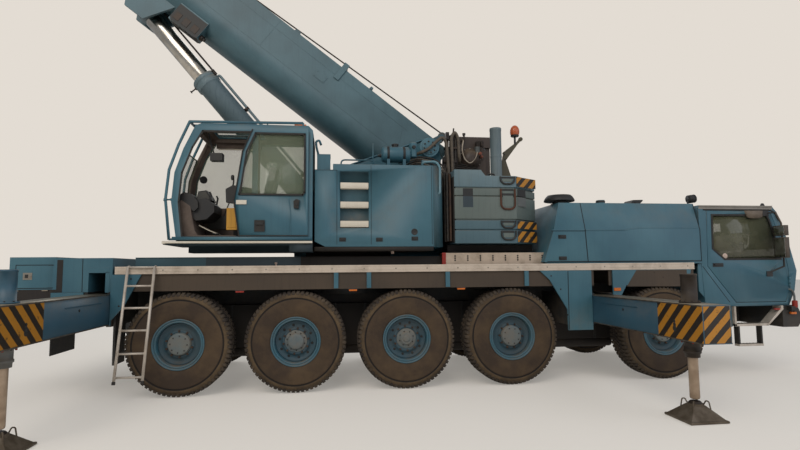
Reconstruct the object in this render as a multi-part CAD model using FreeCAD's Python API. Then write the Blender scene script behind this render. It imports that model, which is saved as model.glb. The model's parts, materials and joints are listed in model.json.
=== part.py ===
import FreeCAD, Part
import math
import os

# Five axle mobile crane on its outriggers, boom raised over its tail. All sizes in millimetres.
# Until export X runs forward from the third axle, Y to the left and Z up from the ground.
Vec = FreeCAD.Vector
ACROSS = Vec(0, 1, 0)
UP = Vec(0, 0, 1)
RIGHT = -1
LEFT = 1

fit = 0.3                 # play between a pin and its hole, and below a seated piece
gap = 8                   # running clearance between sliding pieces

# Carrier
half_width = 1500
frame_half = 500
frame_bottom = 1000
frame_top = 1500
frame_rear = -5560
frame_front = 4850
nose_frame_front = 6480
nose_frame_half = 430
nose_frame_bottom = 760
nose_frame_top = 1085
CAB_MOUNTS_X = (5120, 6300)
rail_bottom = 1745
rail_top = 1854
rail_thick = 32
rail_rear = -4170
rail_front = 4760
skirt_thick = 26
deck_top = 1840
deck_thick = 50
rib_count = 9
STRAPS = (-1060, -570, 640, 1900)

# Wheels and axles
wheel_radius = 740
wheel_half = 220
wheel_track_half = half_width - wheel_half
rim_radius = 365
rim_bore = 300
disc_out = 100
disc_in = 60
hub_radius = 150
hub_out = 178
spindle_radius = 70
spindle_end = 140
kingpin_inset = 60
kingpin_radius = 68
kingpin_half = 95
ear_thick = 55
ear_radius = 80
web_in = 15
web_out = 52
axle_radius = 80
diff_radius = frame_bottom - wheel_radius - 45
diff_length = 420
shaft_radius = 55
strut_y = 610
strut_radius = 60
bracket_drop = 230
# name, x, steered
AXLES = (
    ("1", 4187, True),
    ("2", 1646, True),
    ("3", 0, False),
    ("4", -1646, True),
    ("5", -3292, True),
)

# Outriggers
beam_half = 172
beam_wall = 22
beam_height = 434
beam_length = 2900
jack_y = half_width + 2010
beam_overhang = 430
beam_travel = 2430
tunnel_wall = 26
casing_radius = 88
casing_above = 345
casing_below = 155
jack_radius = 56
casing_bore = jack_radius + fit
jack_travel = 500
foot_half = 240
foot_plate = 28
foot_rise = 140
ball_radius = 72
tunnel_end = half_width - 60
box_half = half_width - rail_thick - fit
pocket_depth = 560
# name, beam centre x on the right side, on the left side, beam bottom z
OUTRIGGERS = (
    ("front", 3150, 2750, 920),
    ("rear", -4400, -4810, 1036),
)

# Slewing gear and superstructure
slew_x = -850
ring_radius = 900
ring_bore = 680
race_radius = 820
ring_top = 1985
house_bottom = 2130
plate_bottom = ring_top + 15
plate_top = 2230
cheek_in = 500
cheek_out = 560
pivot_x = 540
pivot_z = 3880
pivot_radius = 95
luff_rest = 37.5

# Luffing cylinder: foot and eye at rest
foot_x = -1050
foot_z = 2400
eye_x = -4400
eye_z = 6380
rod_radius = 150
barrel_radius = 200
barrel_top_from_eye = 1550
eye_radius = 170
gland_radius = 222
eye_half = gland_radius + 8
eye_cheek = 55
rod_end_from_foot = 1770
foot_ear_in = 235
foot_ear_out = 300

# Boom
boom_top = 240
boom_bottom = -820
boom_half = 440
boom_wall = 22
boom_heel = 300
base_length = 10500
section_step = 36
section_stick_out = 330
section_overlap = base_length - 800
GUIDE_SHARES = (1 / 7, 1 / 2, 6 / 7)
collar_thick = 26
collar_length = 200
pad_length = 120
head_reach = 560
# Rope roller on a raised bracket at the boom's heel
roller_along = -60
roller_height = 480
roller_radius = 70
roller_half = 130
# Cable box under the belly, on the near side of the cylinder
CABLE_BOX = ((4300, -600), (4300, -930), (4360, -950), (4880, -950), (4880, -600))
tip_x = base_length + 3 * section_stick_out + head_reach
sheave_drop = -1080
fall_radius = 215         # rope falls from the sheave axles
rope_radius = 11
SHEAVES_Y = (-162, -54, 54, 162)
head_cheek_y = 270
hook_drop_falls = 1150

# Operator's cab
cab_right = -half_width
cab_left = cab_right + 860
cab_wall = 45
cab_floor = 2215
cab_roof = 3967
door_thick = 36
door_gap = 12
door_bottom = 2278

# Machinery house
house_front = -1384
house_rear = 434
house_rear_round = 617
house_right = 50 - half_width
house_in = -cheek_out - 50
house_top = 3400

# Counterweight
weight_front = 790
weight_rear = 2270
weight_half = half_width - 100
weight_rear_half = weight_half - 400
weight_chamfer_x = 1800
weight_slot_half = 640
weight_slot_rear = 1640
weight_groove = 22
# Walkway plank on the deck behind the counterweight, handrail and exhaust on the houses
plank_rear = 600
plank_front = 2205
plank_out = half_width - 200
plank_width = 250
plank_top = 2035
post_radius = 100
post_x = 1645
pipe_radius = 17
# bottom z, top z
WEIGHT_SLABS = (
    (2180, 2385),
    (2405, 2545),
    (2567, 2927),
    (2940, 3055),
    (3078, 3262),
)
tail_clearance = 30

# Engine hood and carrier cab
hood_bottom = 1877
hood_top = 2850
hood_rear_bottom = 2219
hood_rear_top = 2553
hood_front = 4950
hood_half = half_width - 60
hood_roof_half = hood_half - 140
hood_shoulder = 2400
hood_wall = 30
intake_x = 2680
intake_radius = 250
intake_neck = 105
intake_height = 150
filler_x = 3420
filler_radius = 70
flap_x = 4150
intake_y = 250 - hood_roof_half
cabin_half = half_width - 100
seat_y = 780
bumper_half = half_width - 120
flap_width = 360
cabin_wall = 40
cabin_floor = 1123
cabin_seat_z = cabin_floor + cabin_wall + fit
# Cab door hinge: its axis stands upright just outside the side wall
hinge_x = 6572
hinge_y = cabin_half + 5
hinge_radius = 18
hinge_pin_radius = 9
HINGE_LEAVES_Z = ((1440, 1480), (1560, 1600))
# Mirrors hang on the cab doors, one large glass under a small one
mirror_x = 6335
mirror_y = cabin_half + 145
mirror_half = 115
arm_x = 6375
arm_radius = 14
# bottom z, top z
MIRROR_HEADS = ((1920, 2260), (2290, 2460))
headlamp_radius = 90
HEADLAMPS_Y = (920, 1140)

nodes = {}


def block(x0, x1, y0, y1, z0, z1):
    low = Vec(min(x0, x1), min(y0, y1), min(z0, z1))
    return Part.makeBox(abs(x1 - x0), abs(y1 - y0), abs(z1 - z0), low)


def rod(start, end, radius):
    way = end - start
    return Part.makeCylinder(radius, way.Length, start, way)


def closed_face(points):
    return Part.Face(Part.makePolygon(points + [points[0]]))


def side_plate(outline, y0, y1):
    face = closed_face([Vec(x, y0, z) for x, z in outline])
    return face.extrude(Vec(0, y1 - y0, 0))


def plan_plate(outline, z0, z1):
    face = closed_face([Vec(x, y, z0) for x, y in outline])
    return face.extrude(Vec(0, 0, z1 - z0))


def cross_plate(outline, x0, x1):
    face = closed_face([Vec(x0, y, z) for y, z in outline])
    return face.extrude(Vec(x1 - x0, 0, 0))


def joined(shapes):
    return shapes[0].multiFuse(shapes[1:]).removeSplitter()


def without(shape, tools):
    return shape.cut(Part.makeCompound(tools))


def mirrored(shape):
    return shape.mirror(Vec(0, 0, 0), ACROSS)


def on_both_sides(shapes):
    return shapes + [mirrored(shape) for shape in shapes]


def inset(outline, distance):
    wire = Part.makePolygon([Vec(x, 0, z) for x, z in outline + [outline[0]]])
    moved = Part.Face(wire).makeOffset2D(-distance, 2, False, False, False)
    corners = [vertex.Point for vertex in moved.OuterWire.OrderedVertexes]
    return [(point.x, point.z) for point in corners]


def tunnel(centre_x, bottom, side, reach):
    half = beam_half + gap
    top = bottom + beam_height + gap
    return block(centre_x - half, centre_x + half, side * reach, -side * tunnel_end, bottom - fit, top)


def jack_pocket(centre_x, side, bottom, top):
    half = casing_radius + 40
    inner = half_width - pocket_depth
    return block(centre_x - half, centre_x + half, side * inner, side * (half_width + 10), bottom, top)


def each_outrigger():
    for name, right_x, left_x, bottom in OUTRIGGERS:
        yield name + "_right", right_x, RIGHT, bottom
        yield name + "_left", left_x, LEFT, bottom


def make_chassis():
    main = block(frame_rear, frame_front, -frame_half, frame_half, frame_bottom, frame_top)
    nose = block(frame_front - 300, nose_frame_front, -nose_frame_half, nose_frame_half,
                 nose_frame_bottom, nose_frame_top)
    solids = [main, nose]
    for x in CAB_MOUNTS_X:
        mount = block(x - 60, x + 60, nose_frame_half - 130, nose_frame_half, nose_frame_top - 5,
                      cabin_floor - fit)
        solids += on_both_sides([mount])
    holes = []
    for name, right_x, left_x, bottom in OUTRIGGERS:
        ends = (right_x - beam_half, right_x + beam_half, left_x - beam_half, left_x + beam_half)
        solids.append(block(min(ends) - tunnel_wall, max(ends) + tunnel_wall, -box_half, box_half,
                            bottom - tunnel_wall, bottom + beam_height + tunnel_wall))
    for name, x, side, bottom in each_outrigger():
        holes.append(tunnel(x, bottom, side, box_half + 10))
        holes.append(jack_pocket(x, side, bottom - 200, bottom + beam_height + 200))
    for name, x, steered in AXLES:
        bracket = block(x - 90, x + 90, frame_half - 20, strut_y + 75,
                        frame_top - bracket_drop, frame_top)
        solids += on_both_sides([bracket])
    ring = rod(Vec(slew_x, 0, frame_top - 100), Vec(slew_x, 0, ring_top), ring_radius)
    solids.append(ring)
    holes.append(rod(Vec(slew_x, 0, frame_top + 40), Vec(slew_x, 0, ring_top + 10), ring_bore))
    nodes["chassis"] = without(joined(solids), holes)


def deck_pockets():
    pockets = []
    for name, x, side, bottom in each_outrigger():
        pockets.append(jack_pocket(x, side, bottom, rail_bottom))
    return pockets


def make_deck():
    skirt_out = box_half
    skirt_in = skirt_out - skirt_thick
    plate = block(rail_rear, rail_front, -skirt_out, skirt_out, deck_top - deck_thick, deck_top)
    low = frame_top + fit
    skirt = block(rail_rear, rail_front, skirt_in, skirt_out, low, deck_top)
    solids = [plate] + on_both_sides([skirt])
    pitch = (rail_front - rail_rear) / (rib_count - 1)
    for i in range(rib_count):
        x = rail_rear + i * pitch
        x = min(max(x, rail_rear + 15), rail_front - 15)
        solids.append(block(x - 15, x + 15, -skirt_out, skirt_out, low, deck_top))
    opening = rod(Vec(slew_x, 0, low - 10), Vec(slew_x, 0, deck_top + 10), ring_radius + fit)
    plank = block(plank_rear, plank_front, -plank_out, plank_width - plank_out, deck_top - 5, plank_top)
    nodes["deck"] = without(joined(solids + [plank]), [opening] + deck_pockets())


def make_rails():
    rail = block(rail_rear, rail_front, half_width - rail_thick, half_width, rail_bottom, rail_top)
    right = mirrored(joined([rail, ladder(), cab_steps()]))
    nodes["rails_and_ladders"] = Part.makeCompound([right, mirrored(right)])


def make_side_panels():
    y0 = half_width - rail_thick
    y1 = half_width - 4
    straps = [block(x - 33, x + 33, y0, y1, frame_top + 10, rail_bottom - fit) for x in STRAPS]
    front = [(2120, 1743), (2277, 1596), (2554, 1132), (2560, 810), (3330, 810), (3330, 1340),
             (3470, 1340), (3560, 1500), (4640, 1500), (4700, 1743)]
    rear = [(-3814, 1743), (-4030, 1306), (-4206, 1096), (-4206, 1030), (-5000, 1030),
            (-5000, 1499), (-4211, 1499), (-4211, 1743)]
    arch = rod(Vec(AXLES[0][1], y0 - 10, wheel_radius), Vec(AXLES[0][1], y1 + 10, wheel_radius),
               wheel_radius + 70)
    pieces = [without(side_plate(front, y0, y1), [arch]), side_plate(rear, y0, y1)]
    solids = []
    for side in (RIGHT, LEFT):
        openings = [block(x - beam_half - gap, x + beam_half + gap, side * (y0 - 10), side * (y1 + 10),
                          bottom - 130, rail_bottom)
                    for name, x, beam_side, bottom in each_outrigger() if beam_side == side]
        for piece in pieces + straps:
            placed = piece if side == LEFT else mirrored(piece)
            solids += without(placed, openings).Solids
    nodes["side_panels"] = Part.makeCompound(solids)


def make_rear_boxes():
    over = block(-5000, -4212, -box_half, box_half, frame_top + fit, 1980)
    locker = block(-5600, -5000, 100 - half_width, half_width - 100, frame_top + fit, 1998)
    pockets = [jack_pocket(x, side, bottom, bottom + beam_height + casing_above + 30)
               for name, x, side, bottom in each_outrigger()]
    nodes["rear_boxes"] = without(joined([over, locker]), pockets)


def ladder():
    rails = []
    top = Vec(0, half_width + 32, rail_top - 10)
    foot = Vec(0, half_width + 372, 300)
    for x in (-3985, -3625):
        start = Vec(x, top.y, top.z)
        end = Vec(x, foot.y, foot.z)
        rails.append(rod(start, end, 20))
        rails.append(rod(start, Vec(x, half_width - 5, top.z), 14))
    for i in range(5):
        share = 0.17 + 0.195 * i
        point = top + (foot - top) * share
        rails.append(rod(Vec(-3985, point.y, point.z), Vec(-3625, point.y, point.z), 15))
    return joined(rails)


def wheel_solid():
    outline = [(0, hub_out), (hub_radius, hub_out), (hub_radius + 15, disc_out),
               (rim_bore - 12, disc_out), (rim_bore + 12, 182), (rim_radius + 14, 196),
               (560, wheel_half), (690, 205), (wheel_radius, 150),
               (wheel_radius, -150), (690, -205), (560, -wheel_half), (rim_radius + 14, -196),
               (rim_bore, -190), (rim_bore, disc_in), (spindle_radius + fit, disc_in),
               (spindle_radius + fit, spindle_end + fit), (0, spindle_end + fit)]
    face = closed_face([Vec(r, out, 0) for r, out in outline])
    return face.revolve(Vec(0, 0, 0), ACROSS, 360)


def knuckle_solid():
    ears = []
    for sign in (1, -1):
        low = sign * (kingpin_half + fit)
        high = sign * (kingpin_half + ear_thick)
        ears.append(rod(Vec(0, -kingpin_inset, low), Vec(0, -kingpin_inset, high), ear_radius))
        ears.append(block(-ear_radius, ear_radius, -kingpin_inset, web_out, low, high))
    web = block(-ear_radius, ear_radius, web_in, web_out, -kingpin_half - ear_thick,
                kingpin_half + ear_thick)
    spindle = rod(Vec(0, web_in, 0), Vec(0, spindle_end, 0), spindle_radius)
    return joined(ears + [web, spindle])


def make_running_gear():
    wheel = wheel_solid()
    knuckle = knuckle_solid()
    parts = []
    for name, x, steered in AXLES:
        reach = wheel_track_half - kingpin_inset if steered else wheel_track_half + spindle_end
        tube = axle_radius if steered else spindle_radius
        parts.append(rod(Vec(x, -reach, wheel_radius), Vec(x, reach, wheel_radius), tube))
        for side, label in ((RIGHT, "right"), (LEFT, "left")):
            centre = Vec(x, side * wheel_track_half, wheel_radius)
            turn = 180 if side == RIGHT else 0
            piece = wheel.copy()
            piece.rotate(Vec(0, 0, 0), UP, turn)
            piece.translate(centre)
            nodes["wheel_%s_%s" % (name, label)] = piece
            pin_y = side * (wheel_track_half - kingpin_inset)
            if steered:
                holder = knuckle.copy()
                holder.rotate(Vec(0, 0, 0), UP, turn)
                holder.translate(centre)
                nodes["knuckle_%s_%s" % (name, label)] = holder
                parts.append(rod(Vec(x, pin_y, wheel_radius - kingpin_half),
                                 Vec(x, pin_y, wheel_radius + kingpin_half), kingpin_radius))
            strut_top = frame_top - bracket_drop - fit
            parts.append(rod(Vec(x, side * strut_y, wheel_radius),
                             Vec(x, side * strut_y, strut_top), strut_radius))
        parts.append(rod(Vec(x, -diff_length / 2, wheel_radius), Vec(x, diff_length / 2, wheel_radius),
                         diff_radius))
        if not steered:
            parts.append(rod(Vec(x, -1100, wheel_radius), Vec(x, 1100, wheel_radius), axle_radius + 30))
    parts.append(rod(Vec(AXLES[-1][1], 0, wheel_radius), Vec(AXLES[0][1], 0, wheel_radius), shaft_radius))
    nodes["axles"] = joined(parts)


def make_outriggers():
    for name, x, side, bottom in each_outrigger():
        outer = side * (jack_y + beam_overhang)
        inner = outer - side * beam_length
        top = bottom + beam_height
        tube = block(x - beam_half, x + beam_half, inner, outer, bottom, top)
        hollow = block(x - beam_half + beam_wall, x + beam_half - beam_wall,
                       inner - side, outer - side * (beam_overhang + casing_radius + 60),
                       bottom + beam_wall, top - beam_wall)
        axis_y = side * jack_y
        casing = rod(Vec(x, axis_y, bottom - casing_below), Vec(x, axis_y, top + casing_above),
                     casing_radius)
        bore = rod(Vec(x, axis_y, bottom - casing_below - 1), Vec(x, axis_y, top + casing_above - 25),
                   casing_bore)
        nodes["outrigger_beam_" + name] = without(joined([without(tube, [hollow]), casing]), [bore])
        plate = block(x - foot_half, x + foot_half, axis_y - foot_half, axis_y + foot_half,
                      0, foot_plate)
        base = Part.makePolygon([Vec(x + a * (foot_half - 20), axis_y + b * (foot_half - 20), foot_plate)
                                 for a, b in ((-1, -1), (1, -1), (1, 1), (-1, 1), (-1, -1))])
        crown = Part.makePolygon([Vec(x + a * ball_radius, axis_y + b * ball_radius,
                                      foot_plate + foot_rise)
                                  for a, b in ((-1, -1), (1, -1), (1, 1), (-1, 1), (-1, -1))])
        pyramid = Part.makeLoft([base, crown], True, True)
        ball = Part.makeSphere(ball_radius, Vec(x, axis_y, foot_plate + foot_rise + 20))
        top_of_rod = top + casing_above - 25 - jack_travel - 15
        leg = rod(Vec(x, axis_y, foot_plate + foot_rise), Vec(x, axis_y, top_of_rod), jack_radius)
        nodes["outrigger_jack_" + name] = joined([plate, pyramid, ball, leg])


def tail_swing():
    return math.hypot(weight_rear - slew_x, weight_rear_half) + tail_clearance


def hood_section(shrink):
    half = hood_half - shrink
    roof = hood_roof_half - shrink
    top = hood_top - shrink
    return [(-half, hood_bottom - 1 if shrink else hood_bottom), (-half, hood_shoulder),
            (-roof, top), (roof, top), (half, hood_shoulder),
            (half, hood_bottom - 1 if shrink else hood_bottom)]


def hood_rear_cut(shrink):
    slope = (hood_rear_top - hood_rear_bottom) / (hood_top - hood_bottom)
    low_x = hood_rear_bottom - slope * 100 + shrink
    high_x = hood_rear_top + slope * 100 + shrink
    wedge = side_plate([(low_x - 1500, hood_bottom - 100), (low_x, hood_bottom - 100),
                        (high_x, hood_top + 100), (low_x - 1500, hood_top + 100)],
                       -half_width - 50, half_width + 50)
    sweep = rod(Vec(slew_x, 0, house_bottom - 20 - shrink), Vec(slew_x, 0, hood_top + 100),
                tail_swing() + shrink)
    return [wedge, sweep]


def make_hood():
    outer = without(cross_plate(hood_section(0), hood_rear_bottom - 200, hood_front), hood_rear_cut(0))
    inner = without(cross_plate(hood_section(hood_wall), hood_rear_bottom - 200,
                                hood_front - hood_wall), hood_rear_cut(hood_wall))
    nodes["engine"] = block(2900, 4600, -520, 520, deck_top + fit, 2700)
    sill = block(hood_rear_bottom + 40, hood_front, -hood_half + 10, hood_half - 10,
                 deck_top + fit, hood_bottom + 20)
    room = block(hood_rear_bottom + 90, hood_front - hood_wall, -hood_half + 10 + hood_wall,
                 hood_half - 10 - hood_wall, deck_top, hood_bottom + 30)
    filler = rod(Vec(filler_x, intake_y, hood_top - 10), Vec(filler_x, intake_y, hood_top + 78),
                 filler_radius)
    outlet = side_plate([(flap_x - 110, hood_top - 10), (flap_x + 20, hood_top - 10),
                         (flap_x + 120, hood_top + 95), (flap_x + 110, hood_top + 110),
                         (flap_x - 70, hood_top + 104)], 150 + intake_y, 350 + intake_y)
    nodes["engine_hood"] = joined([without(outer, [inner]), without(sill, [room]), filler, outlet])


def make_black_fittings():
    flap_out = half_width - 60
    flap = block(-4185, -4155, flap_out - flap_width, flap_out, 470, frame_top)
    tail = block(-5720, frame_rear - fit, -bumper_half, bumper_half, 1100, frame_top - 20)
    cap_low = hood_top + intake_height / 3
    intake = [rod(Vec(intake_x, intake_y, hood_top + fit), Vec(intake_x, intake_y, cap_low + 5),
                  intake_neck),
              Part.makeCone(intake_radius, intake_radius - 55, intake_height * 2 / 3,
                            Vec(intake_x, intake_y, cap_low), UP)]
    pieces = on_both_sides([flap]) + [tail, joined(intake), front_bumper()]
    nodes["bumpers_flaps_intake"] = Part.makeCompound(pieces)


def cabin_outline():
    return [(4963, 1880), (4963, 2811), (6330, 2811), (6425, 2700), (6620, 2143), (6725, 1707),
            (6660, 1375), (6537, cabin_floor), (5000, cabin_floor)]


def cabin_door_outline():
    return [(5112, 2725), (5082, 1790), (5560, 1190), (6480, 1190), (6565, 1400), (6570, 1700),
            (6500, 2080), (6330, 2600), (6270, 2725)]


def make_carrier_cab():
    outline = cabin_outline()
    outer = side_plate(outline, -cabin_half, cabin_half)
    inner = side_plate(inset(outline, cabin_wall), -cabin_half + cabin_wall, cabin_half - cabin_wall)
    shell = without(outer, [inner])
    half = cabin_half - 110
    front = side_plate([(6440, 2640), (6900, 2640), (6900, 2000), (6600, 1960), (6300, 2100),
                        (6250, 2500)], -half, half)
    rear = block(4900, 5050, -700, 700, 2150, 2600)
    door = inset(cabin_door_outline(), -gap)
    doorways = on_both_sides([side_plate(door, cabin_half - cabin_wall - 5, cabin_half + 5)])
    roof_cut = [front, rear] + doorways
    skirt = side_plate([(4905, 1835), (4905, 1384), (5389, 785), (5470, 785), (5470, 1175),
                        (5075, 1760), (5075, 1835)], cabin_half - cabin_wall - 8, cabin_half - 8)
    skirts = [piece.cut(inner) for piece in on_both_sides([skirt])]
    hinge_room = hinge_rod(HINGE_LEAVES_Z[0][1], HINGE_LEAVES_Z[1][0], hinge_radius + 3)
    shell = without(shell, roof_cut + on_both_sides([hinge_room]))
    lamp_y = 400 - cabin_half
    work_lamp = [rod(Vec(5050, lamp_y, 2805), Vec(5100, lamp_y, 2965), 14),
                 rod(Vec(5090, lamp_y, 2965), Vec(5205, lamp_y, 2982), 72)]
    grille = [side_plate([(6640, z), (6668 + (z - 1375) * 0.136, z),
                          (6673 + (z - 1375) * 0.136, z + 34), (6640, z + 34)], -620, 620)
              for z in (1420, 1482, 1544, 1606)]
    shell = joined([shell] + work_lamp + grille)
    skirts = [piece.cut(Part.makeCompound(doorways)) for piece in skirts]
    nodes["carrier_cab"] = joined([shell] + skirts + on_both_sides([hinge_leaves()]))
    glass_front = side_plate([(6452, 2630), (6446, 2630), (6613, 2110), (6619, 2110)],
                             -half + fit, half - fit)
    glass_rear = block(4975, 4981, -700 + fit, 700 - fit, 2150 + fit, 2600 - fit)
    nodes["carrier_glass"] = Part.makeCompound([glass_front.translated(Vec(-12, 0, 0)), glass_rear])
    seats = []
    for y in (-seat_y, seat_y):
        seats.append(block(5230, 5780, y - 260, y + 260, cabin_seat_z, 1560))
        seats.append(side_plate([(5230, 1560), (5100, 2330), (5230, 2330), (5380, 1560)],
                                y - 250, y + 250))
    dash = side_plate([(6150, cabin_seat_z), (6150, 1850), (6280, 1960), (6560, 1900), (6620, 1700),
                       (6560, 1380), (6490, cabin_seat_z)], 150 - cabin_half, cabin_half - 150)
    rim_centre = Vec(6020, seat_y, 1960)
    wheel_ring = Part.makeTorus(230, 16, rim_centre, Vec(-0.5, 0, 1))
    column = rod(rim_centre + Vec(220, 0, -210), rim_centre, 30)
    hub = rod(rim_centre, rim_centre + Vec(-8, 0, 16), 225)
    nodes["carrier_cab_fittings"] = Part.makeCompound(
        [joined(seats[0:2]), joined(seats[2:4]), joined([dash, column, hub, wheel_ring])])
    make_cabin_doors()


def hinge_rod(low, high, radius):
    return rod(Vec(hinge_x, hinge_y, low), Vec(hinge_x, hinge_y, high), radius)


def hinge_leaves():
    low, high = HINGE_LEAVES_Z
    pin = hinge_rod(low[0], high[1], hinge_pin_radius)
    return joined([hinge_rod(low[0], low[1], hinge_radius), hinge_rod(high[0], high[1], hinge_radius), pin])


def make_cabin_doors():
    outline = cabin_door_outline()
    window = [(5203, 2651), (5186, 2083), (5394, 1905), (6440, 1905), (6400, 2130), (6270, 2560),
              (6230, 2651)]
    panel = without(side_plate(outline, cabin_half - cabin_wall, cabin_half),
                    [side_plate(window, cabin_half - cabin_wall - 5, cabin_half + 5)])
    low, high = HINGE_LEAVES_Z
    room = [hinge_rod(low[0] - 3, low[1], hinge_radius + 3),
            hinge_rod(high[0], high[1] + 3, hinge_radius + 3)]
    barrel = hinge_rod(low[1] + fit, high[0] - fit, hinge_radius)
    pin_hole = hinge_rod(low[0] - 10, high[1] + 10, hinge_pin_radius + fit)
    visor = side_plate([(5840, 2620), (5810, 2724), (6130, 2724), (6120, 2620), (6060, 2595),
                        (5900, 2595)], cabin_half - 5, cabin_half + 34)
    panel = without(joined([without(panel, room), barrel, visor] + door_mirrors()), [pin_hole])
    pane = side_plate(inset(window, fit), cabin_half - 28, cabin_half - 22)
    nodes["carrier_door_left"] = Part.makeCompound([panel, pane])
    nodes["carrier_door_right"] = mirrored(nodes["carrier_door_left"])


def door_mirrors():
    arm_y = mirror_y - 20
    path = [Vec(6225, cabin_half - 20, 2688), Vec(6310, arm_y - 30, 2688), Vec(arm_x, arm_y, 2500),
            Vec(arm_x, arm_y, 1780), Vec(6180, cabin_half - 20, 1660)]
    pieces = [rod(a, b, arm_radius) for a, b in zip(path, path[1:])]
    pieces += [Part.makeSphere(arm_radius, point) for point in path[1:-1]]
    for low, high in MIRROR_HEADS:
        pieces.append(block(mirror_x - 35, mirror_x + 35, mirror_y - mirror_half,
                            mirror_y + mirror_half, low, high))
    return pieces


def cab_steps():
    y1 = cabin_half + 30
    y0 = cabin_half - 140
    pieces = [block(5486, 6100, y0, y1, 797, 835),
              block(5486, 5520, y0, y1, 797, cabin_floor - fit),
              side_plate([(6060, 797), (6100, 797), (6395, 1060), (6395, cabin_floor - fit),
                          (6350, cabin_floor - fit), (6350, 1080)], y0, y1),
              block(5546, 5576, y0 + 60, y1, 470, 797),
              block(5957, 5987, y0 + 60, y1, 470, 797),
              block(5546, 5987, y0 + 60, y1, 470, 505)]
    return joined(pieces)


def front_bumper():
    bumper = side_plate([(6420, 760), (6420, 1118), (6700, 1118), (6760, 1000), (6760, 840),
                         (6700, 760)], -bumper_half, bumper_half)
    room = block(6400, nose_frame_front + fit, -nose_frame_half - fit, nose_frame_half + fit, 700,
                 nose_frame_top + 50)
    lamps = [rod(Vec(6700, y, 930), Vec(6758, y, 930), headlamp_radius) for y in HEADLAMPS_Y]
    marker = block(6515, 6585, bumper_half - 5, bumper_half + 85, 1040, 1110)
    return without(joined([bumper] + on_both_sides(lamps + [marker])), [room])


def make_turntable():
    base = block(-1750, 760, -cheek_out, cheek_out, plate_bottom, plate_top)
    arm_top = cab_floor - fit
    cab_arm = block(-3535, -1411, cab_right, -cheek_out + 40, 2165, arm_top)
    cab_beam = block(-3300, -1400, cab_left - 410, cab_left - 110, plate_bottom + 60, arm_top)
    cross = block(-1750, -1411, cab_right, cab_left, plate_bottom + 60, arm_top)
    cheek = side_plate([(-1700, plate_bottom), (-1700, 2700), (-947, 3535), (-418, 3732),
                        (350, 4010), (541, 4080), (720, 4040), (760, 3700), (760, plate_bottom)],
                       cheek_in, cheek_out)
    ear = side_plate([(foot_x - 330, plate_top), (foot_x - 170, foot_z + 150),
                      (foot_x + 170, foot_z + 150), (foot_x + 330, plate_top)],
                     foot_ear_in, foot_ear_out)
    shelf = block(house_front, house_rear, house_right, -cheek_out, house_bottom - 60,
                  house_bottom - fit)
    tail_end = weight_slot_rear - fit
    tail_bottom = plank_top + 15
    tail_side = block(700, tail_end, cheek_in, cheek_out, tail_bottom, 3350)
    tail_floor = block(700, tail_end, -cheek_out, cheek_out, tail_bottom, 2400)
    slot = block(-1800, -420, -foot_ear_in + 5, foot_ear_in - 5, plate_bottom - 5, plate_top + 5)
    pin_holes = rod(Vec(pivot_x, -700, pivot_z), Vec(pivot_x, 700, pivot_z), pivot_radius + fit)
    bosses = [rod(Vec(pivot_x, side * (cheek_out - 10), pivot_z),
                  Vec(pivot_x, side * (cheek_out + 110), pivot_z), 170) for side in (RIGHT, LEFT)]
    solids = [base, cab_arm, cab_beam, cross, shelf, mirrored(shelf), tail_floor]
    solids += bosses + on_both_sides([cheek, ear, tail_side])
    ring = rod(Vec(slew_x, 0, plate_bottom), Vec(slew_x, 0, plate_bottom + 90), ring_radius)
    ring_hole = rod(Vec(slew_x, 0, plate_bottom - 5), Vec(slew_x, 0, plate_bottom + 120), ring_bore)
    solids.append(without(ring, [ring_hole]))
    race = rod(Vec(slew_x, 0, ring_top + fit), Vec(slew_x, 0, plate_bottom + 5), race_radius)
    solids.append(race.cut(ring_hole.translated(Vec(0, 0, -plate_bottom + ring_top))))
    nodes["turntable"] = without(joined(solids), [slot, pin_holes])


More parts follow.
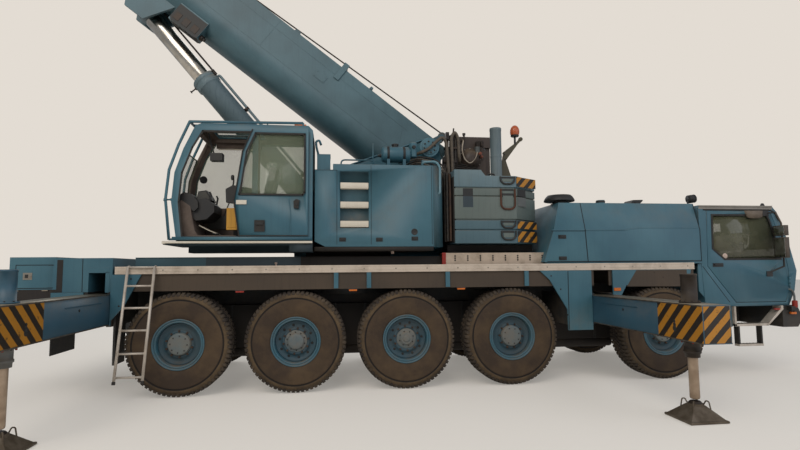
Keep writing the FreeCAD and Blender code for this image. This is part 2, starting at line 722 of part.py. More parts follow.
def make_houses():
    round_out = 183
    outline = [(house_front, house_right), (house_rear, house_right)]
    for i in range(1, 5):
        angle = math.radians(-90 + i * 90 / 4)
        outline.append((house_rear + round_out * math.cos(angle),
                        house_right + round_out + round_out * math.sin(angle)))
    outline += [(house_rear_round, house_in), (house_front, house_in)]
    body = plan_plate(outline, house_bottom, house_top)
    notch = block(house_front - 10, -1111, house_right - 10, house_in + 10, 3310, house_top + 10)
    chamfer = side_plate([(house_front - 10, house_bottom - 10), (-1200, house_bottom - 10),
                          (house_front - 10, 2215)], house_right - 10, house_in + 10)
    louvre = block(-1002, -566, house_right - 10, house_right + 90, 2414, 3286)
    rail_y = house_right + 150
    rail = pipe([Vec(303, rail_y, house_top - 10), Vec(303, rail_y, 3500), Vec(551, rail_y, 3472),
                 Vec(582, rail_y, 2963), Vec(540, rail_y + 20, 2963)], pipe_radius)
    near = joined([without(body, [notch, chamfer, louvre])] + rail)
    nodes["machinery_houses"] = Part.makeCompound([near, mirrored(without(body, [notch]))])
    slats = []
    for low, high in ((2425, 2530), (2721, 2824), (3016, 3119)):
        slats.append(block(-1002 + fit, -566 - fit, house_right + 5, house_right + 89, low, high))
    nodes["louvre_slats"] = Part.makeCompound(slats)
    tank_y = house_right + 450
    tank_z = house_top + 260
    tank = rod(Vec(-330, tank_y, tank_z), Vec(150, tank_y, tank_z), 130)
    cradle = block(-280, 100, tank_y - 80, tank_y + 80, house_top + fit, tank_z - 60)
    box = block(-1358, -1149, house_right + 100, house_right + 400, 3310 + fit, 3570)
    hook_y = house_right + 350
    hook = pipe([Vec(-1330, hook_y, 3560), Vec(-1375, hook_y, 3740), Vec(-1382, hook_y, 3825),
                 Vec(-1330, hook_y, 3850), Vec(-1300, hook_y, 3770)], pipe_radius)
    bands = [rod(Vec(x - 20, tank_y, tank_z), Vec(x + 20, tank_y, tank_z), 135) for x in (-220, 40)]
    post_y = -weight_half + 500
    post = rod(Vec(post_x, post_y, WEIGHT_SLABS[-1][1] + fit), Vec(post_x, post_y, 4175), post_radius)
    nodes["tanks_and_filters"] = Part.makeCompound([joined([tank, cradle] + bands),
                                                    joined([box] + hook), post])


def pipe(path, radius):
    pieces = [rod(a, b, radius) for a, b in zip(path, path[1:])]
    return pieces + [Part.makeSphere(radius, point) for point in path[1:-1]]


def make_counterweight():
    def plan(shrink):
        half = weight_half - shrink
        return [(weight_front + shrink, -half), (weight_chamfer_x - shrink, -half),
                (weight_rear - shrink, -weight_rear_half + shrink),
                (weight_rear - shrink, weight_rear_half - shrink), (weight_chamfer_x - shrink, half),
                (weight_front + shrink, half)]
    core = plan_plate(plan(weight_groove), WEIGHT_SLABS[0][0], WEIGHT_SLABS[-1][1])
    solids = [core]
    for low, high in WEIGHT_SLABS:
        solids.append(plan_plate(plan(0), low, high))
    hump = side_plate([(weight_front, 3200), (weight_front, 3355), (1230, 3355), (1300, 3262),
                       (1300, 3200)], -weight_half, weight_half)
    slot = block(weight_front - 10, weight_slot_rear, -weight_slot_half, weight_slot_half, 2100, 3500)
    nodes["counterweight"] = without(joined(solids + [hump]), [slot])


def make_winch():
    frame = on_both_sides([block(1000, 1600, 420, 480, 2400 + fit, 4000)])
    drum = rod(Vec(1300, -420, 3720), Vec(1300, 420, 3720), 230)
    flanges = [rod(Vec(1300, y, 3720), Vec(1300, y + 25, 3720), 300) for y in (-400, 375)]
    lower = rod(Vec(1300, -420, 3050), Vec(1300, 420, 3050), 230)
    nodes["winch"] = joined(frame + [drum, lower] + flanges)
    y = -weight_half / 2
    low = WEIGHT_SLABS[-1][1] + fit
    stand = side_plate([(1800, low), (2010, low), (1890, 3640), (1850, 3820), (1815, 3640)],
                       y - 15, y + 15)
    arm = side_plate([(1830, 3800), (1875, 3650), (2110, 3960), (2185, 4035), (2150, 4070),
                      (2090, 4000)], y - 12, y + 12)
    lamp = Vec(2062, y, 3950)
    nodes["beacon"] = joined([stand, arm, rod(lamp, lamp + UP * 160, 18),
                              rod(lamp + UP * 150, lamp + UP * 300, 72),
                              Part.makeSphere(72, lamp + UP * 290)])


def operator_outline():
    return [(-3354, cab_floor), (-3440, 2785), (-3405, 3221), (-3290, 3575), (-3128, 3930),
            (-3040, cab_roof), (-1480, cab_roof), (-1415, 3900), (-1415, cab_floor)]


def make_operator_cab():
    outline = operator_outline()
    outer = side_plate(outline, cab_right, cab_left)
    inner = side_plate(inset(outline, cab_wall), cab_right + cab_wall, cab_left - cab_wall)
    doorway = [(-3275, 2275), (-3335, 2786), (-3298, 3223), (-3162, 3600), (-3021, 3850),
               (-2300, 3850), (-2300, 2275)]
    side_window = [(-2220, 3840), (-1500, 3840), (-1500, 2900), (-2220, 2900)]
    left_window = [(-3270, 2500), (-3335, 2786), (-3298, 3223), (-3162, 3600), (-3021, 3850),
                   (-1500, 3850), (-1500, 2900), (-2500, 2900), (-2500, 2500)]
    screen = block(-3700, -3180, cab_right + 70, cab_left - 70, 2300, 3560)
    top_screen = side_plate([(-3600, 3560), (-3240, 3560), (-3090, 3880), (-3400, 3980)],
                            cab_right + 70, cab_left - 70)
    roof_light = block(-2950, -2200, cab_right + 120, cab_left - 120, 3900, 4000)
    rear_window = block(-1480, -1380, cab_right + 130, cab_left - 130, 3000, 3800)
    tools = [inner, screen, top_screen, roof_light, rear_window,
             side_plate(doorway, cab_right - 5, cab_right + cab_wall + 5),
             side_plate(side_window, cab_right - 5, cab_right + cab_wall + 5),
             side_plate(left_window, cab_left - cab_wall - 5, cab_left + 5)]
    shell = without(outer, tools)
    runner = block(-3400, -1420, cab_right - 50, cab_right, 2230, door_bottom - fit)
    nodes["operator_cab"] = joined([shell, runner] + cab_guard())
    face_low = side_plate([(-3358, 2302), (-3435, 2785), (-3402, 3221), (-3296, 3556),
                           (-3290, 3553), (-3396, 3220), (-3429, 2785), (-3352, 2304)],
                          cab_right + 70 + fit, cab_left - 70 - fit)
    nodes["operator_glass"] = Part.makeCompound([
        face_low.translated(Vec(12, 0, 0)),
        side_plate(inset(left_window, fit), cab_left - 30, cab_left - 24),
        block(-2950 + fit, -2200 - fit, cab_right + 120 + fit, cab_left - 120 - fit, 3940, 3946),
        block(-1446, -1440, cab_right + 130 + fit, cab_left - 130 - fit, 3000 + fit, 3800 - fit)])
    make_operator_seat()
    make_cab_door()


def cab_guard():
    guard_front = [(-3459, 2238), (-3524, 2828), (-3485, 3264), (-3361, 3640), (-3213, 3990)]
    guard = []
    for y in (cab_right + 20, cab_left - 20):
        for a, b in zip(guard_front, guard_front[1:]):
            guard.append(rod(Vec(a[0], y, a[1]), Vec(b[0], y, b[1]), 20))
            guard.append(Part.makeSphere(20, Vec(b[0], y, b[1])))
        guard.append(rod(Vec(-3213, y, 3990), Vec(-1560, y, 4010), 20))
        guard.append(rod(Vec(-3459, y, 2244), Vec(-3330, y, 2244), 16))
        guard.append(rod(Vec(-1560, y, cab_roof - 20), Vec(-1560, y, 4010), 14))
    guard.append(rod(Vec(-3213, cab_right + 20, 3990), Vec(-3213, cab_left - 20, 3990), 20))
    return guard


def make_operator_seat():
    middle = (cab_right + cab_left) / 2
    base = cab_floor + cab_wall + fit
    seat = [block(-2650, -2100, middle - 260, middle + 260, base, 2700),
            side_plate([(-2250, 2700), (-2100, 3450), (-1980, 3450), (-2080, 2700)],
                       middle - 250, middle + 250),
            block(-2700, -2200, middle - 330, middle - 260, 2500, 2950),
            block(-2700, -2200, middle + 260, middle + 330, 2500, 2950),
            block(-3150, -3000, middle - 180, middle + 180, base, 2450)]
    nodes["operator_seat"] = Part.makeCompound([joined(seat[0:4]), seat[4]])


def make_cab_door():
    outline = [(-2290, 3880), (-2430, 3540), (-2500, 3060), (-2546, 2814), (-2462, door_bottom),
               (-1477, door_bottom), (-1477, 3880)]
    window = [(-2250, 3820), (-2375, 3540), (-2440, 3060), (-2475, 2900), (-1560, 2900),
              (-1530, 2940), (-1530, 3820)]
    y1 = cab_right - door_gap
    y0 = y1 - door_thick
    panel = without(side_plate(outline, y0, y1), [side_plate(window, y0 - 5, y1 + 5)])
    pane = side_plate(inset(window, fit), y0 + 15, y0 + 21)
    nodes["cab_door"] = Part.makeCompound([panel, pane])


def boom_section(half, top, bottom):
    spring = bottom + half
    edges = [Part.LineSegment(Vec(0, -half, spring), Vec(0, -half, top)).toShape(),
             Part.LineSegment(Vec(0, -half, top), Vec(0, half, top)).toShape(),
             Part.LineSegment(Vec(0, half, top), Vec(0, half, spring)).toShape(),
             Part.Arc(Vec(0, half, spring), Vec(0, 0, bottom), Vec(0, -half, spring)).toShape()]
    return Part.Face(Part.Wire(edges))


def boom_section_at(index, inward):
    shrink = index * section_step + inward
    return boom_section(boom_half - shrink, boom_top - shrink, boom_bottom + shrink)


def boom_tube(index, start, end, wall):
    outer = boom_section_at(index, 0)
    inner = boom_section_at(index, wall)
    tube = outer.extrude(Vec(start - end, 0, 0)).cut(inner.extrude(Vec(start - end, 0, 0)))
    return tube.translated(Vec(-start, 0, 0))


def collar(index, start, end):
    outer = boom_section_at(index, -collar_thick if index == 0 else 4 - collar_thick)
    inner = boom_section_at(index, 1)
    ring = outer.extrude(Vec(start - end, 0, 0)).cut(inner.extrude(Vec(start - end, 0, 0)))
    return ring.translated(Vec(-start, 0, 0))


def wear_pads(index, end):
    outer = boom_section_at(index, boom_wall - 1)
    inner = boom_section_at(index + 1, -fit)
    ring = outer.extrude(Vec(-pad_length, 0, 0)).cut(inner.extrude(Vec(-pad_length, 0, 0)))
    return ring.translated(Vec(pad_length - end, 0, 0))


def raised(shape):
    placed = shape.translated(Vec(pivot_x, 0, pivot_z))
    placed.rotate(Vec(pivot_x, 0, pivot_z), ACROSS, luff_rest)
    return placed


def boom_eye():
    along = math.radians(luff_rest)
    dx = eye_x - pivot_x
    dz = eye_z - pivot_z
    return (-dx * math.cos(along) + dz * math.sin(along), dx * math.sin(along) + dz * math.cos(along))


def make_boom():
    reach, drop = boom_eye()
    body = boom_tube(0, -boom_heel, base_length, boom_wall)
    heel_cap = boom_section_at(0, 2).extrude(Vec(-25, 0, 0))
    heel_cap = heel_cap.translated(Vec(boom_heel, 0, 0))
    heel_cut = side_plate([(320, boom_bottom - 10), (320, -330), (-350, boom_bottom - 10)], -500, 500)
    pin = rod(Vec(0, -cheek_out - 100, 0), Vec(0, cheek_out + 100, 0), pivot_radius)
    solids = [body, heel_cap, pin, collar(0, base_length - collar_length, base_length),
              wear_pads(0, base_length)]
    ears = []
    ear_in = eye_half + gap
    ear_out = ear_in + eye_cheek
    for side in (RIGHT, LEFT):
        ears.append(side_plate([(-reach - 520, boom_bottom + 200), (-reach - 190, drop - 190),
                                (-reach + 190, drop - 190), (-reach + 520, boom_bottom + 200)],
                               side * ear_in, side * ear_out))
    core = boom_section_at(0, boom_wall / 2).extrude(Vec(-base_length, 0, 0))
    ears = [ear.cut(core) for ear in ears]
    eye_pin = rod(Vec(-reach, -ear_out, drop), Vec(-reach, ear_out, drop), 90)
    tube = joined([without(joined(solids + ears), [heel_cut]), eye_pin])
    guides = []
    for x in [share * base_length for share in GUIDE_SHARES]:
        guides.append(block(-x - 40, -x + 40, -130, 130, boom_top - 5, boom_top + 90))
    roller = [rod(Vec(-roller_along, -roller_half, roller_height),
                  Vec(-roller_along, roller_half, roller_height), roller_radius)]
    for y in (-roller_half - 14, roller_half - 1):
        roller.append(side_plate([(-roller_along + 60, boom_top - 5), (-roller_along - 160, boom_top - 5),
                                  (-roller_along - 30, roller_height + 30),
                                  (-roller_along + 30, roller_height + 30)], y, y + 15))
    cable_box = side_plate([(-x, z) for x, z in CABLE_BOX], -400, -170).cut(core)
    nodes["boom_base"] = raised(joined([tube] + guides + roller + [cable_box]))
    for index in (1, 2):
        end = base_length + index * section_stick_out
        tube = boom_tube(index, end - section_overlap, end, boom_wall)
        ring = collar(index, end - 160, end)
        nodes["boom_section_%d" % (index + 1)] = raised(joined([tube, ring, wear_pads(index, end)]))
    make_boom_head()


def make_boom_head():
    index = 3
    shrink = index * section_step
    end = base_length + index * section_stick_out
    tube = boom_tube(index, end - section_overlap, end, boom_wall)
    cap = boom_section_at(index, 0)
    cap = cap.extrude(Vec(-30, 0, 0)).translated(Vec(-end, 0, 0))
    cheeks = []
    for side in (RIGHT, LEFT):
        cheeks.append(side_plate([(-end, boom_top - shrink - 20), (-end - 330, boom_top - shrink - 20),
                                  (-tip_x - 160, sheave_drop + 90), (-tip_x - 120, sheave_drop - 120),
                                  (-tip_x + 120, sheave_drop - 120),
                                  (-end, boom_bottom + shrink + 40)],
                                 side * head_cheek_y, side * (head_cheek_y + 30)))
    axle = rod(Vec(-tip_x, -head_cheek_y - 60, sheave_drop), Vec(-tip_x, head_cheek_y + 60, sheave_drop), 60)
    top_axle_x = -end - 220
    top_axle = rod(Vec(top_axle_x, -head_cheek_y - 10, 0), Vec(top_axle_x, head_cheek_y + 10, 0), 50)
    sheaves = [rod(Vec(top_axle_x, y, 0), Vec(top_axle_x, y + 44, 0), 200) for y in (-130, 86)]
    for y in SHEAVES_Y:
        sheaves.append(rod(Vec(-tip_x, y - 20, sheave_drop), Vec(-tip_x, y + 20, sheave_drop),
                           fall_radius - rope_radius - fit))
    nodes["boom_section_4"] = raised(joined([tube, cap, axle, top_axle] + cheeks + sheaves))


def head_point():
    angle = math.radians(luff_rest)
    x = pivot_x - tip_x * math.cos(angle) + sheave_drop * math.sin(angle)
    z = pivot_z + tip_x * math.sin(angle) + sheave_drop * math.cos(angle)
    return Vec(x, 0, z)


def make_hook():
    head = head_point()
    falls = []
    block_z = head.z - hook_drop_falls
    for y in SHEAVES_Y:
        for dx in (-fall_radius, fall_radius):
            falls.append(rod(Vec(head.x + dx, y, block_z), Vec(head.x + dx, y, head.z), rope_radius))
    sheaves = [rod(Vec(head.x, y - 16, block_z), Vec(head.x, y + 16, block_z), fall_radius + 14)
               for y in SHEAVES_Y]
    cheeks = [side_plate([(head.x - 250, block_z + 90), (head.x + 250, block_z + 90),
                          (head.x + 280, block_z - 120), (head.x + 90, block_z - 420),
                          (head.x - 90, block_z - 420), (head.x - 280, block_z - 120)], y, y + 25)
              for y in (-225, 200)]
    pin = rod(Vec(head.x, -240, block_z), Vec(head.x, 240, block_z), 55)
    yoke = block(head.x - 100, head.x + 100, -225, 225, block_z - 420, block_z - 300)
    shank = rod(Vec(head.x, 0, block_z - 560), Vec(head.x, 0, block_z - 300), 60)
    ring = Part.makeTorus(130, 42, Vec(head.x, 0, block_z - 720), ACROSS)
    mouth = block(head.x - 200, head.x - 30, -70, 70, block_z - 700, block_z - 540)
    hook = without(ring, [mouth])
    neck = rod(Vec(head.x, 0, block_z - 640), Vec(head.x, 0, block_z - 540), 50)
    nodes["hook_block"] = joined(falls + sheaves + cheeks + [pin, yoke, shank, neck, hook])


def make_luff_cylinder():
    foot = Vec(foot_x, 0, foot_z)
    eye = Vec(eye_x, 0, eye_z)
    way = foot - eye
    length = way.Length
    way = way * (1 / length)
    half = eye_half
    eye_ring = rod(eye - ACROSS * half, eye + ACROSS * half, eye_radius)
    eye_bore = rod(eye - ACROSS * (half + 5), eye + ACROSS * (half + 5), 90 + fit)
    stem = rod(eye + way * 100, eye + way * (length - rod_end_from_foot), rod_radius)
    nodes["luff_rod"] = without(joined([eye_ring, stem]), [eye_bore])
    top = eye + way * barrel_top_from_eye
    tube = rod(top, foot - way * 120, barrel_radius)
    gland = rod(top, top + way * 180, gland_radius)
    bore = rod(top - way * 5, foot - way * 420, rod_radius + fit)
    lug = rod(foot - ACROSS * 200, foot + ACROSS * 200, 150)
    off = way.cross(ACROSS) * 250 - ACROSS * 50
    if off.x < 0:
        off = way.cross(ACROSS) * -250 - ACROSS * 50
    inward = off * 0.3
    feed = pipe([top + way * 140 + off - inward, top + way * 140 + off, foot - way * 600 + off,
                 foot - way * 600 + off - inward], 24)
    nodes["luff_barrel"] = without(joined([tube, gland, lug] + feed), [bore])


def build():
    make_chassis()
    make_deck()
    make_rails()
    make_side_panels()
    make_rear_boxes()
    make_running_gear()
    make_outriggers()
    make_hood()
    make_black_fittings()
    make_carrier_cab()
    make_turntable()
    make_houses()
    make_counterweight()
    make_winch()
    make_operator_cab()
    make_boom()
    make_hook()
    make_luff_cylinder()


build()
os.makedirs("parts", exist_ok=True)
whole = FreeCAD.BoundBox()
for shape in nodes.values():
    whole.add(shape.optimalBoundingBox())
origin_x = whole.Center.x          # the row's origin is under the middle of the whole crane
for node, shape in nodes.items():
    shape.translated(Vec(-origin_x, 0, 0)).exportStep("parts/%s.step" % node)
    print("%-28s solids %d valid %s volume %.4f m3" % (
        node, len(shape.Solids), shape.isValid(), shape.Volume / 1e9))
print("%d nodes, length %.0f width %.0f height %.0f, origin at x %.1f" % (
    len(nodes), whole.XLength, whole.YLength, whole.ZMax, origin_x))
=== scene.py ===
import bpy
import bmesh
import json
import math
import random
from mathutils import Matrix, Vector

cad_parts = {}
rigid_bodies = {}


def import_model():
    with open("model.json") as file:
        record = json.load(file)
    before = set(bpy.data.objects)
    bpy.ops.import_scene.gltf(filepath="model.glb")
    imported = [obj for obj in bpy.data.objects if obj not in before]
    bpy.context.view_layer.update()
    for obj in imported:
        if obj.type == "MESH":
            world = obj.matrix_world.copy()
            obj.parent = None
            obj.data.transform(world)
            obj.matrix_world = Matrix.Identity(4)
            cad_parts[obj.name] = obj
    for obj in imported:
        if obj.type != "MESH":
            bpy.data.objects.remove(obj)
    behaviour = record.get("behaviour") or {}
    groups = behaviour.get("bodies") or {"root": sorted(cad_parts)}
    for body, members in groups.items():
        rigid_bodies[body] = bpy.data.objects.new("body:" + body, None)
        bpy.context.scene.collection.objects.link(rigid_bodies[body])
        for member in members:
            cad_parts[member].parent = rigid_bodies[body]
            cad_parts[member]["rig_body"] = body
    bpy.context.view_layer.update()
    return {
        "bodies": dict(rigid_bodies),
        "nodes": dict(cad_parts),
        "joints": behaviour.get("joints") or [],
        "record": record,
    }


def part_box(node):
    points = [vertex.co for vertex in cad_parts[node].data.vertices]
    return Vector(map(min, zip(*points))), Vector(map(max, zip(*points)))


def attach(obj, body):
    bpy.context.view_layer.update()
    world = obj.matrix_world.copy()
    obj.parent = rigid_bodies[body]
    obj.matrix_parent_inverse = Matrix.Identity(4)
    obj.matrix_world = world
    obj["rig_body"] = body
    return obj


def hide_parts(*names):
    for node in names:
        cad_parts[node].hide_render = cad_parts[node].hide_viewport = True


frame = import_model()
nodes = frame["nodes"]
print("frame loaded:", len(nodes), "nodes")

# every size below is in metres; x runs forward from the third axle, y to the far side, z up
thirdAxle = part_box("wheel_3_right")
shiftX = (thirdAxle[0].x + thirdAxle[1].x) / 2
right, left = -1, 1


def at(x, y, z):
    return Vector((x + shiftX, y, z))


# small tools

def hexToLinear(text, alpha=1.0):
    channels = [int(text[i:i + 2], 16) / 255 for i in (1, 3, 5)]
    linear = [c / 12.92 if c <= 0.04045 else ((c + 0.055) / 1.055) ** 2.4 for c in channels]
    return (*linear, alpha)


def addNode(tree, kind, settings=None, links=None):
    # a lower-case key is a property of the node, any other key an input socket
    node = tree.nodes.new(kind)
    for key, value in (settings or {}).items():
        if isinstance(key, str) and key[0].islower():
            setattr(node, key, value)
        else:
            node.inputs[key].default_value = value
    for key, source in (links or {}).items():
        tree.links.new(source, node.inputs[key])
    return node


def newMaterial(name):
    material = bpy.data.materials.new(name)
    material.use_nodes = True
    tree = material.node_tree
    tree.nodes.clear()
    shader = addNode(tree, "ShaderNodeBsdfPrincipled")
    addNode(tree, "ShaderNodeOutputMaterial", None, {"Surface": shader.outputs["BSDF"]})
    return material, tree, shader


def mixColours(tree, factor, first, second, blend="MIX"):
    mix = addNode(tree, "ShaderNodeMix", {"data_type": "RGBA", "blend_type": blend})
    for socket, value in ((0, factor), (6, first), (7, second)):
        if isinstance(value, bpy.types.NodeSocket):
            tree.links.new(value, mix.inputs[socket])
        else:
            mix.inputs[socket].default_value = value
    return mix.outputs[2]


def shareBetween(tree, value, low, high):
    # 0 where value is at low, 1 where it is at high
    node = addNode(tree, "ShaderNodeMapRange", {"From Min": low, "From Max": high}, {"Value": value})
    return node.outputs["Result"]


def scaledBy(tree, first, second, operation="MULTIPLY"):
    node = addNode(tree, "ShaderNodeMath", {"operation": operation, "use_clamp": operation == "MULTIPLY"})
    for index, value in enumerate((first, second)):
        if isinstance(value, bpy.types.NodeSocket):
            tree.links.new(value, node.inputs[index])
        else:
            node.inputs[index].default_value = value
    return node.outputs[0]


# materials

def objectPlace(tree):
    return addNode(tree, "ShaderNodeTexCoord").outputs["Object"]


def heightOf(tree, place):
    return addNode(tree, "ShaderNodeSeparateXYZ", None, {"Vector": place}).outputs["Z"]


def dustFilm(tree, place, colour, dust):
    # road dust settles on faces that look up and in patches about 250 mm across
    patches = addNode(tree, "ShaderNodeTexNoise", {"Scale": 1 / 0.25, "Detail": 5.0, "Roughness": 0.62},
                      {"Vector": place})
    facing = addNode(tree, "ShaderNodeNewGeometry")
    upward = addNode(tree, "ShaderNodeSeparateXYZ", None, {"Vector": facing.outputs["Normal"]})
    lying = shareBetween(tree, upward.outputs["Z"], 0.15, 0.95)
    spread = shareBetween(tree, patches.outputs["Fac"], 0.36, 0.68)
    film = scaledBy(tree, scaledBy(tree, lying, spread), dust["onTop"])
    low = shareBetween(tree, heightOf(tree, place), dust["splashTop"], dust["splashTop"] - 0.9)
    splash = scaledBy(tree, scaledBy(tree, low, spread), dust["splash"])
    total = scaledBy(tree, film, splash, "ADD")
    return mixColours(tree, total, colour, hexToLinear(dust["colour"])), total


def paintedSteel(name, paint):
    # two-pack enamel sprayed on steel: low gloss after years outdoors, faded in large patches,
    # with rain streaks down the sides and dust on top
    material, tree, shader = newMaterial(name)
    place = objectPlace(tree)
    fading = addNode(tree, "ShaderNodeTexNoise", {"Scale": 1 / 0.9, "Detail": 3.0, "Roughness": 0.5},
                     {"Vector": place})
    colour = mixColours(tree, shareBetween(tree, fading.outputs["Fac"], 0.35, 0.66),
                        hexToLinear(paint["colour"]), hexToLinear(paint["faded"]))
    stretched = addNode(tree, "ShaderNodeMapping", {"Scale": (1.0, 1.0, 0.06)}, {"Vector": place})
    streaks = addNode(tree, "ShaderNodeTexNoise", {"Scale": 1 / 0.035, "Detail": 4.0, "Roughness": 0.6},
                      {"Vector": stretched.outputs["Vector"]})
    runs = scaledBy(tree, shareBetween(tree, streaks.outputs["Fac"], 0.52, 0.72), paint["streaks"])
    colour = mixColours(tree, runs, colour, hexToLinear(paint["streakColour"]))
    specks = addNode(tree, "ShaderNodeTexNoise", {"Scale": 1 / 0.03, "Detail": 6.0, "Roughness": 0.7},
                     {"Vector": place})
    chips = scaledBy(tree, shareBetween(tree, specks.outputs["Fac"], 0.69, 0.715), paint["chips"])
    colour = mixColours(tree, chips, colour, hexToLinear(paint["primer"]))
    colour, film = dustFilm(tree, place, colour, paint["dust"])
    tree.links.new(colour, shader.inputs["Base Color"])
    gloss = addNode(tree, "ShaderNodeMapRange",
                    {"To Min": paint["roughness"] - 0.06, "To Max": paint["roughness"] + 0.1},
                    {"Value": fading.outputs["Fac"]})
    rough = scaledBy(tree, gloss.outputs["Result"], scaledBy(tree, film, 0.35), "ADD")
    tree.links.new(rough, shader.inputs["Roughness"])
    # orange peel of sprayed enamel is 2 mm across, drawn at 6 mm so that it shows
    peel = addNode(tree, "ShaderNodeTexNoise", {"Scale": 1 / 0.006, "Detail": 2.0}, {"Vector": place})
    dents = addNode(tree, "ShaderNodeTexNoise", {"Scale": 1 / 0.4, "Detail": 2.0}, {"Vector": place})
    relief = scaledBy(tree, scaledBy(tree, peel.outputs["Fac"], 0.12), dents.outputs["Fac"], "ADD")
    bump = addNode(tree, "ShaderNodeBump", {"Strength": 0.12, "Distance": 0.004}, {"Height": relief})
    tree.links.new(bump.outputs["Normal"], shader.inputs["Normal"])
    shader.inputs["IOR"].default_value = 1.5
    return material


roadDust = {"colour": "#83715a", "onTop": 0.75, "splash": 0.55, "splashTop": 1.3}
blueLook = {"colour": "#345f6e", "faded": "#456f7c", "streaks": 0.16, "streakColour": "#2c4552",
            "chips": 0.35, "primer": "#5b5248", "roughness": 0.42, "dust": roadDust}


def variant(look, **changes):
    made = dict(look)
    made.update(changes)
    return made


blueEnamel = paintedSteel("blueEnamelSprayed", blueLook)
boomEnamel = paintedSteel("blueEnamelBoom", variant(
    blueLook, colour="#38545c", faded="#4d6c75", streaks=0.2, dust=variant(roadDust, onTop=0.45, splash=0.0)))
weightEnamel = paintedSteel("blueEnamelOnIron", variant(
    blueLook, colour="#55717c", faded="#667b81", streaks=0.3, streakColour="#4a4a44", chips=0.8,
    primer="#7a4a33", roughness=0.5))
deckEnamel = paintedSteel("darkDeckEnamel", variant(
    blueLook, colour="#26343b", faded="#33434a", chips=0.6, roughness=0.55,
    dust=variant(roadDust, onTop=0.6)))
skirtPaint = paintedSteel("greyBrownSkirtPaint", variant(
    blueLook, colour="#3d3226", faded="#493c2e", streaks=0.3, streakColour="#2b231b",
    chips=0.2, primer="#6d6252", roughness=0.6))
frameEnamel = paintedSteel("darkFrameEnamel", variant(
    blueLook, colour="#1f2427", faded="#2b2e2e", streaks=0.25, streakColour="#3b3228",
    chips=0.3, roughness=0.6, dust=variant(roadDust, splashTop=1.6)))
rimEnamel = paintedSteel("blueRimEnamel", variant(
    blueLook, colour="#35606f", faded="#3d6472", streaks=0.1, chips=0.4,
    dust=variant(roadDust, colour="#6d5f4d", splash=0.25, splashTop=2.0)))
# the rim's recessed dish is a darker blue: painted shade in the recess, with dust
rimDishShade = paintedSteel("sootyRimDishEnamel", variant(
    blueLook, colour="#274450", faded="#2d4c58", streaks=0.1, chips=0.3, roughness=0.55,
    dust=variant(roadDust, colour="#54493b", splash=0.3, splashTop=2.0)))
# near-black: soot, and painted shade where it darkens the underframe, the slabs' front face, the turntable's base and
# the locker's recesses
sootAndShadePaint = paintedSteel("sootyUnderframePaint", variant(
    blueLook, colour="#1c1815", faded="#26201b", streaks=0.2, streakColour="#3b3128", chips=0.2,
    primer="#3f342a", roughness=0.7, dust=variant(roadDust, colour="#4b3f32", onTop=0.5, splash=0.2)))
whiteEnamel = paintedSteel("whiteEnamelSlat", variant(
    blueLook, colour="#dcd4c3", faded="#d0c7b4", streaks=0.15, streakColour="#9a8f7d",
    chips=0.3, primer="#80745f", roughness=0.45))
hookEnamel = paintedSteel("yellowHookEnamel", variant(
    blueLook, colour="#c08a22", faded="#c8952f", streaks=0.2, streakColour="#6a4d1e",
    chips=0.7, primer="#5a4030", roughness=0.45, dust=variant(roadDust, splash=0.0)))
greyEnamel = paintedSteel("greyEnamelFittings", variant(
    blueLook, colour="#565b5a", faded="#646765", chips=0.5, roughness=0.5))
machineBlack = paintedSteel("blackEnamelMachinery", variant(
    blueLook, colour="#17191a", faded="#232422", streaks=0.1, streakColour="#3a3026",
    chips=0.2, primer="#44382c", roughness=0.5, dust=variant(roadDust, onTop=0.4, splash=0.3)))


def castMetal(name, cast):
    # sand-cast or forged steel with an oily, uneven surface
    material, tree, shader = newMaterial(name)
    place = objectPlace(tree)
    grain = addNode(tree, "ShaderNodeTexNoise", {"Scale": 1 / 0.012, "Detail": 8.0, "Roughness": 0.65},
                    {"Vector": place})
    patch = addNode(tree, "ShaderNodeTexNoise", {"Scale": 1 / 0.12, "Detail": 4.0}, {"Vector": place})
    colour = mixColours(tree, shareBetween(tree, patch.outputs["Fac"], 0.35, 0.65),
                        hexToLinear(cast["colour"]), hexToLinear(cast["second"]))
    tree.links.new(colour, shader.inputs["Base Color"])
    shader.inputs["Metallic"].default_value = cast["metallic"]
    rough = addNode(tree, "ShaderNodeMapRange", {"To Min": cast["roughness"] - 0.1,
                                                 "To Max": cast["roughness"] + 0.12},
                    {"Value": patch.outputs["Fac"]})
    tree.links.new(rough.outputs["Result"], shader.inputs["Roughness"])
    bump = addNode(tree, "ShaderNodeBump", {"Strength": cast["bump"], "Distance": 0.003},
                   {"Height": grain.outputs["Fac"]})
    tree.links.new(bump.outputs["Normal"], shader.inputs["Normal"])
    return material


chromedRod = castMetal("hardChromedRod", {"colour": "#c9c4bb", "second": "#b5aea2", "metallic": 1.0,
                                          "roughness": 0.2, "bump": 0.02})
brightSteel = castMetal("machinedSteel", {"colour": "#98938a", "second": "#857c6e", "metallic": 0.9,
                                          "roughness": 0.38, "bump": 0.08})
oilySteel = castMetal("oilyDarkSteel", {"colour": "#2b2826", "second": "#3b3129", "metallic": 0.5,
                                        "roughness": 0.45, "bump": 0.3})
rustySteel = castMetal("rustyForgedSteel", {"colour": "#4f3a2b", "second": "#3a302a", "metallic": 0.3,
                                            "roughness": 0.7, "bump": 0.5})
ropeSteel = castMetal("greasedWireRope", {"colour": "#4a4036", "second": "#37312b", "metallic": 0.6,
                                          "roughness": 0.5, "bump": 0.3})


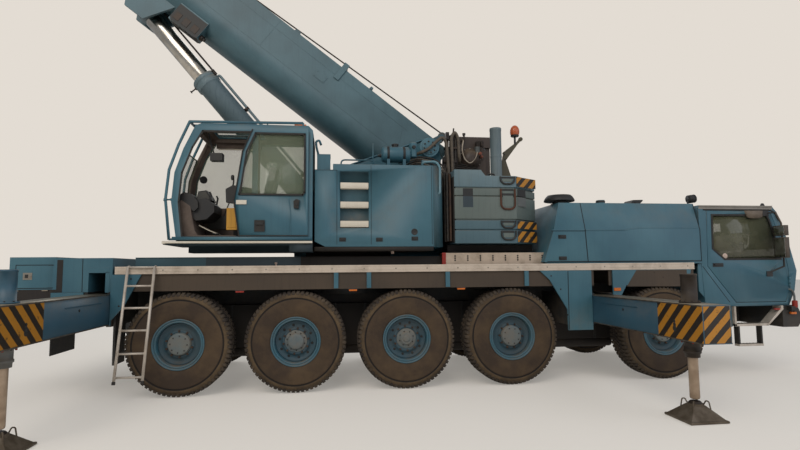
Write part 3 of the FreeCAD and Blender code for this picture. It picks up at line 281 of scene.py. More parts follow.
def rubber(name, look):
    # moulded rubber or plastic: matt, dusty in the hollows
    material, tree, shader = newMaterial(name)
    place = objectPlace(tree)
    grain = addNode(tree, "ShaderNodeTexNoise", {"Scale": 1 / look["grain"], "Detail": 5.0,
                                                 "Roughness": 0.6}, {"Vector": place})
    patch = addNode(tree, "ShaderNodeTexNoise", {"Scale": 1 / look["patch"], "Detail": 6.0,
                                                 "Roughness": 0.68}, {"Vector": place})
    colour = mixColours(tree, scaledBy(tree, shareBetween(tree, patch.outputs["Fac"], 0.4, 0.66),
                                       look["dust"]),
                        hexToLinear(look["colour"]), hexToLinear(look["dustColour"]))
    tree.links.new(colour, shader.inputs["Base Color"])
    rough = addNode(tree, "ShaderNodeMapRange", {"To Min": look["roughness"] - 0.08,
                                                 "To Max": look["roughness"] + 0.1},
                    {"Value": patch.outputs["Fac"]})
    tree.links.new(rough.outputs["Result"], shader.inputs["Roughness"])
    bump = addNode(tree, "ShaderNodeBump", {"Strength": look["bump"], "Distance": 0.002},
                   {"Height": grain.outputs["Fac"]})
    tree.links.new(bump.outputs["Normal"], shader.inputs["Normal"])
    return material


tyreRubber = rubber("dustyTyreRubber", {"colour": "#3a2d21", "dustColour": "#564531", "dust": 0.9,
                                        "grain": 0.008, "patch": 0.45, "roughness": 0.85, "bump": 0.2})
grooveRubber = rubber("shadedGrooveRubber", {"colour": "#1d1814", "dustColour": "#2e261f", "dust": 0.6,
                                             "grain": 0.008, "patch": 0.3, "roughness": 0.9, "bump": 0.2})
shoulderRubber = rubber("scuffedShoulderRubber", {"colour": "#463827", "dustColour": "#66543c", "dust": 0.9,
                                                  "grain": 0.01, "patch": 0.3, "roughness": 0.85,
                                                  "bump": 0.3})
treadRubber = rubber("wornTreadRubber", {"colour": "#2f2822", "dustColour": "#5f5242", "dust": 0.8,
                                         "grain": 0.01, "patch": 0.2, "roughness": 0.88, "bump": 0.4})
blackRubber = rubber("blackRubberTrim", {"colour": "#151515", "dustColour": "#4a4238", "dust": 0.35,
                                         "grain": 0.004, "patch": 0.1, "roughness": 0.65, "bump": 0.15})
blackPlastic = rubber("blackGrainedPlastic", {"colour": "#1a1b1c", "dustColour": "#3c3831",
                                              "dust": 0.35, "grain": 0.0025, "patch": 0.2,
                                              "roughness": 0.55, "bump": 0.25})
greyPlastic = rubber("greyCabLining", {"colour": "#4a4a46", "dustColour": "#57534a", "dust": 0.4,
                                       "grain": 0.003, "patch": 0.2, "roughness": 0.7, "bump": 0.2})
hoseRubber = rubber("hydraulicHoseRubber", {"colour": "#1b1a19", "dustColour": "#554a3d",
                                            "dust": 0.5, "grain": 0.003, "patch": 0.06,
                                            "roughness": 0.6, "bump": 0.2})
palePlastic = rubber("paleVentPlastic", {"colour": "#c9b3a4", "dustColour": "#a08d7d", "dust": 0.5,
                                         "grain": 0.003, "patch": 0.05, "roughness": 0.5, "bump": 0.1})
brownLining = rubber("brownCabLining", {"colour": "#564a41", "dustColour": "#827267", "dust": 0.5,
                                        "grain": 0.003, "patch": 0.2, "roughness": 0.75, "bump": 0.2})
floorMat = rubber("ribbedFloorMat", {"colour": "#211f1c", "dustColour": "#5d5140", "dust": 0.7,
                                     "grain": 0.006, "patch": 0.08, "roughness": 0.85, "bump": 0.3})


def glassPane(name, look):
    # float or toughened glass: smooth, greenish grey tint, thin dusty film
    material, tree, shader = newMaterial(name)
    place = objectPlace(tree)
    film = addNode(tree, "ShaderNodeTexNoise", {"Scale": 1 / 0.3, "Detail": 4.0, "Roughness": 0.6},
                   {"Vector": place})
    colour = mixColours(tree, scaledBy(tree, shareBetween(tree, film.outputs["Fac"], 0.4, 0.7), 0.3),
                        hexToLinear(look["colour"]), hexToLinear(look["film"]))
    tree.links.new(colour, shader.inputs["Base Color"])
    rough = addNode(tree, "ShaderNodeMapRange", {"To Min": 0.02, "To Max": 0.14},
                    {"Value": film.outputs["Fac"]})
    tree.links.new(rough.outputs["Result"], shader.inputs["Roughness"])
    shader.inputs["IOR"].default_value = 1.45
    shader.inputs["Alpha"].default_value = look["alpha"]
    shader.inputs["Specular IOR Level"].default_value = 0.7
    return material


tintedGlass = glassPane("tintedCabGlass", {"colour": "#8c9a80", "film": "#a9a48f", "alpha": 0.34})
darkGlass = glassPane("darkCabGlass", {"colour": "#5c5e49", "film": "#8f8a74", "alpha": 0.8})


def lens(name, colour, glow):
    # injection-moulded lamp lens: clear, coloured through, with fine ribs
    material, tree, shader = newMaterial(name)
    place = objectPlace(tree)
    ribs = addNode(tree, "ShaderNodeTexWave", {"wave_type": "BANDS", "bands_direction": "X",
                                               "Scale": 1 / 0.012}, {"Vector": place})
    shade = mixColours(tree, scaledBy(tree, ribs.outputs["Fac"], 0.3), hexToLinear(colour),
                       hexToLinear(glow))
    tree.links.new(shade, shader.inputs["Base Color"])
    bump = addNode(tree, "ShaderNodeBump", {"Strength": 0.2, "Distance": 0.002},
                   {"Height": ribs.outputs["Fac"]})
    tree.links.new(bump.outputs["Normal"], shader.inputs["Normal"])
    shader.inputs["Roughness"].default_value = 0.15
    shader.inputs["IOR"].default_value = 1.49
    return material


amberLens = lens("amberAcrylicLens", "#c8641c", "#e08a3a")
redLens = lens("redAcrylicLens", "#8c2418", "#b04030")
clearLens = lens("clearHeadlampLens", "#b9bcb8", "#dcdedb")


def hazardStripes(name, lean, pitch=0.19, along="X"):
    # yellow enamel with 45 degree black bands, scuffed where the beams rub
    material, tree, shader = newMaterial(name)
    place = objectPlace(tree)
    split = addNode(tree, "ShaderNodeSeparateXYZ", None, {"Vector": place})
    across = addNode(tree, "ShaderNodeMath", {"operation": "MULTIPLY_ADD", 1: lean},
                     {0: split.outputs["Z"], 2: split.outputs[along]})
    wobble = addNode(tree, "ShaderNodeTexNoise", {"Scale": 1 / 0.05, "Detail": 5.0}, {"Vector": place})
    moved = addNode(tree, "ShaderNodeMath", {"operation": "MULTIPLY_ADD", 1: 0.012},
                    {0: wobble.outputs["Fac"], 2: across.outputs[0]})
    turns = addNode(tree, "ShaderNodeMath", {"operation": "DIVIDE", 1: pitch}, {0: moved.outputs[0]})
    part = addNode(tree, "ShaderNodeMath", {"operation": "FRACT"}, {0: turns.outputs[0]})
    band = addNode(tree, "ShaderNodeMath", {"operation": "GREATER_THAN", 1: 0.52},
                   {0: part.outputs[0]})
    colour = mixColours(tree, band.outputs[0], hexToLinear("#b87d22"), hexToLinear("#221b14"))
    scuffs = addNode(tree, "ShaderNodeTexNoise", {"Scale": 1 / 0.11, "Detail": 7.0, "Roughness": 0.7},
                     {"Vector": place})
    worn = shareBetween(tree, scuffs.outputs["Fac"], 0.6, 0.66)
    colour = mixColours(tree, scaledBy(tree, worn, 0.8), colour, hexToLinear("#3a2c1d"))
    tree.links.new(colour, shader.inputs["Base Color"])
    shader.inputs["Roughness"].default_value = 0.5
    bump = addNode(tree, "ShaderNodeBump", {"Strength": 0.2, "Distance": 0.002},
                   {"Height": scuffs.outputs["Fac"]})
    tree.links.new(bump.outputs["Normal"], shader.inputs["Normal"])
    return material


stripesForward = hazardStripes("hazardEnamelRising", -1.0)
stripesBack = hazardStripes("hazardEnamelFalling", 1.0)
flankStripes = {right: hazardStripes("hazardEnamelRightFlank", 1.0, 0.22, "Y"),
                left: hazardStripes("hazardEnamelLeftFlank", -1.0, 0.22, "Y")}


def extrudedAluminium(name, look):
    # mill-finish aluminium: fine die lines along the length, dull oxide, dirt in patches
    material, tree, shader = newMaterial(name)
    place = objectPlace(tree)
    along = addNode(tree, "ShaderNodeMapping", {"Scale": look["lines"]}, {"Vector": place})
    lines = addNode(tree, "ShaderNodeTexNoise", {"Scale": 1 / 0.006, "Detail": 3.0},
                    {"Vector": along.outputs["Vector"]})
    patch = addNode(tree, "ShaderNodeTexNoise", {"Scale": 1 / 0.18, "Detail": 5.0, "Roughness": 0.6},
                    {"Vector": place})
    dirt = scaledBy(tree, shareBetween(tree, patch.outputs["Fac"], 0.45, 0.7), look["dirt"])
    colour = mixColours(tree, dirt, hexToLinear(look["colour"]), hexToLinear("#7d6c58"))
    tree.links.new(colour, shader.inputs["Base Color"])
    shader.inputs["Metallic"].default_value = 0.35
    rough = addNode(tree, "ShaderNodeMapRange", {"To Min": 0.42, "To Max": 0.62},
                    {"Value": patch.outputs["Fac"]})
    tree.links.new(rough.outputs["Result"], shader.inputs["Roughness"])
    bump = addNode(tree, "ShaderNodeBump", {"Strength": 0.15, "Distance": 0.001},
                   {"Height": lines.outputs["Fac"]})
    tree.links.new(bump.outputs["Normal"], shader.inputs["Normal"])
    return material


railAluminium = extrudedAluminium("extrudedAluminiumRail", {"colour": "#cdbfae", "dirt": 0.4,
                                                            "lines": (0.02, 1.0, 1.0)})
ladderAluminium = extrudedAluminium("extrudedAluminiumLadder", {"colour": "#c9bfb2", "dirt": 0.45,
                                                                "lines": (1.0, 1.0, 0.05)})
plankAluminium = extrudedAluminium("pressedAluminiumPlank", {"colour": "#c2b09c", "dirt": 0.5,
                                                             "lines": (0.02, 1.0, 1.0)})


def wovenSeat(name, look):
    # seat cloth: 2 mm ribs, drawn at 8 mm so that they show, darker where it is sat on
    material, tree, shader = newMaterial(name)
    place = objectPlace(tree)
    ribs = addNode(tree, "ShaderNodeTexWave", {"wave_type": "BANDS", "bands_direction": "Y",
                                               "Scale": 1 / 0.025, "Distortion": 0.6},
                   {"Vector": place})
    worn = addNode(tree, "ShaderNodeTexNoise", {"Scale": 1 / 0.15, "Detail": 4.0}, {"Vector": place})
    colour = mixColours(tree, scaledBy(tree, ribs.outputs["Fac"], 0.5), hexToLinear(look["colour"]),
                        hexToLinear(look["rib"]))
    colour = mixColours(tree, scaledBy(tree, shareBetween(tree, worn.outputs["Fac"], 0.5, 0.7), 0.5),
                        colour, hexToLinear(look["worn"]))
    tree.links.new(colour, shader.inputs["Base Color"])
    shader.inputs["Roughness"].default_value = 0.9
    shader.inputs["Sheen Weight"].default_value = 0.3
    bump = addNode(tree, "ShaderNodeBump", {"Strength": 0.4, "Distance": 0.002},
                   {"Height": ribs.outputs["Fac"]})
    tree.links.new(bump.outputs["Normal"], shader.inputs["Normal"])
    return material


seatCloth = wovenSeat("ribbedSeatCloth", {"colour": "#2b2926", "rib": "#3d3a35", "worn": "#4b453c"})
print("materials made:", len(bpy.data.materials))


# shapes
# each shape goes into a bmesh as plain faces, with x counted from the third axle; finishPiece
# turns it into an object at its place

def addFaces(mesh, points, faces, slot=0, smooth=False):
    made = [mesh.verts.new(point) for point in points]
    for corners in faces:
        try:
            face = mesh.faces.new([made[i] for i in corners])
        except ValueError:
            continue
        face.material_index = slot
        face.smooth = smooth
    return made


def sortedCorners(first, second):
    return ([min(a, b) for a, b in zip(first, second)], [max(a, b) for a, b in zip(first, second)])


def addBlock(mesh, low, high, slot=0, turn=None):
    points = [Vector((x, y, z)) for x in (low[0], high[0]) for y in (low[1], high[1])
              for z in (low[2], high[2])]
    if turn is not None:
        points = [turn @ point for point in points]
    faces = [(0, 1, 3, 2), (4, 6, 7, 5), (0, 4, 5, 1), (2, 3, 7, 6), (0, 2, 6, 4), (1, 5, 7, 3)]
    return addFaces(mesh, points, faces, slot)


def addPrism(mesh, outline, direction, slot=0):
    # outline is a loop of points in one plane, pushed along direction
    count = len(outline)
    points = [Vector(point) for point in outline] + [Vector(point) + direction for point in outline]
    faces = [tuple(range(count))[::-1], tuple(range(count, 2 * count))]
    for i in range(count):
        after = (i + 1) % count
        faces.append((i, after, after + count, i + count))
    return addFaces(mesh, points, faces, slot)


def sideOutline(pairs, y):
    return [Vector((x, y, z)) for x, z in pairs]


def frameAlong(way):
    way = way.normalized()
    helper = Vector((0, 0, 1)) if abs(way.z) < 0.9 else Vector((1, 0, 0))
    first = way.cross(helper).normalized()
    return first, way.cross(first).normalized()


def addRings(mesh, rings, slot=0, smooth=True, capped=True):
    # rings are equal loops of points that are joined one after another
    count = len(rings[0])
    points = [point for ring in rings for point in ring]
    faces = []
    for i in range(len(rings) - 1):
        for j in range(count):
            after = (j + 1) % count
            faces.append((i * count + j, i * count + after, (i + 1) * count + after,
                          (i + 1) * count + j))
    made = addFaces(mesh, points, faces, slot, smooth)
    if capped:
        for base, order in ((0, -1), ((len(rings) - 1) * count, 1)):
            loop = made[base:base + count][::order]
            face = mesh.faces.new(loop)
            face.material_index = slot
    return made


def circle(centre, first, second, radius, sides):
    return [centre + first * (radius * math.cos(2 * math.pi * i / sides))
            + second * (radius * math.sin(2 * math.pi * i / sides)) for i in range(sides)]


def addTube(mesh, path, radius, slot=0, sides=12, capped=True):
    # a round bar or pipe that follows the path with mitred corners
    path = [Vector(point) for point in path]
    first, second = frameAlong(path[1] - path[0])
    rings = []
    for i, point in enumerate(path):
        before = (point - path[i - 1]).normalized() if i else (path[1] - path[0]).normalized()
        after = (path[i + 1] - point).normalized() if i + 1 < len(path) else before
        way = (before + after).normalized()
        first = (first - way * first.dot(way)).normalized()
        second = way.cross(first).normalized()
        stretch = 1 / max(0.5, before.dot(way))
        if i and i + 1 < len(path):
            bend = (after - before)
            if bend.length > 1e-6:
                bend.normalize()
                ring = []
                for spot in circle(Vector(), first, second, radius, sides):
                    ring.append(point + spot + bend * (spot.dot(bend) * (stretch - 1)))
                rings.append(ring)
                continue
        rings.append(circle(point, first, second, radius, sides))
    return addRings(mesh, rings, slot, True, capped)


def addTurned(mesh, start, way, profile, slot=0, sides=24, smooth=True, closed=False):
    # profile is pairs of distance along way and radius, turned round it
    way = Vector(way).normalized()
    first, second = frameAlong(way)
    rings = [circle(Vector(start) + way * along, first, second, max(radius, 0.0004), sides)
             for along, radius in profile]
    if closed:
        rings.append(rings[0])
    return addRings(mesh, rings, slot, smooth, not closed)


def roundedPath(points, radius, steps=4):
    # a bent pipe's centre line: each corner becomes an arc
    points = [Vector(point) for point in points]
    made = [points[0]]
    for before, corner, after in zip(points, points[1:], points[2:]):
        into, out = (before - corner), (after - corner)
        cut = min(radius, into.length * 0.45, out.length * 0.45)
        start, end = corner + into.normalized() * cut, corner + out.normalized() * cut
        for i in range(steps + 1):
            share = i / steps
            made.append(start.lerp(corner, share).lerp(corner.lerp(end, share), share))
    made.append(points[-1])
    return made


def newMesh():
    return bmesh.new()


def finishPiece(mesh, name, body, materials, bevel=0.0, segments=2, angle=35, replaces=(),
                merge=0.0002):
    if merge:
        bmesh.ops.remove_doubles(mesh, verts=mesh.verts, dist=merge)
    bmesh.ops.recalc_face_normals(mesh, faces=mesh.faces)
    bmesh.ops.translate(mesh, verts=mesh.verts, vec=(shiftX, 0, 0))
    data = bpy.data.meshes.new(name)
    mesh.to_mesh(data)
    mesh.free()
    piece = bpy.data.objects.new(name, data)
    bpy.context.scene.collection.objects.link(piece)
    for material in (materials if isinstance(materials, (list, tuple)) else [materials]):
        data.materials.append(material)
    if bevel:
        rounding = piece.modifiers.new("edges", "BEVEL")
        rounding.width = bevel
        rounding.segments = segments
        rounding.limit_method = "ANGLE"
        rounding.angle_limit = math.radians(angle)
        rounding.use_clamp_overlap = True
        rounding.harden_normals = True
        for face in data.polygons:
            face.use_smooth = True
        piece = applied(piece)
    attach(piece, body)
    if replaces:
        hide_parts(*replaces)
    return piece


def applied(piece):
    # puts the modifiers' result into the mesh
    bpy.context.view_layer.update()
    seen = piece.evaluated_get(bpy.context.evaluated_depsgraph_get())
    data = bpy.data.meshes.new_from_object(seen)
    piece.modifiers.clear()
    old = piece.data
    piece.data = data
    bpy.data.meshes.remove(old)
    data.name = piece.name
    return piece


def paintNode(name, material, slot=None):
    piece = nodes[name]
    piece.data.materials.clear()
    piece.data.materials.append(material)
    return piece


def softenedNode(name, pieceName, materials, bevel, angle=30, segments=2, keep=None,
                 shortest=0.0):
    # a rounded copy of a CAD node stands for it, so that its edges catch the light
    source = nodes[name]
    mesh = bmesh.new()
    mesh.from_mesh(source.data)
    bmesh.ops.remove_doubles(mesh, verts=mesh.verts, dist=0.00005)
    bmesh.ops.dissolve_limit(mesh, angle_limit=math.radians(0.6), verts=mesh.verts, edges=mesh.edges)
    for face in mesh.faces:
        face.smooth = True
        face.material_index = 0
    if keep:
        keep(mesh)
    weights = mesh.edges.layers.float.new("bevel_weight_edge")
    for edge in mesh.edges:
        firm = len(edge.link_faces) == 2 and edge.calc_length() > shortest
        if firm and edge.calc_face_angle(0) > math.radians(angle):
            if all(face.material_index == 0 for face in edge.link_faces):
                edge[weights] = 1.0
    data = bpy.data.meshes.new(pieceName)
    mesh.to_mesh(data)
    mesh.free()
    piece = bpy.data.objects.new(pieceName, data)
    bpy.context.scene.collection.objects.link(piece)
    for material in (materials if isinstance(materials, (list, tuple)) else [materials]):
        data.materials.append(material)
    rounding = piece.modifiers.new("edges", "BEVEL")
    rounding.width = bevel
    rounding.segments = segments
    rounding.limit_method = "WEIGHT"
    rounding.use_clamp_overlap = True
    rounding.harden_normals = True
    piece = applied(piece)
    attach(piece, source["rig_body"])
    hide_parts(name)
    return piece


# geometry nodes for what repeats

def treeSocket(tree, name, kind, value=None, output=False):
    socket = tree.interface.new_socket(name, in_out="OUTPUT" if output else "INPUT", socket_type=kind)
    if value is not None:
        socket.default_value = value
    return socket


def roundAxleTree():
    # repeats the shape it is given round the y axis
    tree = bpy.data.node_groups.new("repeatRoundAxle", "GeometryNodeTree")
    treeSocket(tree, "Shape", "NodeSocketGeometry")
    treeSocket(tree, "Count", "NodeSocketInt", 12)
    treeSocket(tree, "Start Angle", "NodeSocketFloat", 0.0)
    treeSocket(tree, "Finish", "NodeSocketMaterial")
    treeSocket(tree, "Ring", "NodeSocketGeometry", output=True)
    given = addNode(tree, "NodeGroupInput")
    spots = addNode(tree, "GeometryNodeMeshLine", {"Offset": (0.0, 0.0, 0.0)},
                    {"Count": given.outputs["Count"]})
    number = addNode(tree, "GeometryNodeInputIndex")
    step = addNode(tree, "ShaderNodeMath", {"operation": "DIVIDE", 0: 2 * math.pi},
                   {1: given.outputs["Count"]})
    angle = addNode(tree, "ShaderNodeMath", {"operation": "MULTIPLY_ADD"},
                    {0: number.outputs[0], 1: step.outputs[0], 2: given.outputs["Start Angle"]})
    turned = addNode(tree, "ShaderNodeCombineXYZ", None, {"Y": angle.outputs[0]})
    copies = addNode(tree, "GeometryNodeInstanceOnPoints", None,
                     {"Points": spots.outputs["Mesh"], "Instance": given.outputs["Shape"],
                      "Rotation": turned.outputs[0]})
    solid = addNode(tree, "GeometryNodeRealizeInstances", None, {"Geometry": copies.outputs[0]})
    painted = addNode(tree, "GeometryNodeSetMaterial", None,
                      {"Geometry": solid.outputs[0], "Material": given.outputs["Finish"]})
    addNode(tree, "NodeGroupOutput", None, {"Ring": painted.outputs[0]})
    return tree


def alongLineTree():
    # repeats the shape it is given in equal steps along a straight line
    tree = bpy.data.node_groups.new("repeatAlongLine", "GeometryNodeTree")
    treeSocket(tree, "Shape", "NodeSocketGeometry")
    treeSocket(tree, "Count", "NodeSocketInt", 5)
    treeSocket(tree, "Step", "NodeSocketVector", (0.1, 0.0, 0.0))
    treeSocket(tree, "Finish", "NodeSocketMaterial")
    treeSocket(tree, "Row", "NodeSocketGeometry", output=True)
    given = addNode(tree, "NodeGroupInput")
    spots = addNode(tree, "GeometryNodeMeshLine", None,
                    {"Count": given.outputs["Count"], "Offset": given.outputs["Step"]})
    copies = addNode(tree, "GeometryNodeInstanceOnPoints", None,
                     {"Points": spots.outputs["Mesh"], "Instance": given.outputs["Shape"]})
    solid = addNode(tree, "GeometryNodeRealizeInstances", None, {"Geometry": copies.outputs[0]})
    painted = addNode(tree, "GeometryNodeSetMaterial", None,
                      {"Geometry": solid.outputs[0], "Material": given.outputs["Finish"]})
    addNode(tree, "NodeGroupOutput", None, {"Row": painted.outputs[0]})
    return tree


roundAxle = roundAxleTree()
alongLine = alongLineTree()


def repeated(tree, mesh, inputs):
    # runs the tree on a small shape and hands back the plain mesh
    data = bpy.data.meshes.new("repeatShape")
    bmesh.ops.recalc_face_normals(mesh, faces=mesh.faces)
    mesh.to_mesh(data)
    mesh.free()
    carrier = bpy.data.objects.new("repeatShape", data)
    bpy.context.scene.collection.objects.link(carrier)
    modifier = carrier.modifiers.new("repeat", "NODES")
    modifier.node_group = tree
    for item in tree.interface.items_tree:
        if item.in_out == "INPUT" and item.name in inputs:
            modifier[item.identifier] = inputs[item.name]
    bpy.context.view_layer.update()
    seen = carrier.evaluated_get(bpy.context.evaluated_depsgraph_get())
    result = bpy.data.meshes.new_from_object(seen)
    bpy.data.objects.remove(carrier)
    bpy.data.meshes.remove(data)
    return result


def gathered(name, parts):
    # parts are plain meshes with their place; they become one mesh with all their materials
    mesh = bmesh.new()
    materials = []
    for data, place in parts:
        first = len(mesh.verts)
        start = len(mesh.faces)
        mesh.from_mesh(data)
        mesh.verts.ensure_lookup_table()
        mesh.faces.ensure_lookup_table()
        for vertex in mesh.verts[first:]:
            vertex.co = place @ vertex.co
        table = []
        for material in data.materials:
            if material not in materials:
                materials.append(material)
            table.append(materials.index(material))
        for face in mesh.faces[start:]:
            face.material_index = table[face.material_index] if table else 0
    data = bpy.data.meshes.new(name)
    mesh.to_mesh(data)
    mesh.free()
    for material in materials:
        data.materials.append(material)
    return data


def placedPiece(data, name, body, replaces=()):
    piece = bpy.data.objects.new(name, data)
    bpy.context.scene.collection.objects.link(piece)
    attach(piece, body)
    if replaces:
        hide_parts(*replaces)
    return piece


def plainMesh(mesh, materials, flip=True):
    if flip:
        bmesh.ops.recalc_face_normals(mesh, faces=mesh.faces)
    data = bpy.data.meshes.new("part")
    mesh.to_mesh(data)
    mesh.free()
    for material in (materials if isinstance(materials, (list, tuple)) else [materials]):
        data.materials.append(material)
    return data


print("stage: tools and materials ready")


# wheels

tyre = {"lugs": 68, "shoulderLugWidth": 0.042, "centreLugWidth": 0.036, "sides": 96,
        "profile": [(0.165, 0.318), (0.178, 0.338), (0.197, 0.366), (0.211, 0.4), (0.2185, 0.45),
                    (0.2195, 0.5), (0.218, 0.55), (0.215, 0.598), (0.2145, 0.616), (0.206, 0.621),
                    (0.2045, 0.634), (0.2125, 0.64), (0.21, 0.657), (0.2, 0.68), (0.184, 0.704),
                    (0.15, 0.7215), (0.08, 0.7265), (0.0, 0.7275)]}
ySide = Vector((0, 1, 0))


def tyreCarcass():
    half = tyre["profile"]
    profile = half + [(-along, radius) for along, radius in half[-2::-1]]
    mesh = newMesh()
    addTurned(mesh, (0, 0, 0), ySide, profile, 0, tyre["sides"], True, True)
    for face in mesh.faces:
        middle = face.calc_center_median()
        radius = math.hypot(middle.x, middle.z)
        face.material_index = 1 if radius > 0.7 else 3 if radius > 0.637 else 2 if radius > 0.617 else 0
    return plainMesh(mesh, [tyreRubber, treadRubber, grooveRubber, shoulderRubber])


def shoulderLug(side):
    mesh = newMesh()
    half = tyre["shoulderLugWidth"] / 2
    outline = [(0.078, 0.712), (0.078, 0.7382), (0.16, 0.7382), (0.186, 0.7215), (0.2035, 0.684),
               (0.19, 0.68)]
    lean = 0.014
    near = [(-half + lean * (y - 0.08) / 0.12, side * y, z) for y, z in outline]
    mesh_points = near + [(x + 2 * half, y, z) for x, y, z in near]
    count = len(outline)
    faces = [tuple(range(count)), tuple(range(2 * count - 1, count - 1, -1))]
    faces += [(i, (i + 1) % count, (i + 1) % count + count, i + count) for i in range(count)]
    addFaces(mesh, mesh_points, faces)
    return mesh


def centreLug(side):
    mesh = newMesh()
    half = tyre["centreLugWidth"] / 2
    y0, y1 = 0.008 * side, 0.068 * side
    lean = 0.016
    points = []
    for z in (0.712, 0.7388):
        points += [(-half, y0, z), (half, y0, z), (half + lean, y1, z), (-half + lean, y1, z)]
    addFaces(mesh, points, [(0, 1, 2, 3), (4, 5, 6, 7), (0, 1, 5, 4), (1, 2, 6, 5), (2, 3, 7, 6),
                            (3, 0, 4, 7)])
    return mesh


def tyreMesh():
    parts = [(tyreCarcass(), Matrix())]
    step = 2 * math.pi / tyre["lugs"]
    for side in (right, left):
        for maker, start in ((shoulderLug, 0.0 if side == left else step / 2),
                             (centreLug, step * 0.25 if side == left else step * 0.75)):
            ring = repeated(roundAxle, maker(side), {"Count": tyre["lugs"], "Start Angle": start,
                                                     "Finish": treadRubber})
            parts.append((ring, Matrix()))
    return gathered("tyre", parts)


hubEnamel = paintedSteel("dustyHubEnamel", variant(
    blueLook, colour="#50646c", faded="#66706f", chips=0.6, roughness=0.55,
    dust=variant(roadDust, colour="#7c6f5e", splash=0.7, splashTop=2.0)))
# near-black discs in holes and slots: painted shade for the dark inside them
paintedHoleShade = paintedSteel("darkHollowPaint", variant(
    blueLook, colour="#141719", faded="#1a1c1c", streaks=0.0, chips=0.0, roughness=0.7,
    dust=variant(roadDust, onTop=0.2, splash=0.2)))

rim = {"sides": 72, "nuts": 10, "nutCircle": 0.183, "holes": 10, "holeCircle": 0.238}
rimProfile = [(-0.188, 0.296), (-0.198, 0.345), (-0.192, 0.362), (-0.178, 0.339), (-0.164, 0.319),
              (0.164, 0.319), (0.178, 0.339), (0.197, 0.364), (0.207, 0.361), (0.209, 0.352),
              (0.203, 0.343), (0.188, 0.338), (0.186, 0.333), (0.195, 0.328), (0.197, 0.318),
              (0.188, 0.309), (0.172, 0.305), (0.124, 0.301)]
dishProfile = [(0.062, 0.302), (0.118, 0.302), (0.124, 0.29), (0.112, 0.268), (0.103, 0.25),
               (0.103, 0.215), (0.118, 0.202), (0.128, 0.19), (0.128, 0.15), (0.07, 0.15)]
drumProfile = [(-0.17, 0.1), (-0.175, 0.2), (-0.16, 0.245), (0.03, 0.245), (0.06, 0.22), (0.062, 0.1)]
# the hub in the middle of each axle's wheels, distance outwards and radius
hubShapes = {
    "flat": [(0.1, 0.165), (0.135, 0.165), (0.14, 0.157), (0.166, 0.154), (0.173, 0.148),
             (0.176, 0.13), (0.177, 0.05), (0.177, 0.001)],
    "medium": [(0.1, 0.162), (0.132, 0.162), (0.136, 0.15), (0.14, 0.118), (0.168, 0.114),
               (0.175, 0.106), (0.177, 0.06), (0.177, 0.001)],
    "small": [(0.1, 0.165), (0.126, 0.162), (0.132, 0.12), (0.136, 0.1), (0.165, 0.085),
              (0.168, 0.07), (0.16, 0.055), (0.172, 0.05), (0.176, 0.035), (0.177, 0.001)],
}
hubOfAxle = {"1": "flat", "2": "flat", "3": "small", "4": "medium", "5": "flat"}


def nutShape(radius, length, out, circleRadius, sides=6):
    mesh = newMesh()
    addTurned(mesh, (0, out, circleRadius), ySide,
              [(-0.012, radius * 1.3), (0.002, radius * 1.3), (0.003, radius), (length, radius),
               (length + 0.003, radius * 0.7)], 0, sides, False)
    return mesh


def holeShape(out, circleRadius, radius):
    # a shallow disc in painted shade stands for the hole in the dish
    mesh = newMesh()
    addTurned(mesh, (0, out, circleRadius), ySide,
              [(-0.01, radius), (0.0012, radius), (0.0012, radius * 0.6), (0.0008, 0.001)], 0, 14, True)
    return mesh


def rimMesh(kind):
    mesh = newMesh()
    addTurned(mesh, (0, 0, 0), ySide, rimProfile, 0, rim["sides"], True, True)
    addTurned(mesh, (0, 0, 0), ySide, dishProfile, 1, rim["sides"], True, True)
    parts = [(plainMesh(mesh, [rimEnamel, rimDishShade]), Matrix())]
    mesh = newMesh()
    addTurned(mesh, (0, 0, 0), ySide, hubShapes[kind], 0, 48, True)
    parts.append((plainMesh(mesh, hubEnamel), Matrix()))
    mesh = newMesh()
    addTurned(mesh, (0, 0, 0), ySide, drumProfile, 0, 48, True, True)
    parts.append((plainMesh(mesh, oilySteel), Matrix()))
    nuts = repeated(roundAxle, nutShape(0.0135, 0.03, 0.128, rim["nutCircle"]),
                    {"Count": rim["nuts"], "Start Angle": 0.0, "Finish": rustySteel})
    parts.append((nuts, Matrix()))
    if kind != "flat":
        holes = repeated(roundAxle, holeShape(0.1075, rim["holeCircle"], 0.019),
                         {"Count": rim["holes"], "Start Angle": 0.3, "Finish": paintedHoleShade})
        parts.append((holes, Matrix()))
    small = {"flat": (8, 0.118, 0.1755), "medium": (10, 0.132, 0.137), "small": (8, 0.108, 0.134)}[kind]
    bolts = repeated(roundAxle, nutShape(0.008, 0.008, small[2], small[1]),
                     {"Count": small[0], "Start Angle": 0.2, "Finish": oilySteel})
    parts.append((bolts, Matrix()))
    return gathered("rim", parts)


tyreData = tyreMesh()
rimData = {kind: rimMesh(kind) for kind in hubShapes}
for node in [name for name in nodes if name.startswith("wheel_")]:
    low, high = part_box(node)
    middle = (low + high) / 2
    side = right if node.endswith("right") else left
    out = side * 1.28
    centre = Vector((middle.x, out, middle.z))
    spin = Matrix.Rotation(math.pi if side == right else 0, 4, "Z")
    axle = node.split("_")[1]
    turnedBy = Matrix.Rotation({"1": 0.3, "2": 0.9, "3": 0.1, "4": 0.5, "5": 1.3}[axle], 4, "Y")
    place = Matrix.Translation(centre) @ spin @ turnedBy
    placedPiece(gathered("tyre" + node[5:], [(tyreData, place)]), "tyre" + node[5:], node,
                [node])
    placedPiece(gathered("rim" + node[5:], [(rimData[hubOfAxle[axle]], place)]), "rim" + node[5:],
                node)
print("stage: wheels ready")


# machinery houses, right one with its door, left one plainer

def onBothSides(build):
    # calls build once for each side of the machine
    for side in (right, left):
        build(side)


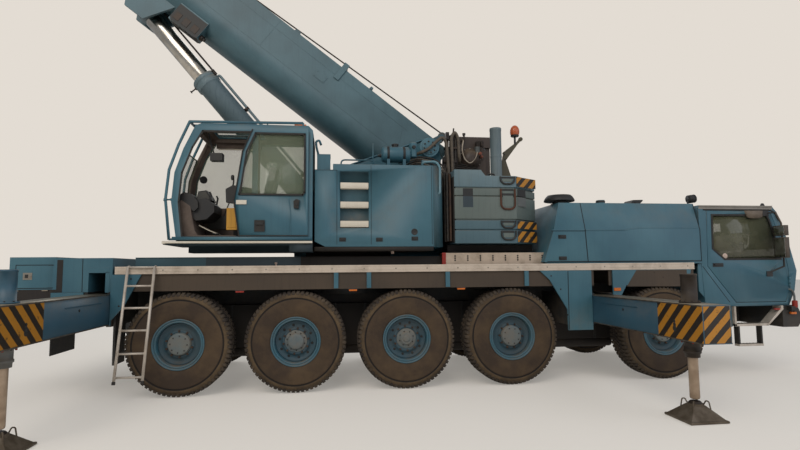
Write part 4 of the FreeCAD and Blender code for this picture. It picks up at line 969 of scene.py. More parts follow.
def addPanelLine(mesh, points, width=0.006, depth=0.0022, slot=0):
    # a shut line or seam: a thin dark strip just proud of the sheet it lies on
    for start, end in zip(points, points[1:]):
        start, end = Vector(start), Vector(end)
        way = (end - start).normalized()
        outward = panelOut(start, way)
        across = way.cross(outward).normalized() * width / 2
        lift = outward * depth
        loop = [start - across, end - across, end + across, start + across]
        addFaces(mesh, [point - lift for point in loop] + [point + lift for point in loop],
                 [(0, 1, 2, 3), (4, 5, 6, 7), (0, 1, 5, 4), (1, 2, 6, 5), (2, 3, 7, 6), (3, 0, 4, 7)],
                 slot)


def panelOut(point, way):
    outward = Vector((0, 1 if point.y > 0 else -1, 0))
    outward = outward - way * outward.dot(way)
    return outward.normalized() if outward.length > 0.01 else Vector((0, 0, 1))


def addPullHandle(mesh, place, side, width=0.11, slot=0):
    # a flush paddle handle in its dished escutcheon
    x, y, z = place
    out = side
    addPrism(mesh, [(x - width / 2, y, z - 0.03), (x + width / 2, y, z - 0.03),
                    (x + width / 2, y, z + 0.03), (x - width / 2, y, z + 0.03)],
             Vector((0, out * 0.009, 0)), slot)
    addPrism(mesh, [(x - width * 0.38, y + out * 0.008, z - 0.006),
                    (x + width * 0.36, y + out * 0.008, z - 0.006),
                    (x + width * 0.36, y + out * 0.008, z + 0.02),
                    (x - width * 0.38, y + out * 0.008, z + 0.02)],
             Vector((0, out * 0.016, 0)), slot)


seamShadow = paintedSteel("seamShadow", variant(
    blueLook, colour="#10181c", faded="#141c20", streaks=0.0, chips=0.0, roughness=0.75,
    dust=variant(roadDust, onTop=0.1, splash=0.1)))

houseLook = {"front": -1.384, "rear": 0.434, "side": 1.45, "bottom": 2.155, "top": 3.4}


houseCornerShade = paintedSteel("shadedHouseCorner", variant(
    blueLook, colour="#2c4c57", faded="#355862", streaks=0.2, chips=0.4))


def houseShadeFaces(mesh):
    # painted shade: the slanted rear corners and the openings behind the louvre get a darker blue
    for face in mesh.faces:
        middle, way = face.calc_center_median(), face.normal
        x = middle.x - shiftX
        corner = x > 0.3 and abs(middle.y) > 1.1 and way.x > 0.1 and abs(way.z) < 0.3
        pocket = -1.01 < x < -0.56 and -1.44 < middle.y < -1.3 and 2.4 < middle.z < 3.31
        if corner or pocket:
            face.material_index = 1


softenedNode("machinery_houses", "machineryHouses", [blueEnamel, houseCornerShade], 0.008,
             keep=houseShadeFaces, shortest=0.06)


def houseDoor():
    y = -houseLook["side"]
    mesh = newMesh()
    # door sheet stands 3 mm proud between its shut lines
    frontEdge, rearEdge = -1.05, 0.36
    addPanelLine(mesh, [(frontEdge, y, 2.165), (frontEdge, y, 3.3)])
    addPanelLine(mesh, [(rearEdge + 0.055, y, 2.165), (rearEdge + 0.055, y, 3.385)])
    addPanelLine(mesh, [(-1.375, y, 3.3), (frontEdge, y, 3.3)])
    addPanelLine(mesh, [(-0.53, y, 2.165), (-0.53, y, 3.385)])
    finishPiece(mesh, "houseShutLines", "superstructure", seamShadow)
    mesh = newMesh()
    for x, z in ((-0.964, 2.239), (-0.406, 2.238), (0.141, 2.253)):
        addPullHandle(mesh, (x, y, z), right, 0.1)
    addTurned(mesh, (0.138, y, 2.358), (0, -1, 0), [(0.0, 0.05), (0.004, 0.05), (0.006, 0.045),
                                                   (0.003, 0.04), (0.001, 0.001)], 0, 28)
    finishPiece(mesh, "houseHandles", "superstructure", machineBlack, bevel=0.002)


houseDoor()


def louvrePockets():
    # the three openings behind the pale slats, each with a rounded frame
    # dark plates at the back of each opening: painted shade inside the openings
    mesh = newMesh()
    y = -1.358
    for low, high in ((2.545, 2.705), (2.84, 3.0), (3.135, 3.28)):
        addBlock(mesh, (-0.995, y, low), (-0.573, y + 0.006, high))
    finishPiece(mesh, "louvreShade", "superstructure", machineBlack)
    mesh = newMesh()
    for low, high in ((2.425, 2.53), (2.721, 2.824), (3.016, 3.119)):
        profile = [(-1.362, low), (-1.44, low + 0.004), (-1.447, low + 0.02), (-1.447, high - 0.02),
                   (-1.44, high - 0.004), (-1.362, high)]
        addPrism(mesh, [(-0.999, y, z) for y, z in profile], Vector((0.43, 0, 0)))
    finishPiece(mesh, "louvreSlats", "superstructure", whiteEnamel, bevel=0.004,
                replaces=["louvre_slats"])


louvrePockets()


paleRailEnamel = paintedSteel("paleBlueRailPaint", variant(
    blueLook, colour="#5f8794", faded="#7495a0", streaks=0.2, chips=0.5, roughness=0.5))


def houseRoofFittings():
    mesh = newMesh()
    # handrail at the rear corner of the right house
    rail = [(0.285, -1.33, 3.38), (0.285, -1.42, 3.46), (0.493, -1.44, 3.466), (0.553, -1.44, 3.379),
            (0.549, -1.43, 2.95), (0.494, -1.33, 2.987)]
    addTube(mesh, roundedPath(rail, 0.05), 0.0175, 1, 14)
    addTurned(mesh, (0.285, -1.332, 3.382), (0, -0.75, 0.66), [(0, 0.032), (0.008, 0.032), (0.01, 0.0175)],
              1, 18)
    # thin marker rod that stands on the house roof
    addTube(mesh, [(-0.465, -1.0, 3.4), (-0.464, -1.0, 3.84)], 0.009, 0, 8)
    # bent breather pipe over the filter box
    path = [(-1.33, -1.1, 3.56), (-1.375, -1.1, 3.74), (-1.382, -1.1, 3.825), (-1.33, -1.1, 3.85),
            (-1.3, -1.1, 3.77)]
    addTube(mesh, roundedPath(path, 0.05, 6), 0.018, 0, 12)
    # walkway grab rail over the inner edge of the right house
    grab = [(-0.98, -0.72, 3.4), (-0.98, -0.72, 3.62), (-0.42, -0.72, 3.62), (-0.42, -0.72, 3.4)]
    addTube(mesh, roundedPath(grab, 0.07), 0.013, 0, 10)
    finishPiece(mesh, "houseRoofRails", "superstructure", [blueEnamel, paleRailEnamel])
    mesh = newMesh()
    # left house: two shut doors and hinges
    y = houseLook["side"]
    for x in (-0.75, -0.1, 0.5):
        addPanelLine(mesh, [(x, y, 2.17), (x, y, 3.38)])
    addPanelLine(mesh, [(-1.37, y, 2.17), (0.6, y, 2.17)])
    finishPiece(mesh, "farHouseLines", "superstructure", seamShadow)
    mesh = newMesh()
    for x in (-0.86, -0.2, 0.4):
        addPullHandle(mesh, (x, y, 2.32), left, 0.1)
    for x in (-0.72, -0.07):
        for z in (2.4, 3.2):
            addTurned(mesh, (x, y + 0.008, z - 0.04), (0, 0, 1), [(0, 0.009), (0.08, 0.009)], 0, 12)
    finishPiece(mesh, "farHouseFittings", "superstructure", machineBlack, bevel=0.002)


houseRoofFittings()


greyBluePost = paintedSteel("greyBluePostEnamel", variant(
    blueLook, colour="#5d6e74", faded="#6b787a", streaks=0.25, chips=0.5, roughness=0.5))


def tankAndPost():
    mesh = newMesh()
    y, z = -1.0, 3.66
    ends = [(-0.33, 0.001), (-0.33, 0.07), (-0.322, 0.1), (-0.305, 0.12), (-0.28, 0.13),
            (0.1, 0.13), (0.125, 0.12), (0.142, 0.1), (0.15, 0.07), (0.15, 0.001)]
    addTurned(mesh, (0, y, z), (1, 0, 0), ends, 0, 40)
    for x in (-0.22, 0.04):
        addTurned(mesh, (x, y, z), (1, 0, 0), [(-0.02, 0.128), (-0.018, 0.1345), (0.018, 0.1345),
                                               (0.02, 0.128)], 1, 40)
    for x in (-0.22, 0.04):
        addBlock(mesh, (x - 0.025, y - 0.1, 3.402), (x + 0.025, y + 0.1, 3.57), 0)
    addTurned(mesh, (-0.1, y, z), (0, 0, 1), [(0.12, 0.05), (0.15, 0.05), (0.152, 0.058),
                                              (0.172, 0.058), (0.176, 0.05)], 1, 20)
    addTurned(mesh, (-0.33, y, z - 0.02), (-1, 0, 0), [(-0.01, 0.03), (0.03, 0.03), (0.032, 0.018),
                                                      (0.06, 0.018)], 1, 12)
    # filter box on the front house
    addBlock(mesh, (-1.355, -1.347, 3.313), (-1.152, -1.053, 3.56), 0)
    addBlock(mesh, (-1.358, -1.35, 3.555), (-1.149, -1.05, 3.5695), 0)
    # valve body on the tank's rear end
    addTurned(mesh, (0.2, y, 3.7), (0, 0, 1), [(-0.08, 0.05), (-0.07, 0.058), (0.08, 0.058), (0.1, 0.066),
                                               (0.15, 0.066), (0.17, 0.05), (0.178, 0.001)], 0, 24)
    addTube(mesh, [(0.14, y, 3.72), (0.2, y, 3.72)], 0.04, 0, 14)
    addTurned(mesh, (0.2, y - 0.05, 3.78), (0.3, -1, 0), [(0, 0.03), (0.03, 0.03), (0.034, 0.02)], 1, 14)
    # round exhaust post on the counterweight, with a rolled rim
    addTurned(mesh, (1.645, -0.9, 3.2625), (0, 0, 1),
              [(0, 0.1), (0.02, 0.1), (0.024, 0.0965), (0.4, 0.0965), (0.404, 0.0995), (0.43, 0.0995),
               (0.434, 0.0965), (0.86, 0.0965), (0.866, 0.1), (0.905, 0.1), (0.912, 0.097),
               (0.912, 0.088), (0.86, 0.085)], 2, 48)
    finishPiece(mesh, "tankAndPost", "superstructure", [blueEnamel, machineBlack, greyBluePost], bevel=0.004,
                replaces=["tanks_and_filters"])


tankAndPost()
print("stage: machinery houses ready")


# counterweight: slabs with their lifting loops, location notches and striped rear corners

slabs = [(2.18, 2.385), (2.405, 2.545), (2.567, 2.927), (2.94, 3.055), (3.078, 3.262)]
weight = {"front": 0.79, "rear": 2.27, "half": 1.4, "chamfer": 1.8, "rearHalf": 1.1}


def weightOutline(shrink=0.0):
    half, rearHalf = weight["half"] - shrink, weight["rearHalf"] - shrink
    return [(weight["front"] + shrink, -half), (weight["chamfer"] - shrink, -half),
            (weight["rear"] - shrink, -rearHalf), (weight["rear"] - shrink, rearHalf),
            (weight["chamfer"] - shrink, half), (weight["front"] + shrink, half)]


chamferWay = Vector((weight["rear"] - weight["chamfer"], weight["half"] - weight["rearHalf"], 0))
chamferLength = chamferWay.length
chamferWay.normalize()


def onChamfer(share, z, side, lift=0.0):
    # a point on the slanted rear corner, share 0 at its front edge and 1 at the tail
    x = weight["chamfer"] + (weight["rear"] - weight["chamfer"]) * share
    y = weight["half"] - (weight["half"] - weight["rearHalf"]) * share
    outward = Vector((weight["half"] - weight["rearHalf"], weight["rear"] - weight["chamfer"], 0))
    outward = outward.normalized() * lift
    return Vector((x + outward.x, side * (y + outward.y), z))


weightGrey = paintedSteel("greyBrownIronPaint", variant(
    blueLook, colour="#596662", faded="#66706b", streaks=0.3, streakColour="#4a4a44", chips=0.9,
    primer="#74503c", roughness=0.55))
weightBlue = paintedSteel("touchedUpIronPaint", variant(
    blueLook, colour="#44606a", faded="#4f6a72", streaks=0.2, chips=0.8, primer="#7a4a33", roughness=0.5))
rustyLoop = castMetal("rustyLiftingLoop", {"colour": "#4b2f22", "second": "#5c3a29", "metallic": 0.2,
                                           "roughness": 0.75, "bump": 0.4})
loopSpan = (1.545, 1.777)
# lower and upper end of each lifting loop, and whether it has gone rusty
liftingLoops = [(3.13, 3.25, False), (2.725, 3.05, True), (2.425, 2.54, False), (2.238, 2.378, False)]


def counterweightDetail(side):
    name = "Right" if side == right else "Left"
    mesh = newMesh()
    # hazard stripes as flat plates on the slanted corner
    for low, high in ((3.095, 3.25), (2.2, 2.375), (2.415, 2.535)):
        corners = [(0.03, low), (0.93, low), (0.93, high), (0.03, high)]
        near = [onChamfer(share, z, side, 0.0005) for share, z in corners]
        far = [onChamfer(share, z, side, 0.006) for share, z in corners]
        addFaces(mesh, near + far, [(0, 1, 2, 3), (4, 5, 6, 7), (0, 1, 5, 4), (1, 2, 6, 5),
                                    (2, 3, 7, 6), (3, 0, 4, 7)])
    finishPiece(mesh, "tailStripes" + name, "superstructure", stripesForward, bevel=0.0015)
    mesh = newMesh()
    y = weight["half"]
    x0, x1 = loopSpan
    # lifting loops: bent bar round a stop plate, in a shaded hollow at its upper end
    for low, high, rusty in liftingLoops:
        addBlock(mesh, *sortedCorners((x0 + 0.02, side * (y - 0.01), high - 0.032),
                                      (x1 - 0.02, side * (y + 0.0025), high)), 1)
        bar = [(x0, side * (y + 0.008), high), (x0, side * (y + 0.012), low + 0.05),
               (x0 + 0.05, side * (y + 0.012), low), (x1 - 0.05, side * (y + 0.012), low),
               (x1, side * (y + 0.012), low + 0.05), (x1, side * (y + 0.008), high)]
        addTube(mesh, roundedPath(bar, 0.04, 5), 0.0155, 2 if rusty else 1, 12)
        addBlock(mesh, *sortedCorners((x0 + 0.032, side * (y - 0.01), low + 0.035),
                                      (x1 - 0.032, side * (y + 0.006), high - 0.034)), 0)
    addBlock(mesh, *sortedCorners((x0 + 0.02, side * (y - 0.01), 2.942), (x1 - 0.02, side * (y + 0.009), 2.978)), 1)
    # location notches where the slabs key into each other, shaded at the top
    for low, high, slot in ((2.927, 3.052, 1), (2.752, 2.927, 3)):
        addBlock(mesh, *sortedCorners((0.926, side * (y + 0.0015), low), (1.09, side * (y - 0.03), high)), slot)
    for low, high, slot in ((2.935, 3.05, 1), (2.775, 2.925, 4)):
        corners = [(0.08, low), (0.44, low), (0.44, high), (0.08, high)]
        near = [onChamfer(share, z, side, -0.01) for share, z in corners]
        far = [onChamfer(share, z, side, 0.002) for share, z in corners]
        addFaces(mesh, near + far, [(0, 1, 2, 3), (4, 5, 6, 7), (0, 1, 5, 4), (1, 2, 6, 5),
                                    (2, 3, 7, 6), (3, 0, 4, 7)], slot)
    finishPiece(mesh, "slabLoops" + name, "superstructure",
                [weightGrey, machineBlack, rustyLoop, deckEnamel, greyEnamel], bevel=0.002)


slabStack = softenedNode("counterweight", "counterweightSlabs", [weightEnamel, weightGrey, weightBlue], 0.009,
                         segments=2)
for face in slabStack.data.polygons:
    # slabs from two crews: the middle ones grey, the two lowest touched up in blue
    height = face.center.z
    face.material_index = 1 if 2.555 < height < 3.067 else 2 if height < 2.555 else 0
onBothSides(counterweightDetail)


def slabPins():
    # locking pins and lifting eyes on the top slab
    mesh = newMesh()
    for side in (right, left):
        for x in (1.12, 2.02):
            addTurned(mesh, (x, side * 0.8, 3.262), (0, 0, 1), [(0, 0.06), (0.012, 0.06), (0.014, 0.03),
                                                                (0.05, 0.03), (0.055, 0.02)], 0, 18)
        eye = [(1.42, side * 1.12, 3.262), (1.42, side * 1.12, 3.34), (1.54, side * 1.12, 3.34),
               (1.54, side * 1.12, 3.262)]
        addTube(mesh, roundedPath(eye, 0.05, 5), 0.014, 0, 12)
        addBlock(mesh, (0.82, side * 1.36, 3.356), (1.2, side * 0.72, 3.364), 0)
    finishPiece(mesh, "slabPins", "superstructure", machineBlack, bevel=0.003)


slabPins()


def tailShade():
    # pipes in front of the slabs, a dark plate of painted shade over the slabs' front face, pan under the tail
    mesh = newMesh()
    addBlock(mesh, (0.775, -1.385, 2.2), (0.7885, 1.385, 3.24), 0)
    addBlock(mesh, (0.75, -1.0, 2.062), (2.2, 1.0, 2.172), 0)
    for side in (right, left):
        for i, (x, y, thick) in enumerate(((0.735, 1.34, 0.016), (0.7, 1.29, 0.02), (0.74, 1.22, 0.014),
                                           (0.69, 1.15, 0.02), (0.735, 1.06, 0.018))):
            path = [(x, side * y, 2.22), (x, side * y, 3.1 + 0.03 * i), (x + 0.02, side * (y - 0.1), 3.3 + 0.02 * i),
                    (x + 0.1, side * (y - 0.4), 3.36 + 0.02 * i)]
            addTube(mesh, roundedPath(path, 0.08, 4), thick, 1 + i % 2, 10)
    finishPiece(mesh, "tailPipes", "superstructure", [sootAndShadePaint, rustySteel, hoseRubber], bevel=0.003)
    mesh = newMesh()
    # pale plug of the cable that hangs under the house
    addBlock(mesh, (-0.2, -1.222, 2.026), (-0.156, -1.18, 2.086), 0)
    addBlock(mesh, (-0.192, -1.214, 2.084), (-0.164, -1.188, 2.17), 1)
    finishPiece(mesh, "cablePlug", "superstructure", [palePlastic, machineBlack], bevel=0.003)


tailShade()
print("stage: counterweight ready")


# padded seats

padLook = {"voxel": 0.012, "swell": 0.014, "cap": 0.022, "steps": 20, "pressure": 4.0}


def roundedPad(size, channels):
    # a stuffed block lying at the origin: rounded edges, crowned top, sewn channels across it
    width, depth, height = (value - 2 * padLook["swell"] for value in size)
    mesh = newMesh()
    addBlock(mesh, (-width / 2, -depth / 2, -height / 2), (width / 2, depth / 2, height / 2))
    bmesh.ops.recalc_face_normals(mesh, faces=mesh.faces)
    bmesh.ops.bevel(mesh, geom=list(mesh.edges), offset=height * 0.3, segments=4, profile=0.6,
                    affect="EDGES")
    piece = bpy.data.objects.new("padShape", bpy.data.meshes.new("padShape"))
    mesh.to_mesh(piece.data)
    mesh.free()
    bpy.context.scene.collection.objects.link(piece)
    blocks = piece.modifiers.new("blocks", "REMESH")
    blocks.mode = "VOXEL"
    blocks.voxel_size = padLook["voxel"]
    piece = applied(piece)
    blownUp(piece)
    for vertex in piece.data.vertices:
        place = vertex.co
        across = max(0.0, 1 - (2 * place.x / width) ** 2) * max(0.0, 1 - (2 * place.y / depth) ** 2)
        if place.z > 0:
            place.z += 0.018 * across
            for spot in channels:
                place.z -= 0.012 * math.exp(-((place.x / width - spot) / 0.018) ** 2)
    return piece.data


def blownUp(piece):
    # air pressure inside a cloth skin, held to a cap so that no pad meets its neighbour
    scene = bpy.context.scene
    start = [vertex.co.copy() for vertex in piece.data.vertices]
    cloth = piece.modifiers.new("skin", "CLOTH")
    cloth.settings.use_pressure = True
    cloth.settings.uniform_pressure_force = padLook["pressure"]
    cloth.settings.effector_weights.gravity = 0.0
    cloth.point_cache.frame_end = padLook["steps"]
    for step in range(1, padLook["steps"] + 1):
        scene.frame_set(step)
    seen = piece.evaluated_get(bpy.context.evaluated_depsgraph_get())
    moved = [vertex.co.copy() for vertex in seen.data.vertices]
    piece.modifiers.clear()
    for vertex, before, after in zip(piece.data.vertices, start, moved):
        way = after - before
        if way.length > padLook["cap"]:
            way = way.normalized() * padLook["cap"]
        vertex.co = before + way
    scene.frame_set(1)


def paddedPiece(name, body, size, place, tilt, cloth, replaces, channels=(-0.25, 0.0, 0.25)):
    data = roundedPad(size, channels)
    data.transform(Matrix.Translation(at(*place)) @ Matrix.Rotation(math.radians(tilt), 4, "Y"))
    data.materials.append(cloth)
    for face in data.polygons:
        face.use_smooth = True
    old = bpy.data.objects["padShape"]
    old.name = name
    old.data.name = name
    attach(old, body)
    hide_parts(replaces)
    return old


# operator's cab

opCab = {"right": -1.5, "left": -0.64, "floor": 2.26, "roof": 3.967, "wall": 0.045, "middle": -1.07}
opOutline = [(-3.354, 2.215), (-3.44, 2.785), (-3.405, 3.221), (-3.29, 3.575), (-3.128, 3.93),
             (-3.04, 3.967), (-1.48, 3.967), (-1.415, 3.9), (-1.415, 2.215)]


def depthInside(outline, x, z):
    # how far a point lies inside the convex side outline
    depth = 9.0
    for (ax, az), (bx, bz) in zip(outline, outline[1:] + outline[:1]):
        length = math.hypot(bx - ax, bz - az)
        depth = min(depth, abs((bx - ax) * (z - az) - (bz - az) * (x - ax)) / length)
    return depth


def liningFaces(mesh):
    # faces of the shell that look into the cab get the lining
    for face in mesh.faces:
        middle = face.calc_center_median()
        x = middle.x - shiftX
        inside = opCab["right"] + 0.04 < middle.y < opCab["left"] - 0.04
        if inside and -3.4 < x < -1.45 and depthInside(opOutline, x, middle.z) > 0.04:
            face.material_index = 1


softenedNode("operator_cab", "operatorCabShell", [blueEnamel, brownLining], 0.008, keep=liningFaces,
             shortest=0.05)


def paneFaces(mesh):
    # the pane lies 15 to 21 mm behind the door's outer face
    outer = min(vertex.co.y for vertex in mesh.verts)
    for face in mesh.faces:
        if all(outer + 0.0145 < vertex.co.y < outer + 0.0215 for vertex in face.verts):
            face.material_index = 1


softenedNode("cab_door", "operatorDoor", [blueEnamel, tintedGlass], 0.005, keep=paneFaces, shortest=0.05)


def rubberStrip(mesh, path, y, width=0.022, depth=0.007, slot=0, closed=False):
    # window rubber: a flat bead that follows the edge of an opening
    points = [Vector((x, y, z)) for x, z in path]
    if closed:
        points.append(points[0])
    for first, after in zip(points, points[1:]):
        way = (after - first).normalized()
        across = Vector((-way.z, 0, way.x)) * width / 2
        ends = (first - way * width * 0.35, after + way * width * 0.35)
        loop = [ends[0] - across, ends[1] - across, ends[1] + across, ends[0] + across]
        addPrism(mesh, loop, Vector((0, -depth if y < 0 else depth, 0)), slot)


def operatorDoorDetail():
    mesh = newMesh()
    y = -1.5595
    window = [(-2.25, 3.82), (-2.375, 3.54), (-2.44, 3.06), (-2.475, 2.9), (-1.56, 2.9), (-1.53, 2.94),
              (-1.53, 3.82)]
    rubberStrip(mesh, window, y + 0.0005, 0.026, 0.006, 0, True)
    edge = [(-2.298, 3.875), (-2.437, 3.54), (-2.507, 3.06), (-2.55, 2.814), (-2.467, 2.285)]
    rubberStrip(mesh, edge, y + 0.012, 0.016, 0.016)
    rubberStrip(mesh, [(-2.46, 2.292), (-1.48, 2.292)], y + 0.01, 0.014, 0.012)
    # handle in its deep black bezel, and the catch at the rear edge
    frameOutline = [(-2.25, 2.35), (-2.1, 2.35), (-2.1, 2.52), (-2.25, 2.52)]
    addPrism(mesh, [(x, y + 0.001, z) for x, z in frameOutline], Vector((0, -0.008, 0)))
    addPrism(mesh, [(-2.225, y - 0.006, 2.45), (-2.125, y - 0.006, 2.45), (-2.125, y - 0.006, 2.49),
                    (-2.225, y - 0.006, 2.49)], Vector((0, -0.02, 0)), 1)
    catch = [(-1.685, 2.7), (-1.615, 2.69), (-1.6, 2.82), (-1.655, 2.835), (-1.69, 2.8)]
    addPrism(mesh, [(x, y + 0.001, z) for x, z in catch], Vector((0, -0.018, 0)))
    addTube(mesh, [(-1.645, y - 0.014, 2.76), (-1.645, y - 0.024, 2.76)], 0.018, 1, 12)
    finishPiece(mesh, "operatorDoorTrim", "cab_door", [blackRubber, machineBlack], bevel=0.0015)
    mesh = newMesh()
    addPrism(mesh, [(-2.515, y + 0.001, 2.752), (-2.366, y + 0.001, 2.752), (-2.366, y + 0.001, 2.815),
                    (-2.515, y + 0.001, 2.815)], Vector((0, -0.003, 0)))
    finishPiece(mesh, "blankSticker", "cab_door", whiteEnamel)
    mesh = newMesh()
    # folded edge down the rear of the sheet
    addPrism(mesh, [(-1.735, y + 0.001, 2.3), (-1.727, y + 0.001, 2.3), (-1.727, y + 0.001, 2.62),
                    (-1.76, y + 0.001, 2.86), (-1.768, y + 0.001, 2.86), (-1.735, y + 0.001, 2.62)],
             Vector((0, -0.003, 0)))
    finishPiece(mesh, "operatorDoorFold", "cab_door", blueEnamel)


operatorDoorDetail()


def operatorCabTrim():
    mesh = newMesh()
    # black seal round the doorway, on the shell's own face
    doorway = [(-3.275, 2.275), (-3.335, 2.786), (-3.298, 3.223), (-3.162, 3.6), (-3.021, 3.85),
               (-2.3, 3.85), (-2.3, 2.275)]
    rubberStrip(mesh, doorway[:6], -1.4985, 0.024, 0.006)
    rubberStrip(mesh, [(-3.27, 2.272), (-2.5, 2.272)], -1.4985, 0.03, 0.006)
    glassLeft = [(-3.27, 2.5), (-3.335, 2.786), (-3.298, 3.223), (-3.162, 3.6), (-3.021, 3.85),
                 (-1.5, 3.85), (-1.5, 2.9), (-2.5, 2.9), (-2.5, 2.5)]
    rubberStrip(mesh, glassLeft, -0.6415, 0.026, 0.006, 0, True)
    # screen seal, on the curved front
    front = [(-3.362, 2.3), (-3.442, 2.785), (-3.408, 3.221), (-3.3, 3.56)]
    for y in (-1.432, -0.708):
        addTube(mesh, [(x, y, z) for x, z in front], 0.011, 0, 8)
    for x, z in (front[0], front[-1]):
        addTube(mesh, [(x, -1.43, z), (x, -0.71, z)], 0.011, 0, 8)
    # wiper arm with its blade
    addTube(mesh, [(-3.4, -1.33, 2.42), (-3.462, -1.2, 2.79), (-3.458, -1.05, 2.98)], 0.008, 0, 8)
    addTube(mesh, [(-3.462, -1.12, 2.66), (-3.452, -1.02, 3.14)], 0.011, 0, 6)
    addTurned(mesh, (-3.388, -1.33, 2.42), (-1, 0, 0), [(-0.01, 0.022), (0.015, 0.022), (0.02, 0.012)], 0, 14)
    # rear window's seal
    for low, high in (((-1.418, -1.37, 2.99), (-1.408, -0.77, 3.01)),
                      ((-1.418, -1.37, 3.79), (-1.408, -0.77, 3.81)),
                      ((-1.418, -1.38, 2.99), (-1.408, -1.36, 3.81)),
                      ((-1.418, -0.78, 2.99), (-1.408, -0.76, 3.81))):
        addBlock(mesh, low, high)
    # seal round the roof light
    for low, high in (((-2.97, -1.4, 3.964), (-2.18, -1.375, 3.976)), ((-2.97, -0.765, 3.964), (-2.18, -0.74, 3.976)),
                      ((-2.97, -1.4, 3.964), (-2.945, -0.74, 3.976)), ((-2.205, -1.4, 3.964), (-2.18, -0.74, 3.976))):
        addBlock(mesh, low, high)
    finishPiece(mesh, "operatorCabSeals", "superstructure", blackRubber, bevel=0.0012)
    mesh = newMesh()
    # bars of the roof guard, clips on the front pipes
    for y in (-1.29, -1.07, -0.85):
        addTube(mesh, [(-3.21, y, 3.992), (-1.6, y, 4.006)], 0.009, 0, 8)
    for x in (-3.0, -2.1):
        addTube(mesh, [(x, -1.48, 4.0), (x, -0.66, 4.0)], 0.009, 0, 8)
    for y in (-1.48, -0.66):
        addTurned(mesh, (-3.514, y, 2.82), (1, 0, 0.05), [(-0.005, 0.012), (0.055, 0.012), (0.06, 0.02),
                                                        (0.085, 0.02)], 0, 10)
        addTurned(mesh, (-3.527, y, 2.8), (0.1, 0, 1), [(0, 0.0245), (0.04, 0.0245)], 0, 16)
    finishPiece(mesh, "cabGuardBars", "superstructure", blueEnamel)
    mesh = newMesh()
    # rounded lip of the walkway plate below the door
    addBlock(mesh, (-3.535, -1.545, 2.182), (-1.411, -1.497, 2.214), 0)
    addBlock(mesh, (-3.537, -1.548, 2.176), (-3.49, -1.49, 2.216), 0)
    finishPiece(mesh, "cabStepEdge", "superstructure", whiteEnamel, bevel=0.006, segments=3)
    mesh = newMesh()
    # hooded lamp on the roof, amber strip
    addBlock(mesh, (-1.72, -1.4, 3.966), (-1.5, -1.3, 3.99), 0)
    addBlock(mesh, (-1.7, -1.39, 3.988), (-1.52, -1.31, 4.02), 1)
    finishPiece(mesh, "cabRoofLamp", "superstructure", [machineBlack, amberLens], bevel=0.008, segments=3)


operatorCabTrim()


